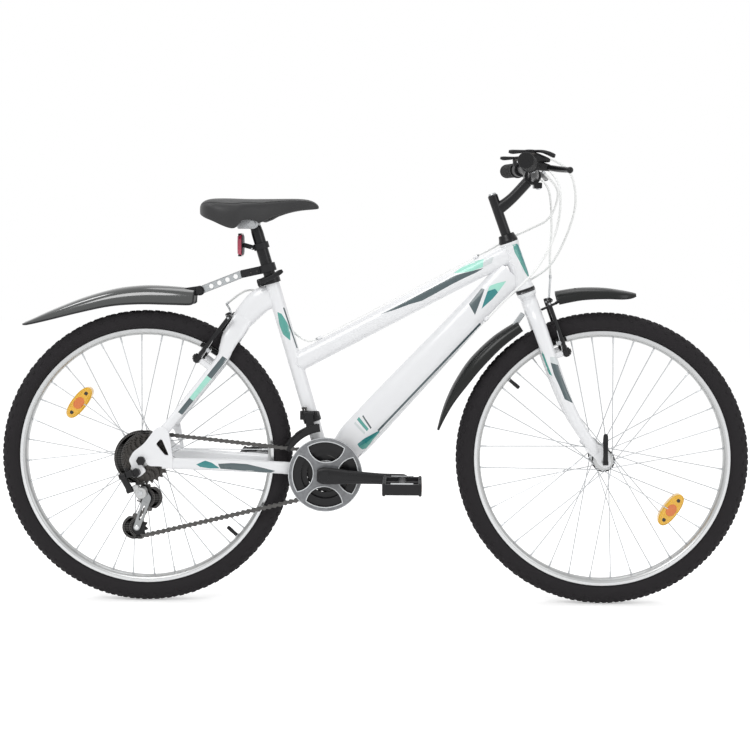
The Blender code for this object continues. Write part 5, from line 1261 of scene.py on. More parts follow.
GRIP = [(11.2, 0.2), (18.4, 0.2), (19, 0.9), (19, 6.2), (18.4, 7), (16.8, 8)]
for h in range(10, 120, 5):
    GRIP += [(16.7, h), (16.9, h + 0.8), (16.9, h + 2.6), (16.7, h + 3.2), (15.7, h + 3.6), (15.7, h + 4.6)]
GRIP += [(16.8, 120.6), (17, 122), (16.8, 125.6), (15.6, 128), (12, 128.6), (0, 128.8), (0, 126.4),
    (11.2, 126.2)]
for side, label in ((1, "left"), (-1, "right")):
    root = bar_point(172 * side)
    out = (bar_point(297 * side) - root).normalized()
    grip = Shape().add(RUBBER, turned(GRIP, root, out, 40))
    grip.piece("ringed_grip_" + label, "steering", "rubber", ["grip_" + label])
print("bar is", round(2 * bar_point(297).y), "mm wide at its ends")

# %% [markdown]
# Each hand has a brake lever on a clamp and, above it, a friction shifter: a low drum with a thumb
# lever. The blade is a die cast bar with a flat, finger-wide face that ends in a ball. The cable
# leaves through a ribbed barrel that is turned to adjust it.

# %% Brake levers and shifters
def barrel(base, axis, length=13, radius=4.6):
    """Ribbed adjusting barrel with a narrower nose."""
    ribs = [(0, 0), (radius * 0.9, 0)]
    for k in range(4):
        h = 1 + k * 1.9
        ribs += [(radius, h), (radius, h + 1), (radius * 0.86, h + 1.3), (radius * 0.86, h + 1.7)]
    return turned(ribs + [(radius * 0.7, 9.2), (radius * 0.7, length), (0, length)], base, axis, 20)


def ball(centre, radius, sides=24):
    angles = [math.pi * k / 12 for k in range(13)]
    half_circle = [(radius * math.sin(a), -radius * math.cos(a)) for a in angles[1:-1]]
    return turned([(0, -radius)] + half_circle + [(0, radius)], centre, SIDE, sides)


BLADE_UP = at(0.196, 0, 0.981)
CLAMP_RING = [(11.2, -13.4), (15.6, -13.8), (16.5, -13), (16.5, 13), (15.6, 13.8), (11.2, 13.4)]
PERCH = ((4, -6, -1, 10, 9), (22, -6, -3.6, 9.6, 8.6), (40.8, -6, -7.2, 7, 8))
NOSE = ((2, 0, 16, 12, 8), (20, -4, 13, 8.5, 8), (36, -8, 9.6, 5.5, 5.6), (41, -9.4, 8.6, 3.6, 3.4))
BRAKE_BLADE = ((3, -3, -0.6, 5, 5.2), (9, 16, -2.2, 5.8, 6.2), (21, 42, -5.2, 6, 6.4), (31, 80, -8, 5.8, 6),
    (36, 112, -9.6, 5.4, 5.4), (36.5, 118, -10, 4.8, 4.8))
BALL_END = 6.8
THUMB = ((-44, -4, 1.8, 5, 3), (-37, -3.4, 1, 6.6, 4.6), (-27, -2, 1.2, 5.2, 4.2), (0, 0, 2.4, 7, 2.6),
    (24, 7.4, 1.6, 6, 3.4), (38, 12, -2.6, 7, 4.6), (48, 14, -7.2, 6.6, 4.8), (52, 14.8, -8.6, 4.4, 3.6))
DOME = [(0, 0.2), (12.6, 0.2), (13, 0.8), (13, 3.4), (12.2, 4.6), (9, 5.4), (4, 5.7), (3.8, 5), (0, 5)]
for side, label in ((1, "left"), (-1, "right")):
    mid = bar_point(150 * side)
    out = (bar_point(297 * side) - mid).normalized()
    pivot = mid + at(34, -6 * side, -6)
    drum = mid + at(-2, 0, 8)
    bracket = Shape().add(NYLON,
        turned(CLAMP_RING, mid, out, 40),
        swept(curve(PERCH, 5, mid, side), 24, 0.7),
        rod(drum, drum + UP * 17, 15, 40, 1.6),
        swept(curve(NOSE, 5, mid, side), 20, 0.7),
        barrel(pivot + at(1, -2 * side, -1), at(0.86, -0.5 * side, 0), 12, 4.4),
        barrel(mid + at(-2, -12.4 * side, 17), SIDE * -side, 9.4, 4.2))
    bracket.add(OILED, turned([(15, 12), (15.5, 12.6), (15.5, 14.6), (15, 15.2)], drum, UP, 40))
    bracket.add(ZINC, rod(mid + at(6, 0, -17.4), mid + at(6, 0, -12), 3.4, 14, 0.6))
    bracket.piece("lever_bracket_" + label, "steering", "black_plastic", ["brake_bracket_" + label])

    blade = curve(BRAKE_BLADE, 8, pivot, side)
    lever = Shape().add(BLACK,
        swept(blade, 24, 0.75, BLADE_UP),
        ball(blade[-1][0], BALL_END),
        pin(pivot, BLADE_UP, 4.4, 6, 28, 0.8))
    lever.piece("brake_blade_" + label, "brake_lever_" + label, "black_paint", ["brake_lever_" + label])

    top = mid + at(-2, 0, 25.4)
    shifter = Shape().add(NYLON, swept(curve(THUMB, 6, top, side), 20, 0.8, UP), turned(DOME, top, UP, 40))
    shifter.add(ZINC, turned([(0, 4.8), (3.4, 4.8), (3.4, 5.8), (2.8, 6.2), (0, 6.2)], top, UP, 6))
    shifter.piece("thumb_shifter_" + label, "shift_lever_" + label, "black_plastic", ["shift_lever_" + label])
print("brake blades are", round((blade[-1][0] - blade[0][0]).length), "mm long")

# %% [markdown]
# The saddle is a plastic shell padded with foam and covered in vinyl, with a soft skirt that hides
# the rails. It is lofted from sections along its length, and each section has a crowned top, a
# rounded shoulder and a skirt that tucks under. One subdivision rounds it as stretched vinyl is, and
# a welded seam, drawn as a fine bead, follows each shoulder.

# %% Saddle cover
SADDLE = ((-387.7, 12, 880, 869), (-384.7, 34, 886, 864), (-378.2, 57, 893, 860), (-366.2, 75, 897.5, 854),
    (-350.2, 84, 899, 849), (-332.2, 88, 899.2, 840), (-314.2, 88, 899, 833), (-302.2, 86, 898.5, 831.5),
    (-295.2, 84, 898.3, 838), (-288.2, 81, 898.1, 849), (-278.2, 76, 897.9, 852), (-262.2, 67, 897.8, 852),
    (-253.2, 61.5, 898, 844), (-243.2, 56, 898, 846), (-227.2, 46, 898.2, 857), (-196.2, 33, 898.8, 866.5),
    (-166.2, 26, 899, 872.6), (-147, 21, 897, 874), (-134, 16, 892, 875), (-127, 10, 886, 876),
    (-124.5, 4.5, 881.5, 877.2))


def saddle_ring(x, half, top, edge):
    """Section across the saddle: crown, groove along the middle, shoulder, skirt and underside."""
    deep = top - edge
    under = max(edge + 1, top - 26)
    dip = 1.6 * max(0, min(1, (half - 24) / 40))
    right = [(0, top - dip), (half * 0.16, top - 0.2), (half * 0.34, top), (half * 0.56, top - 1.4),
        (half * 0.76, top - deep * 0.09), (half * 0.9, top - deep * 0.2), (half * 0.985, top - deep * 0.36),
        (half, edge + deep * 0.46), (half, edge + deep * 0.2), (half * 0.985, edge + 1.2),
        (half * 0.94, edge), (half * 0.86, edge + 0.8), (half * 0.7, under), (half * 0.3, under)]
    left = [(-y, z) for y, z in reversed(right[1:])]
    return [at(x, y, z) for y, z in right + left]


cover = Shape().add(VINYL, loft([saddle_ring(*row) for row in SADDLE]))
saddle = bpy.data.objects.new("padded_saddle", cover.mesh("padded_saddle", 80))
bpy.context.scene.collection.objects.link(saddle)
softer = saddle.modifiers.new("softer", "SUBSURF")
softer.levels = 1
softer.render_levels = 1
bpy.context.view_layer.update()
soft = bpy.data.meshes.new_from_object(saddle.evaluated_get(bpy.context.evaluated_depsgraph_get()))
bpy.data.objects.remove(saddle)

SADDLE_BVH = BVHTree.FromPolygons([v.co / MM for v in soft.vertices],
    [list(p.vertices) for p in soft.polygons])
saddle_parts = [soft]
for side in (1, -1):
    above = [at(x, half * 0.86 * side, top + 30) for x, half, top, edge in SADDLE[2:-2]]
    hits = [SADDLE_BVH.ray_cast(p, -UP, 120)[0] for p in through(above, 8)]
    seam_line = [hit + UP * 0.25 for hit in hits if hit is not None]
    saddle_parts.append(bead(seam_line, VINYL, 0.6, 3, 0.35, closed=False))
saddle = merged("padded_saddle", saddle_parts, "saddle", ["saddle"])
print("saddle lofted from", len(SADDLE), "sections")

# %% [markdown]
# Under the cover, two steel rails run forward and meet in the nose. A two-part clamp with ribbed
# cheeks grips them, and one cross bolt pulls it tight and also sets the tilt. The post is a plain
# black tube, turned with four fine rings that mark its height.

# %% Rails, clamp and post
SEAT_HEAD = seat(573) + at(-2, 0, 0)
RAIL_Z = SEAT_HEAD.z + 7.5
RAIL_START = ((-158, 2.5, 876.4), (-166, 8, 875.9), (-188, 13, 871.5), (-216, 17.5, 862.5))
RAIL_END = ((-334, 32, 861), (-354, 38, 869.3))
# The rails are black enamel: partly their own paint, partly painted shade for the shadow under the saddle.
rails = Shape()
for side in (1, -1):
    straight = ((SEAT_HEAD.x + 26, 21.5, RAIL_Z), (SEAT_HEAD.x - 34, 21.5, RAIL_Z))
    line = through([at(x, y * side, z) for x, y, z in RAIL_START + straight + RAIL_END])
    rails.add(BLACK, cable_skin(line, 3.4, 16))
rails.add(BLACK, rod(at(-159, -6, 876.3), at(-159, 6, 876.3), 3.4, 16))
rails.piece("saddle_rail_pair", "saddle", "steel", ["saddle_rails"])

RIBS = [(4.5, 14.6), (11.4, 14.6)]
for k in range(5):
    h = 15.6 + k * 1.1
    RIBS += [(12, h), (11.4, h + 0.5)]
RIBS += [(12.2, 21.4), (12.2, 28), (11.4, 29), (4.5, 29)]
cradle = Shape()
for side in (1, -1):
    cheek = at(-303, 21.6 * side, SEAT_HEAD.z - 1)
    cradle.add(ZINC,
        turned(RIBS, SEAT_HEAD, SIDE * side, 36),
        bar(SEAT_HEAD + at(0, 21.5 * side, 9.4), AHEAD, 17, SIDE, 5.6, 3.4, 1.2),
        block(cheek, cheek + AHEAD * 33, SIDE, 5.4, 10.6, 1.6),
        *[bar(cheek + at(3 + 4.2 * k, 5.5 * side, 0), UP, 8.6, SIDE, 0.5, 0.9, 0.3) for k in range(6)],
        nut(SEAT_HEAD + SIDE * (28.8 * side), SIDE * side, 8.4, 6))
cradle.add(BLACK, bar(SEAT_HEAD + at(2, 0, 9), SIDE, 27.5, UP, 13, 9.4, 2))
cradle.add(BRIGHT, pin(SEAT_HEAD, SIDE, 34.5, 3.9, 20))
cradle.piece("rail_clamp", "saddle", "steel", ["saddle_clamp"])

post = [(0, 300), (13.4, 300), (13.4, 455)]
for k in range(4):
    h = 476 + k * 9
    post += [(13.4, h), (13.25, h + 0.15), (13.25, h + 0.55), (13.4, h + 0.7)]
post += [(13.4, 552), (12.6, 560), (12, 566), (0, 566)]
mast = Shape().add(BLACK, turned(post, BB, SEAT_UP, 48), pin(SEAT_HEAD, SIDE, 14.2, 12, 40, 1))
mast.piece("seat_mast", "seatpost", "black_paint", ["seatpost"])
print("saddle rails are held", round(SEAT_HEAD.z), "mm above the ground")

# %% [markdown]
# A collar squeezes the split top of the seat tube when its lever is closed. The lever turns a cam, so
# it is a bolt, a round cam and a flat curved blade. The reflector above it is red acrylic with dark
# edges on a moulded bracket.

# %% Collar, lever and rear reflector
BAND = [(16.2, 434.4), (19.4, 434.2), (20, 435), (20, 452), (19.4, 452.8), (16.2, 452.8), (14.6, 453.6),
    (13.6, 454), (13.6, 434.4)]
BOLT_LINE = seat(443, -24)
ring = Shape().add(BLACK,
    turned(BAND, BB, SEAT_UP, 56),
    block(seat(443, -17), seat(443, -31), SIDE, 7, 9, 1.6))
ring.add(ZINC,
    rod(BOLT_LINE - SIDE * 17.4, BOLT_LINE + SIDE * 15.4, 3.2, 16),
    collar(BOLT_LINE, SIDE, [(5.6, 7.4), (6.4, 8), (6.4, 14), (5.4, 14.8)], 24))
ring.piece("squeezing_collar", "frame", "black_paint", ["seat_collar"])

CAM = BOLT_LINE - SIDE * 23.2
blade = curve(((*(CAM - SEAT_FWD * 3), 5.2, 2.6), (*seat(447, 2, -26.5), 5.6, 2.7),
    (*seat(450, 13, -27.2), 5, 2.4), (*seat(453, 24, -26.5), 5.8, 2.6), (*seat(455, 33, -25), 3.6, 2)))
cam = Shape().add(BLACK, swept(blade, 20, 0.75), pin(CAM, SEAT_UP, 6, 5.2, 28, 0.8))
cam.add(BRIGHT, pin(CAM, SEAT_UP, 6.4, 2, 14, 0.3))
cam.piece("seat_release_blade", "seat_lever", "black_paint", ["seat_lever"])

PLATE = at(-298, 0, 796)
HOLDER = [(13.5, 514), (16.8, 513.8), (17.5, 514.6), (17.5, 527.4), (16.8, 528.2), (13.5, 528)]
tail = Shape().add(NYLON,
    turned(HOLDER, BB, SEAT_UP, 40),
    block(seat(521, -15.6), at(-293, 0, 796), SIDE, 6, 5, 1.4))
tail.add(ZINC, rod(seat(521, -21, -8.6), seat(521, -21, 8.6), 2.4, 12))


def plate_rings(half_y, half_z, depths):
    rings = []
    for x, inset in depths:
        ring = rounded(SIDE, UP, half_y - inset, half_z - inset, 44, 0.55)
        rings.append([PLATE + at(x, p.y, p.z) for p in ring])
    return loft(rings)


tail.add(NYLON, plate_rings(22, 23, ((5.4, 1.4), (4.6, 0), (2, 0))))
tail.add(RED,
    plate_rings(24, 25, ((3.6, 0.8), (2.8, 0), (-2.6, 0), (-4, 1.2))),
    plate_rings(21.8, 22.8, ((-2, 0.4), (-4.6, 0.4), (-5.4, 1.4))),
    *[bar(PLATE + at(-5.3, k * 5.6, 0), UP, 19, SIDE, 0.4, 0.35, 0.15) for k in range(-3, 4)])
tail.add(NYLON, *[bar(PLATE + at(-0.6, 0, lift), SIDE, 19, UP, 2.2, 3.6, 0.8) for lift in (-23.2, 23.2)])
tail.piece("tail_reflector", "seatpost", "red_plastic", ["rear_reflector"])
print("the rear reflector stands", round(PLATE.z), "mm above the ground")

# %% [markdown]
# The rear mudguard hangs from the post by a drilled grey strip that ends in a knob joint. Both
# mudguards are thin arched shells. Each shell is swept from its own stations with an arched section
# that has a rolled edge, and a raised rib runs along the crest to stiffen it.

# %% Mudguard strip and shells
KNOB = at(-390, 0, 693.5)
STRIP_START = at(-299, 0, 729.8)
strip_dir = (KNOB - STRIP_START).normalized()
strip_up = strip_dir.cross(SIDE).normalized()
if strip_up.z < 0:
    strip_up = -strip_up
strip_long = (KNOB + at(1, 0, -0.5) - STRIP_START).length


def strip_point(along, up):
    p = STRIP_START + strip_dir * along + strip_up * up
    return (p.x, p.z)


CORNERS = ((-3, 8.4), (-3, -8.4), (strip_long - 8, -8.4), (strip_long + 4, -8), (strip_long + 10, 0),
    (strip_long + 4, 8), (strip_long - 8, 8.4))
outline = softened([strip_point(*corner) for corner in CORNERS], 2, 0.12)
centres = [strip_point(12 + 19.5 * k, 0) for k in range(4)]
hanger = Shape().add(GREY, cut_plate(outline, [circle(*c, 5.3, 20) for c in centres], -2.4, 2.4))
EYELET = [(5.3, 2.3), (6.8, 2.3), (6.6, 3), (5.5, 3)]
for side in (1, -1):
    hanger.add(GREY, *[turned(EYELET, at(x, 0, z), SIDE * side, 20) for x, z in centres])
    # Painted shade: thin smoked rods darken the strip's edges on both faces.
    for edge in (8.1, -8.1):
        start, end = (strip_point(s, edge) for s in (-2, strip_long - 8))
        hanger.add(SMOKED, rod(at(start[0], 2.2 * side, start[1]), at(end[0], 2.2 * side, end[1]), 0.7, 8))
POST_RING = [(13.5, 461), (17.8, 460.8), (18.5, 461.6), (18.5, 478.4), (17.8, 479.2), (13.5, 479)]
hanger.add(NYLON,
    turned(POST_RING, BB, SEAT_UP, 40),
    block(seat(470, -16), at(-298, 0, 730.4), SIDE, 6, 8.8, 1.6),
    pin(KNOB, SIDE, 2.9, 11, 32, 0.8))
hanger.add(OILED, *[pin(seat(470, n), SIDE, 7, 2.6, 14) for n in (-24, -38)])
hanger.piece("drilled_strip", "seatpost", "grey_plastic", ["mudguard_arm"])


def arch(crest, edge, half, out, wall=2.2):
    """Section of a mudguard: an arch from edge to crest with a rolled lip on each side."""
    rise = (crest - edge).dot(out)
    base = crest - out * rise
    outer = []
    inner = []
    for k in range(13):
        t = -1 + k / 6
        y = half * math.sin(t * math.pi / 2)
        h = rise * math.cos(t * math.pi / 2) ** 0.62
        rib = 0.9 if abs(t) < 0.13 else 0
        outer.append(base + SIDE * y + out * (h + rib))
        inner.append(base + SIDE * (y * (half - wall) / half) + out * max(h - wall, 0))
    return outer + [outer[-1] - out * 1.2] + inner[::-1] + [outer[0] - out * 1.2]


def guard_shell(stations, skin, lip):
    """Mudguard through stations of (crest, edge, half width, out), with a round lip on its edges."""
    paths = [smooth_path([(row[j], row[2], 0) for row in stations]) for j in (0, 1, 3)]
    rings = [arch(crest[0], edge[0], crest[1], out[0].normalized()) for crest, edge, out in zip(*paths)]
    guard = Shape().add(skin, loft(rings))
    for side in (1, -1):
        line = through([edge + SIDE * (half * side) for crest, edge, half, out in stations])
        guard.add(NYLON, cable_skin(line, lip, 8))
    return guard


REAR_GUARD = (  # crest x and z, edge x and z, half width
    (-399.5, 696.6, -401.5, 669.5, 24), (-405, 697.4, -409, 664.2, 26), (-450, 702, -452, 665, 29),
    (-510, 704, -520, 666, 31), (-575, 697, -585, 661, 32), (-645, 678, -656, 646, 32),
    (-715, 651, -724, 629, 30), (-764, 629, -769.5, 618.5, 20), (-782, 621, -784, 617, 9))
stations = []
for crest_x, crest_z, edge_x, edge_z, half in REAR_GUARD:
    crest = at(crest_x, 0, crest_z)
    edge = at(edge_x, 0, edge_z)
    stations.append((crest, edge, half, (crest - edge).normalized()))
# Partly painted shade: the rear guard's matt black lips are its rolled edges, made wide to darken its lower
# edge.
guard = guard_shell(stations, GLOSS_AND_PAINTED_SHEEN_GUARD, 2.2)
for side in (1, -1):
    low = 2.95 if side > 0 else -7.9
    guard.add(NYLON,
        slab(hull([(KNOB.x, KNOB.z, 10.5), (-424, 690.5, 8.5)]), low, low + 4.95, 0.8),
        collar(KNOB, SIDE * side, [(7.6, 7.8), (8.6, 8.6), (8.6, 12.4), (7.8, 13.4)], 8))
guard.add(ZINC, pin(KNOB, SIDE, 13, 3.9, 18))
# The black bead across the front end is partly a rolled edge and partly painted shade that darkens the end.
guard.add(NYLON, cable_skin(arch(*stations[0])[:13], 1.8, 8))
guard.piece("rear_mudguard_shell", "rear_mudguard", "black_plastic", ["rear_mudguard"])


def round_guard(rows):
    """Shell round the front wheel from rows of (degrees, edge radius, crest radius, half width)."""
    stations = []
    for degrees, inner, crest, half in rows:
        out = (polar(FRONT_AXLE, 1, degrees) - FRONT_AXLE).normalized()
        stations.append((polar(FRONT_AXLE, crest, degrees), polar(FRONT_AXLE, inner, degrees), half, out))
    return guard_shell(stations, MATT_GUARD, 1.5)


guard = round_guard(((106, 357.5, 385, 24), (98, 357, 382, 27), (90, 356.5, 378.5, 27),
    (83.5, 358, 375.4, 24), (80.3, 362.5, 374.3, 15), (78.6, 368.4, 373.2, 6)))
guard.add(NYLON,
    block(polar(FRONT_AXLE, 381.2, 99), polar(FRONT_AXLE, 359, 107), SIDE, 7, 2.8, 0.8),
    block(polar(FRONT_AXLE, 359.5, 106.6), steer(356, 18.65), SIDE, 6.4, 2.2, 0.8))
guard.piece("front_mudguard_shell", "steering", "black_plastic", ["front_mudguard"])

guard = round_guard(((122, 336, 358, 22), (132, 335, 362, 27), (143, 337, 366, 29), (152, 343, 367.4, 27),
    (159, 352, 368.4, 21), (164.5, 359, 369, 13), (168.4, 364.5, 369.6, 7.5), (170.6, 367.6, 370.2, 4)))
guard.add(GREY, block(polar(FRONT_AXLE, 350, 125), steer(362, -21.7), SIDE, 9, 5, 1.6))
guard.piece("front_flap_shell", "steering", "black_plastic", ["front_mudguard_flap"])
print("rear mudguard is", round(REAR_GUARD[0][0] - REAR_GUARD[-1][0]), "mm long from front to back")

# %% [markdown]
# Linear-pull brakes work like scissors: two long arms turn on bosses below the rim, and the cable
# draws their tops together. Each arm is a pressed black channel, with a pivot bolt, a coil spring
# behind it and a pad on a threaded stud. The cable arrives through a bent metal guide pipe and runs
# bare through a rubber bellows between the arms.

# %% Brake arms and pads
BRAKES = {  # pivot, up the arm, outwards, pad's height, axle
    "front": (FRONT_PIVOT, STEER_UP, STEER_FWD, 25, FRONT_AXLE),
    "rear": (REAR_PIVOT, REAR_BRAKE_UP, REAR_OUT, 29.4, REAR_AXLE)}
CHANNEL = ((-10, 40.5, 5, 7.4), (0, 40.5, 5.4, 9.6), (14, 41.8, 4.6, 7.4), (30, 42.5, 4.6, 6.8),
    (70, 41.5, 4.4, 5.8), (105, 38.5, 4.4, 5.6), (116, 37.6, 4.2, 5.2), (120, 37.5, 3.4, 3.6))
RIM_RADIUS = 290


def brake_arm(end, side, label):
    pivot, up, out, pad_at, centre = BRAKES[end]

    def spot(a, b, y):
        """Point a up the arm, b outwards and y from the middle plane on this side."""
        return pivot + up * a + out * b + SIDE * (side * y)

    boss = spot(0, 0, 40.5)
    path = smooth_path([(spot(a, 4.5, y), thick, wide) for a, y, thick, wide in CHANNEL], 5)
    arm = Shape().add(BLACK,
        swept(path, 24, 0.62),
        rod(spot(0, -2.6, 40.5), spot(0, 8.8, 40.5), 9.2, 32, 1.2),
        collar(boss, out, [(8.2, 8.6), (8.6, 9.2), (8.6, 12.6), (7.8, 13.4)], 28),
        block(spot(pad_at, -2.2, 36.3), spot(pad_at, -2.2, 47.6), up, 5.6, 5.2, 1.2))
    arm.add(OILED, collar(boss, out, [(4.4, 13.2), (4.7, 13.6), (4.7, 15.4), (4, 16)], 6))
    arm.add(ZINC,
        rod(spot(pad_at, -3.9, 23), spot(pad_at, -3.9, 52.6), 2.9, 14),
        nut(spot(pad_at, -3.9, 47.4), SIDE * side, 5.2, 4.2),
        rod(spot(112, 4.5, 31), spot(112, 4.5, 44.6), 2.6, 16))
    washer = [(5.2, 0), (5.6, 0.3), (5.6, 1.3), (5, 1.6)]
    coil = []
    for k in range(33):
        angle = k * math.pi / 5.5
        coil.append(spot(6.5 * math.sin(angle), 1.6 - k * 0.17, 40.5 + 6.5 * math.cos(angle)))
    wire = through([spot(6, -2.6, 44.6), spot(24, -1.6, 48.6), spot(52, 0.6, 47.6)])
    arm.add(BRIGHT,
        *[collar(spot(pad_at, -3.9, y), SIDE * side, washer, 18) for y in (33, 35.2)],
        cable_skin(coil, 0.75, 8),
        cable_skin(wire, 0.75, 8))
    mid = spot(pad_at, -5, 20.6)
    radial = at(mid.x - centre.x, 0, mid.z - centre.z).normalized()
    along = SIDE.cross(radial).normalized()
    if along.dot(up) < 0:
        along = -along
    pad = [(mid + along * t - radial * (t * t / (2 * RIM_RADIUS)), 4.4, 4.5) for t in range(-24, 24, 3)]
    arm.add(RUBBER, swept(pad, 16, 0.6))
    node = end + "_brake_arm_" + label
    arm.piece(end + "_brake_channel_" + label, node, "black_paint", [node])


for end in ("front", "rear"):
    for side, label in ((1, "left"), (-1, "right")):
        brake_arm(end, side, label)
pad_centre = FRONT_PIVOT + STEER_UP * 25 - STEER_FWD * 5
print("brake pads sit", round((pad_centre - FRONT_AXLE).length), "mm from the axle")

# %% [markdown]
# The drive train is where the eye looks for truth. The teeth follow one rule: their pitch is the
# chain's 12.7 mm, so a wheel with n teeth has a pitch radius of 12.7 / (2 sin(pi / n)). One tooth is
# drawn at three o'clock and repeated by Geometry Nodes, and the wheels that carry the chain are
# turned so that their teeth stand between the chain's rollers.

# %% Pitch circles and the chain's line
PITCH = 12.7
RING_TEETH = 22
COG_TEETH = 28
PULLEY_TEETH = 11
CHAIN_Y = -38
CRANK_DEG = -2
CRANK_LENGTH = 170
GUIDE_AT = at(-500, 0, 236)
TENSION_AT = at(-523, 0, 171)
KNUCKLE_AT = at(-509.5, 0, 252)


def pitch_radius(teeth):
    return PITCH / (2 * math.sin(math.pi / teeth))


def belt(circles, step=2):
    """Closed line round (centre, radius, turn) circles, anticlockwise where turn is 1."""
    tangents = []
    count = len(circles)
    for i in range(count):
        c1, r1, o1 = circles[i]
        c2, r2, o2 = circles[(i + 1) % count]
        gap = c2 - c1
        k = o2 * r2 - o1 * r1
        angle = math.atan2(gap.z, gap.x) - math.atan2(k, math.sqrt(gap.x ** 2 + gap.z ** 2 - k * k))
        n = at(-math.sin(angle), 0, math.cos(angle))
        tangents.append((c1 - n * (o1 * r1), c2 - n * (o2 * r2)))
    line = []
    for i in range(count):
        c, r, o = circles[i]
        p = tangents[i - 1][1] - c
        q = tangents[i][0] - c
        a0 = math.atan2(p.z, p.x)
        sweep = ((math.atan2(q.z, q.x) - a0) * o) % (2 * math.pi)
        bends = max(3, int(sweep * r / step))
        for k in range(bends + 1):
            a = a0 + o * sweep * k / bends
            line.append(c + at(r * math.cos(a), 0, r * math.sin(a)))
        straight = tangents[i][1] - tangents[i][0]
        pieces = max(2, int(straight.length / 12))
        line.extend(tangents[i][0] + straight * (k / pieces) for k in range(1, pieces))
    return line


WRAPPED = ((BB, RING_TEETH, 1), (REAR_AXLE, COG_TEETH, 1), (GUIDE_AT, PULLEY_TEETH, -1),
    (TENSION_AT, PULLEY_TEETH, 1))
CHAIN_LINE = [p + SIDE * CHAIN_Y for p in belt([(c, pitch_radius(n), turn) for c, n, turn in WRAPPED])]
CHAIN_LONG = sum((q - p).length for p, q in zip(CHAIN_LINE, CHAIN_LINE[1:] + CHAIN_LINE[:1]))
LINKS = 2 * round(CHAIN_LONG / PITCH / 2)
print("chain of", LINKS, "links,", round(CHAIN_LONG), "mm long")


def pin_angle(centre, radius):
    """Angle at which a chain pin lies on a wheel; pins are half a link from the chain's even points."""
    gap = CHAIN_LONG / LINKS
    walked = 0
    wanted = gap / 2
    for p, q in zip(CHAIN_LINE, CHAIN_LINE[1:] + CHAIN_LINE[:1]):
        step = (q - p).length
        while walked + step > wanted:
            found = p.lerp(q, (wanted - walked) / step)
            flat = at(found.x - centre.x, 0, found.z - centre.z)
            if abs(flat.length - radius) < 0.12:
                return math.degrees(math.atan2(flat.z, flat.x))
            wanted += gap
        walked += step
    return 0


def meshing(centre, teeth):
    """Angle of a tooth that stands halfway between two chain pins."""
    return pin_angle(centre, pitch_radius(teeth)) + 180 / teeth


# %% [markdown]
# A chain alternates two links. The outer one is a pair of waisted plates on two pins, and the inner
# one is a narrower pair on two rollers. Both are centred between their pins, so that on a bend each
# lies along the chord. The tree takes every second point of the line for one kind.

# %% Chain
def waisted(half_long, radius, waist, y_low, y_high):
    """Chain plate: two round ends and a narrow middle."""
    outline = []
    for way in (1, -1):
        for k in range(5):
            angle = math.radians(-72 + 36 * k)
            outline.append((way * (half_long + radius * math.cos(angle)), way * radius * math.sin(angle)))
        outline.append((0, way * waist))
    return loft([[at(x, y, z) for x, z in outline] for y in (y_low, y_high)])


def link_unit(name, gap, thick, pin_radius, pin_half):
    unit = Shape()
    for side in (1, -1):
        low, high = sorted((side * gap, side * (gap + thick)))
        unit.add(LINK_STEEL, waisted(PITCH / 2, 4.1, 3, low, high))
    for x in (-PITCH / 2, PITCH / 2):
        unit.add(LINK_STEEL, collar(at(x, 0, 0), SIDE, [(pin_radius, -pin_half), (pin_radius, pin_half)], 8))
    thing = bpy.data.objects.new(name, unit.mesh(name))
    bpy.context.scene.collection.objects.link(thing)
    return thing


outer_link = link_unit("outer_link", 2.5, 0.85, 1.7, 3.6)
inner_link = link_unit("inner_link", 1.55, 0.85, 3.7, 1.5)
chain = grow(line_object(CHAIN_LINE), ALONG_A_LINE,
    {"Count": LINKS, "Odd": outer_link, "Even": inner_link, "Finish": LINK_STEEL}, "chain")
print(len(chain.polygons), "faces in the chain")
merged("roller_chain", [chain], "frame", ["chain"])
bpy.data.objects.remove(outer_link)
bpy.data.objects.remove(inner_link)

# %% [markdown]
# Rings and cogs are plates with a toothed edge, stamped from steel. The chain lies on the smallest
# ring and the largest cog, so these have their full teeth, and the others stand lower. A four-armed
# spider carries the rings. The freewheel's seven cogs stand 4.3 mm apart, a stepped cone.

# %% Toothed wheels
def toothed(name, centre, teeth, y, half_thick, bore, finish, phase=0, tall=2.3):
    """Plate ring with teeth; phase is the angle of one tooth's middle."""
    radius = pitch_radius(teeth)
    root = radius - 3.9
    rim_at = root + 0.4
    low, high = y - half_thick, y + half_thick
    band = [(bore, low), (rim_at, low), (rim_at, high), (bore, high)]
    rings = []
    for r, half, thin in ((root - 0.4, 4.6, 1), (root + 1.6, 3.4, 1), (radius, 2.2, 0.9),
            (radius + tall, 1.1, 0.5)):
        low, high = y - half_thick * thin, y + half_thick * thin
        rings.append([at(r, low, -half), at(r, high, -half), at(r, high, half), at(r, low, half)])
    tooth = Shape().add(finish, loft(rings))
    plate = Shape().add(finish, turned(band, centre, SIDE, 64))
    return [plate.mesh(name), round_axle(name, tooth, finish, centre, teeth, phase)]


ring_parts = []
for teeth, y, bore, tall in ((RING_TEETH, CHAIN_Y, 28.2, 2.3), (30, -45.5, 41, 0.6), (38, -53, 54, 0.6)):
    phase = meshing(BB, teeth) if teeth == RING_TEETH else 0
    ring_parts += toothed("ring", BB, teeth, y, 1.1, bore, BLACK, phase, tall)
spider = Shape().add(OILED, turned([(14.1, -48.4), (21, -48.4), (21, -55.5), (14.1, -55.5)], BB, SIDE, 40))
for k in range(4):
    angle = CRANK_DEG + 45 + 90 * k
    arm = [(polar(BB, r, angle, -51), wide, 3) for r, wide in ((17, 12), (28, 8), (44, 7), (58, 8.5))]
    spider.add(BLACK, swept(arm, 20, 0.6))
    for r, low, high in ((34, -36.4, -52), (57, -44.2, -56.9)):
        spider.add(ZINC, rod(polar(BB, r, angle, low), polar(BB, r, angle, high), 3.6, 16))
ring_parts.append(spider.mesh("spider"))
merged("triple_chainrings", ring_parts, "crank", ["chainrings"])

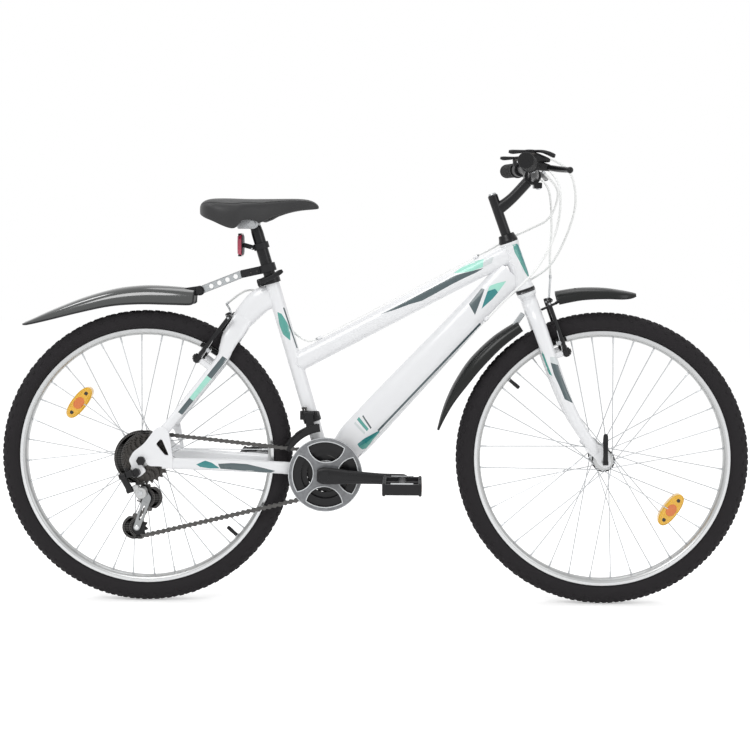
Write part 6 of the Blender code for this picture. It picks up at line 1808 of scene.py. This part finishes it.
COGS = (COG_TEETH, 24, 22, 20, 18, 16, 14)
cog_parts = []
for k, teeth in enumerate(COGS):
    phase, tall = (11 * k, 1) if k else (meshing(REAR_AXLE, teeth), 2.3)
    cog_parts += toothed("cog", REAR_AXLE, teeth, CHAIN_Y - 4.3 * k, 0.9, 16.4, OILED, phase, tall)
cone = [(16.3, -36.8), (22, -36.8), (22, -63.4), (19, -64.6), (16.3, -64.6)]
cog_parts.append(Shape().add(OILED, turned(cone, REAR_AXLE, SIDE, 48)).mesh("core"))
merged("seven_cog_freewheel", cog_parts, "freewheel", ["freewheel"])

HUB_CAP = [(3.9, 1.2), (7.4, 1.2), (7, 2.6), (3.9, 2.8)]
for label, centre in (("guide", GUIDE_AT), ("tension", TENSION_AT)):
    phase = meshing(centre, PULLEY_TEETH)
    parts = toothed("pulley", centre, PULLEY_TEETH, CHAIN_Y, 1.3, 4.2, NYLON, phase, 1.8)
    middle = centre + SIDE * CHAIN_Y
    caps = [turned(HUB_CAP, middle, SIDE * side, 28) for side in (1, -1)]
    parts.append(Shape().add(BRIGHT, *caps).mesh("boss"))
    merged(label + "_toothed_pulley", parts, label + "_pulley", [label + "_pulley"])
print("cogs with", COGS, "teeth; the largest has a pitch radius of", round(pitch_radius(COGS[0]), 1), "mm")

# %% [markdown]
# The guard over the outer ring is smoked polycarbonate: a hoop with four arms that flare at both ends,
# so each window is a lens. A window's outline is two arcs, one of the hoop and one that bows towards
# the hub. A raised lip runs round every window and round the hoop. The lips are pale grey, a painted
# highlight for the light that the edges of the clear plastic catch.

# %% Chain guard
def window(direction, outer=72.5, bow_centre=66.9, bow_radius=40.9, count=18):
    """Lens between the hoop's circle and an arc that bows towards the hub."""
    half = math.acos((outer ** 2 + bow_centre ** 2 - bow_radius ** 2) / (2 * outer * bow_centre))
    angles = [half * (1 - 2 * k / (count - 1)) for k in range(count)]
    outline = [(outer * math.cos(a), outer * math.sin(a)) for a in angles]
    tip = math.atan2(outline[-1][1], outline[-1][0] - bow_centre)
    turn = 2 * (math.pi - abs(tip))
    for k in range(1, count):
        a = tip - turn * k / count
        outline.append((bow_centre + bow_radius * math.cos(a), bow_radius * math.sin(a)))
    c = math.cos(math.radians(direction))
    s = math.sin(math.radians(direction))
    return [(BB.x + x * c - z * s, BB.z + x * s + z * c) for x, z in outline]


GUARD_RADIUS = 81.5
windows = [window(CRANK_DEG + 90 * k) for k in range(4)]
rim_section = [(79, -57.6), (GUARD_RADIUS, -57.6), (GUARD_RADIUS, -60), (80.4, -60.2), (79, -59.8)]
guard_plate = Shape().add(SMOKED,
    cut_plate(circle(BB.x, BB.z, GUARD_RADIUS, 72), windows + [circle(BB.x, BB.z, 14.4, 40)], -60, -58),
    turned(rim_section, BB, SIDE, 72))
guard_parts = [guard_plate.mesh("guard", 40)]
for outline in windows:
    guard_parts.append(bead([at(x, -59.7, z) for x, z in outline], PAINTED_HIGHLIGHT_EDGE, 1.15, 2, 0.25))
outer_lip = [at(x, -59.5, z) for x, z in circle(BB.x, BB.z, 80.6, 72)]
guard_parts.append(bead(outer_lip, PAINTED_HIGHLIGHT_EDGE, 0.85, 2, 0))
merged("smoked_guard", guard_parts, "crank", ["chainguard"])
print("chain guard is", 2 * GUARD_RADIUS, "mm across")

# %% [markdown]
# The cranks are forged steel in black enamel. Each swells at the axle boss and at the pedal eye, and
# two raised edges make a shallow channel between them. A plastic cap covers the axle bolt. The
# bearings of the axle sit in a cartridge, screwed into the frame with a notched ring on each side.

# %% Cranks
FORGING = ((-17, 73, 13, 6.2), (-10, 73, 16.6, 7), (0, 73, 18.6, 7.2), (26, 74.4, 17.2, 7.2),
    (60, 77, 14.5, 6.6), (120, 80, 12, 6.2), (160, 81.6, 12.6, 6.2), (171, 82, 12.8, 6),
    (178, 82.3, 10.6, 5.6), (181, 82.5, 7.6, 4.8))
CHANNEL_EDGE = ((34, 81.6), (60, 83.4), (100, 85.1), (140, 86.9))
for side, inner_y, degrees, label in ((-1, 48.4, CRANK_DEG, "right"), (1, 62, CRANK_DEG + 180, "left")):
    out = polar(BB, 1, degrees) - BB
    across = SIDE.cross(out)

    def spot(s, y):
        """Point s along the crank from its axle and y outwards."""
        return BB + out * s + SIDE * (side * y)

    path = smooth_path([(spot(s, y), wide, thick) for s, y, wide, thick in FORGING])
    lanes = [smooth_path([(spot(s, y) + across * edge, 0.9, 0.7) for s, y in CHANNEL_EDGE], 5)
        for edge in (-6.4, 6.4)]
    crank = Shape().add(BLACK,
        swept(path, 32, 0.72),
        rod(spot(0, inner_y), spot(0, 80.2), 13.6, 40, 1.2),
        *[swept(lane, 10) for lane in lanes],
        rod(spot(CRANK_LENGTH, 83), spot(CRANK_LENGTH, 91.6), 8, 28, 0.8))
    crank.add(NYLON, collar(BB, SIDE * side, [(10.6, 80), (11, 80.6), (10.6, 81.6), (8, 82.4)], 36))
    crank.add(ZINC,
        collar(spot(CRANK_LENGTH, 0), SIDE * side, [(7.6, 88.6), (7.8, 89), (7.8, 93.4), (7.2, 94)], 6),
        rod(spot(CRANK_LENGTH, 90), spot(CRANK_LENGTH, 191), 5, 20))
    if side > 0:
        crank.add(ZINC, rod(BB - SIDE * 73.6, BB + SIDE * 70, 8.5, 28))
    crank.piece("forged_crank_" + label, "crank", "black_paint", ["crank_" + label])

cups = [(9, -37), (20.4, -37), (21, -36.4), (21, -34.5), (17.1, -34.4), (17.1, 34.4), (21, 34.5),
    (21, 36.4), (20.4, 37), (9, 37)]
cup = Shape().add(BLACK, turned(cups, BB, SIDE, 44))
for k in range(12):
    for y in (-37, 35.8):
        cup.add(OILED, rod(polar(BB, 15.6, 30 * k, y), polar(BB, 15.6, 30 * k, y + 1.2), 1.7, 8, 0.2))
cup.piece("bearing_cartridge", "frame", "black_paint", ["bottom_bracket"])
print("cranks are", CRANK_LENGTH, "mm long")

# %% [markdown]
# A flat pedal is a moulded cage round a bearing barrel. Four bars frame the cage, a fifth crosses its
# middle, and rows of short studs on two of them grip the shoe at even steps. Small amber reflectors
# close its two long sides.

# %% Pedals
BEARING = [(5.5, -44), (10.6, -44), (11.6, -42), (11.6, -28), (10.2, -24), (10.2, 24), (11.6, 28),
    (11.6, 42), (10.6, 44), (5.5, 44)]
STUDS = [at(0, sign * (8 + k * 10.5), z) for sign in (-1, 1) for k in range(4) for z in (12.4, -12.4)]
for side, degrees, label in ((-1, CRANK_DEG, "right"), (1, CRANK_DEG + 180, "left")):
    centre = polar(BB, CRANK_LENGTH, degrees, side * 150)
    cage = Shape()
    for sign in (-1, 1):
        edge = centre + AHEAD * (sign * 38)
        flank = centre + SIDE * (sign * 41)
        cage.add(NYLON,
            bar(edge, SIDE, 44.6, AHEAD, 3.6, 12.6, 1.6),
            *[bar(edge + stud, SIDE, 3.2, AHEAD, 2.6, 1.5, 0.5) for stud in STUDS],
            bar(flank, AHEAD, 38, SIDE, 3.8, 11.6, 1.4))
        cage.add(ORANGE, bar(centre + AHEAD * (sign * 41.2), SIDE, 24, AHEAD, 0.75, 7.4, 0.4))
        cage.add(ZINC, bar(flank + UP * 12.2, AHEAD, 24, SIDE, 2.4, 1.5, 0.5))
    cage.add(NYLON,
        bar(centre, AHEAD, 38, SIDE, 3.2, 9, 1.2),
        turned(BEARING, centre, SIDE, 32),
        collar(centre, SIDE * side, [(8.6, 42.6), (9, 43.2), (8.4, 44.6), (6, 44.9)], 24))
    cage.piece("caged_pedal_" + label, "pedal_" + label, "black_plastic", ["pedal_" + label])
print(2 * len(STUDS), "studs on each pedal")

# %% [markdown]
# The rear derailleur hangs under the axle. Its black body bolts to the dropout, a short link carries
# the knuckle in and out, and the dull silver cage below holds two toothed pulleys that keep the chain
# tight. The cage is two stamped plates, each with a long slot. The knuckle is a die-cast barrel.

# %% Rear derailleur
LINK_TOP = REAR_AXLE + at(-39, -84, -33)
LINK_VECTOR = at(12, 20, -34)
LINK_AXIS = at(0.943, 0, 0.333).normalized()
LINK_LOW = LINK_TOP + LINK_VECTOR
middle = GUIDE_AT.lerp(TENSION_AT, 0.5)
run = (TENSION_AT - GUIDE_AT).normalized()
across = SIDE.cross(run)
slot_hole = [middle + run * (18 * math.cos(a)) + across * (3.4 * math.sin(a))
    for a in (2 * math.pi * k / 24 for k in range(24))]
side_plate = hull([(GUIDE_AT.x, GUIDE_AT.z, 9), (TENSION_AT.x, TENSION_AT.z, 7.2)], 32)
ear = hull([(GUIDE_AT.x, GUIDE_AT.z, 9), (KNUCKLE_AT.x, KNUCKLE_AT.z, 9)], 28)
PULLEY_BOLT = [(4.6, 0), (4.8, 0.3), (4.8, 1.4), (4, 1.9)]
cage = Shape().add(NICKEL,
    *[cut_plate(side_plate, [[(p.x, p.z) for p in slot_hole]], low, low + 1.6) for low in (-33.4, -44.2)],
    slab(ear, -46.4, -43.4, 0.4),
    rod(KNUCKLE_AT - SIDE * 45, KNUCKLE_AT - SIDE * 49.6, 7, 28))
for spot in (GUIDE_AT, TENSION_AT):
    cage.add(ZINC, rod(spot - SIDE * 32.4, spot - SIDE * 43.4, 3.4, 18))
    for y, way in ((-44.2, -1), (-31.8, 1)):
        cage.add(BRIGHT, collar(spot + SIDE * y, SIDE * way, PULLEY_BOLT, 20))
cage.piece("pulley_cage", "derailleur_cage", "steel", ["derailleur_cage"])

BARREL = [(0, 50), (12.6, 50), (13, 50.6), (13, 56), (12.2, 57), (12.2, 64), (13, 65), (13, 68.4),
    (11.6, 70), (0, 70)]
body = Shape().add(ANODISED,
    turned(BARREL, KNUCKLE_AT, -SIDE, 40),
    block(LINK_LOW + LINK_AXIS * 8, LINK_LOW + LINK_AXIS * 22, SIDE, 6.5, 6.5, 1.6))
body.add(ZINC, collar(KNUCKLE_AT, -SIDE, [(5.4, 69.8), (5.8, 70.4), (5.8, 72), (5, 72.6)], 6))
body.add(BRIGHT, rod(KNUCKLE_AT + at(-8, -58, -8), KNUCKLE_AT + at(-2, -66, -17), 2.6, 14))
body.piece("derailleur_body", "derailleur_knuckle", "alloy", ["derailleur_knuckle"])

arm = [(LINK_TOP + LINK_VECTOR * t, 5.4 + 0.6 * math.sin(math.pi * t), 7)
    for t in (0.02, 0.2, 0.4, 0.6, 0.8, 0.98)]
link = Shape().add(BLACK, swept(arm, 20, 0.65, LINK_AXIS))
for spot in (LINK_TOP, LINK_LOW):
    link.add(BLACK, pin(spot, LINK_AXIS, 7.5, 6.5, 28, 0.8))
    link.add(BRIGHT, rod(spot - LINK_AXIS * 8.2, spot - LINK_AXIS * 7.3, 3.2, 18, 0.3))
link.piece("parallel_link", "derailleur_link", "black_paint", ["derailleur_link"])

HANG_BOLT = at(REAR_AXLE.x - 10.5, 0, REAR_AXLE.z - 26)
HEAD = [(0, 74.5), (9.2, 74.5), (9.5, 75), (9.5, 88.6), (8.6, 90.4), (5, 91), (4.4, 88.6), (0, 88.4)]
mount = Shape().add(BLACK,
    turned(HEAD, HANG_BOLT, -SIDE, 36),
    block(LINK_TOP + LINK_AXIS * 8, LINK_TOP + LINK_AXIS * 24, SIDE, 6.5, 7, 1.6))
mount.add(ZINC, rod(HANG_BOLT - SIDE * 67.4, HANG_BOLT - SIDE * 76, 3.9, 18))
mount.add(NYLON, barrel(LINK_TOP + LINK_AXIS * 13 + at(0, -2, 5), at(-0.55, 0, 0.83), 11, 4.2))
mount.piece("derailleur_mount", "frame", "black_paint", ["derailleur_bracket"])
print("parallel link is", round(LINK_VECTOR.length, 1), "mm between its pins")

# %% [markdown]
# The front derailleur pushes the chain from ring to ring. A folded steel band grips the seat tube and
# holds a hinge pin, and a cage of two bent strips swings on that pin round the chain. The strips follow
# circles round the crank axle, so each is drawn as a sector of a ring.

# %% Front derailleur
CLAMP_AT = seat(122)
HINGE = CLAMP_AT + at(-4, -30, 14)
BAND_RING = [(16.4, 113), (19.6, 113), (20, 113.6), (20, 130.4), (19.6, 131), (16.4, 131)]
band = Shape().add(BLACK,
    turned(BAND_RING, BB, SEAT_UP, 44),
    block(CLAMP_AT + at(-12, -20.7, 1.5), CLAMP_AT + at(5, -20.7, 1.5), SIDE, 3.7, 5.5, 1),
    block(HINGE + at(-20, 7.7, -6), HINGE + at(20, 7.7, -6), SIDE, 1.9, 10, 0.8))
for side in (-1, 1):
    inner = HINGE + AHEAD * (side * 13.2)
    outer = HINGE + AHEAD * (side * 19)
    band.add(BLACK,
        rod(inner, outer, 4.6, 20),
        block(inner + at(0, 3.4, -0.5), outer + at(0, 3.4, -0.5), SIDE, 3.4, 3.5, 0.6))
for x in (-15, -9):
    band.add(OILED,
        rod(CLAMP_AT + at(x, -27, 9), CLAMP_AT + at(x - 2.5, -27, 25), 1.9, 12),
        rod(CLAMP_AT + at(x - 2.2, -27, 23), CLAMP_AT + at(x - 2.7, -27, 26.5), 3.2, 14, 0.4))
band.add(ZINC, rod(CLAMP_AT + at(2, -17, -4.4), CLAMP_AT + at(2, -25.4, -4.4), 3, 16))
band.piece("derailleur_band", "frame", "black_paint", ["front_derailleur_clamp"])


def sector(inner, outer, start, end, steps=20):
    """Outline of a strip round the crank axle; each radius is given at the start and at the end."""
    outline = []
    for (first, last), way in ((outer, 1), (inner, -1)):
        for k in range(steps + 1):
            share = k / steps if way > 0 else 1 - k / steps
            p = polar(BB, first + (last - first) * share, start + (end - start) * share)
            outline.append((p.x, p.z))
    return outline


chute = Shape().add(BLACK,
    slab(sector((95.5, 93), (110, 101), 98, 150), -43.6, -42.3, 0.3),
    slab(sector((91, 91), (109, 109), 98, 150), -33.4, -32.1, 0.3),
    slab(sector((107, 107), (110.5, 110.5), 100, 128), -43, -32.8, 0.3),
    pin(HINGE, AHEAD, 12.5, 5, 24),
    block(HINGE - at(0, 3, 0), polar(BB, 106, 109, -37.5), AHEAD, 9, 3, 1))
chute.piece("derailleur_chute", "front_derailleur_cage", "black_paint", ["front_derailleur_cage"])
print("front derailleur hinges", round((HINGE - BB).length), "mm from the crank axle")

# %% [markdown]
# Each control cable is a wire in a white sheath. The sheath runs in free curves from a lever to a stop
# on the frame, where the wire goes on bare. Sheaths and wires follow the same knots as the skeleton,
# swept as round skins, and metal ferrules cap each sheath. Brake cables end in a bent guide pipe.

# %% Control cables
FERRULE = [(0, -0.6), (2.3, -0.6), (3, 0), (3, 7.5), (2.6, 8.2), (0, 8.2)]


def run_length(points):
    return sum((b - a).length for a, b in zip(points, points[1:]))


def cable(name, body, node, sheaths, wires, extras=(), wire_skin=BRIGHT):
    parts = Shape()
    sheath_mm = 0
    wire_mm = 0
    for knots in sheaths:
        line = through(knots, 8)
        sheath_mm += run_length(line)
        parts.add(SHEATH, cable_skin(line, 2.5, 14))
        for end, before in ((line[0], line[2]), (line[-1], line[-3])):
            parts.add(ZINC, turned(FERRULE, end, (before - end).normalized(), 16))
    for knots in wires:
        line = through(knots, 4)
        wire_mm += run_length(line)
        parts.add(wire_skin, cable_skin(line, 0.8, 8))
    for finish, skin in extras:
        parts.add(finish, skin)
    parts.piece(name, body, "white_plastic", [node])
    print(name, "has", round(sheath_mm), "mm of sheath and", round(wire_mm), "mm of bare wire")


def noodle(top, lead):
    """Bent guide pipe, its collar at the arm, and the bellows on the bare wire."""
    pipe = through(lead + [top + at(0, y, 0) for y in (38, 30, 22)], 8)
    ribs = [(0.9, 0)]
    for k in range(7):
        ribs += [(2.9 + 0.3 * (k % 2), 0.4 + 5 * k), (4.4, 2.4 + 5 * k), (2.9, 4.6 + 5 * k)]
    ribs += [(0.9, 35.4)]
    bellows = turned(ribs, top + at(0, 18.5, 0), -SIDE, 20)
    ring = turned([(2.4, 30), (4.6, 30.2), (4.6, 35.6), (2.4, 36)], top, SIDE, 20)
    return [(ZINC, cable_skin(pipe, 2.45, 14)), (ZINC, ring), (RUBBER, bellows)]


def pulled_wire(top):
    """Bare wire between the tops of the two brake arms."""
    return [top + SIDE * 28, top, top - SIDE * 40]


TOP_FRONT = FRONT_PIVOT + STEER_UP * 116 + STEER_FWD * 11.95
TOP_REAR = REAR_PIVOT + REAR_BRAKE_UP * 112 + REAR_OUT * 11.95
lead = [TOP_FRONT + at(5, 54.5, 46), TOP_FRONT + at(4, 52, 34), TOP_FRONT + at(2, 47, 10)]
cable("front_brake_cable", "steering", "front_brake_housing",
    [[bar_point(112) + at(24, -8, -12), at(392, 84, 925), at(398, 62, 850), at(394, 54, 770), lead[0]]],
    [pulled_wire(TOP_FRONT)], noodle(TOP_FRONT, lead))
lead = [TOP_REAR + at(-12, 57, 20), TOP_REAR + at(-6, 56, 12), TOP_REAR + at(-1, 49, 2.5)]
cable("rear_brake_cable", "frame", "rear_brake_housing",
    [[bar_point(-112) + at(24, 8, -12), at(398, -70, 915), at(385, -30, 860), at(350, 34, 835),
    at(300, 40, 812), at(262, 27, 790), at(235, 9, 777), at(225, 0, 771.6)],
    [at(-123, 0, 589), at(-150, 6, 582), at(-190, 30, 606), at(-250, 46, 676), at(-290, 52, 692), lead[0]]],
    [[at(222, 0, 770.2), at(50, 0, 680), at(-120, 0, 590.5)], pulled_wire(TOP_REAR)],
    noodle(TOP_REAR, lead), SHEATH)
mouth = bar_point(-150) + at(-2, 15.45, 17)
cable("rear_shift_cable", "frame", "rear_shift_housing",
    [[mouth, mouth + SIDE * 10, at(380, -96, 984), at(425, -66, 955), at(440, -40, 890), at(424, 6, 815),
    at(392, 34, 752), at(340, 44, 712), at(285, 37, 668), at(250, 30, 634), at(247, 29.4, 630.8)]],
    [[at(246, 29.2, 629.8), at(80, 29.1, 451), at(-78, 29, 280), at(-100, 29, 271)]])
mouth = bar_point(150) + at(-2, -15.45, 17)
cable("front_shift_cable", "frame", "front_shift_housing",
    [[mouth, mouth - SIDE * 10, at(376, 90, 980), at(410, 52, 940), at(412, 10, 880), at(392, -34, 810),
    at(350, -42, 740), at(292, -37, 682), at(252, -31, 640), at(249, -30.4, 636.8)]],
    [[at(248, -30.2, 635.8), at(80, -30, 454), at(-78, -29, 280), at(-100, -29, 271)]])

# %% [markdown]
# Last, a look at the whole. A bicycle is sold by its wheel size and its length, so the outer sizes are
# measured.

# %% Sizes of the whole bicycle
bpy.context.view_layer.update()
low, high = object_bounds()
print("whole bicycle is", [round((b - a) * 1000) for a, b in zip(low, high)], "mm long, wide and high")
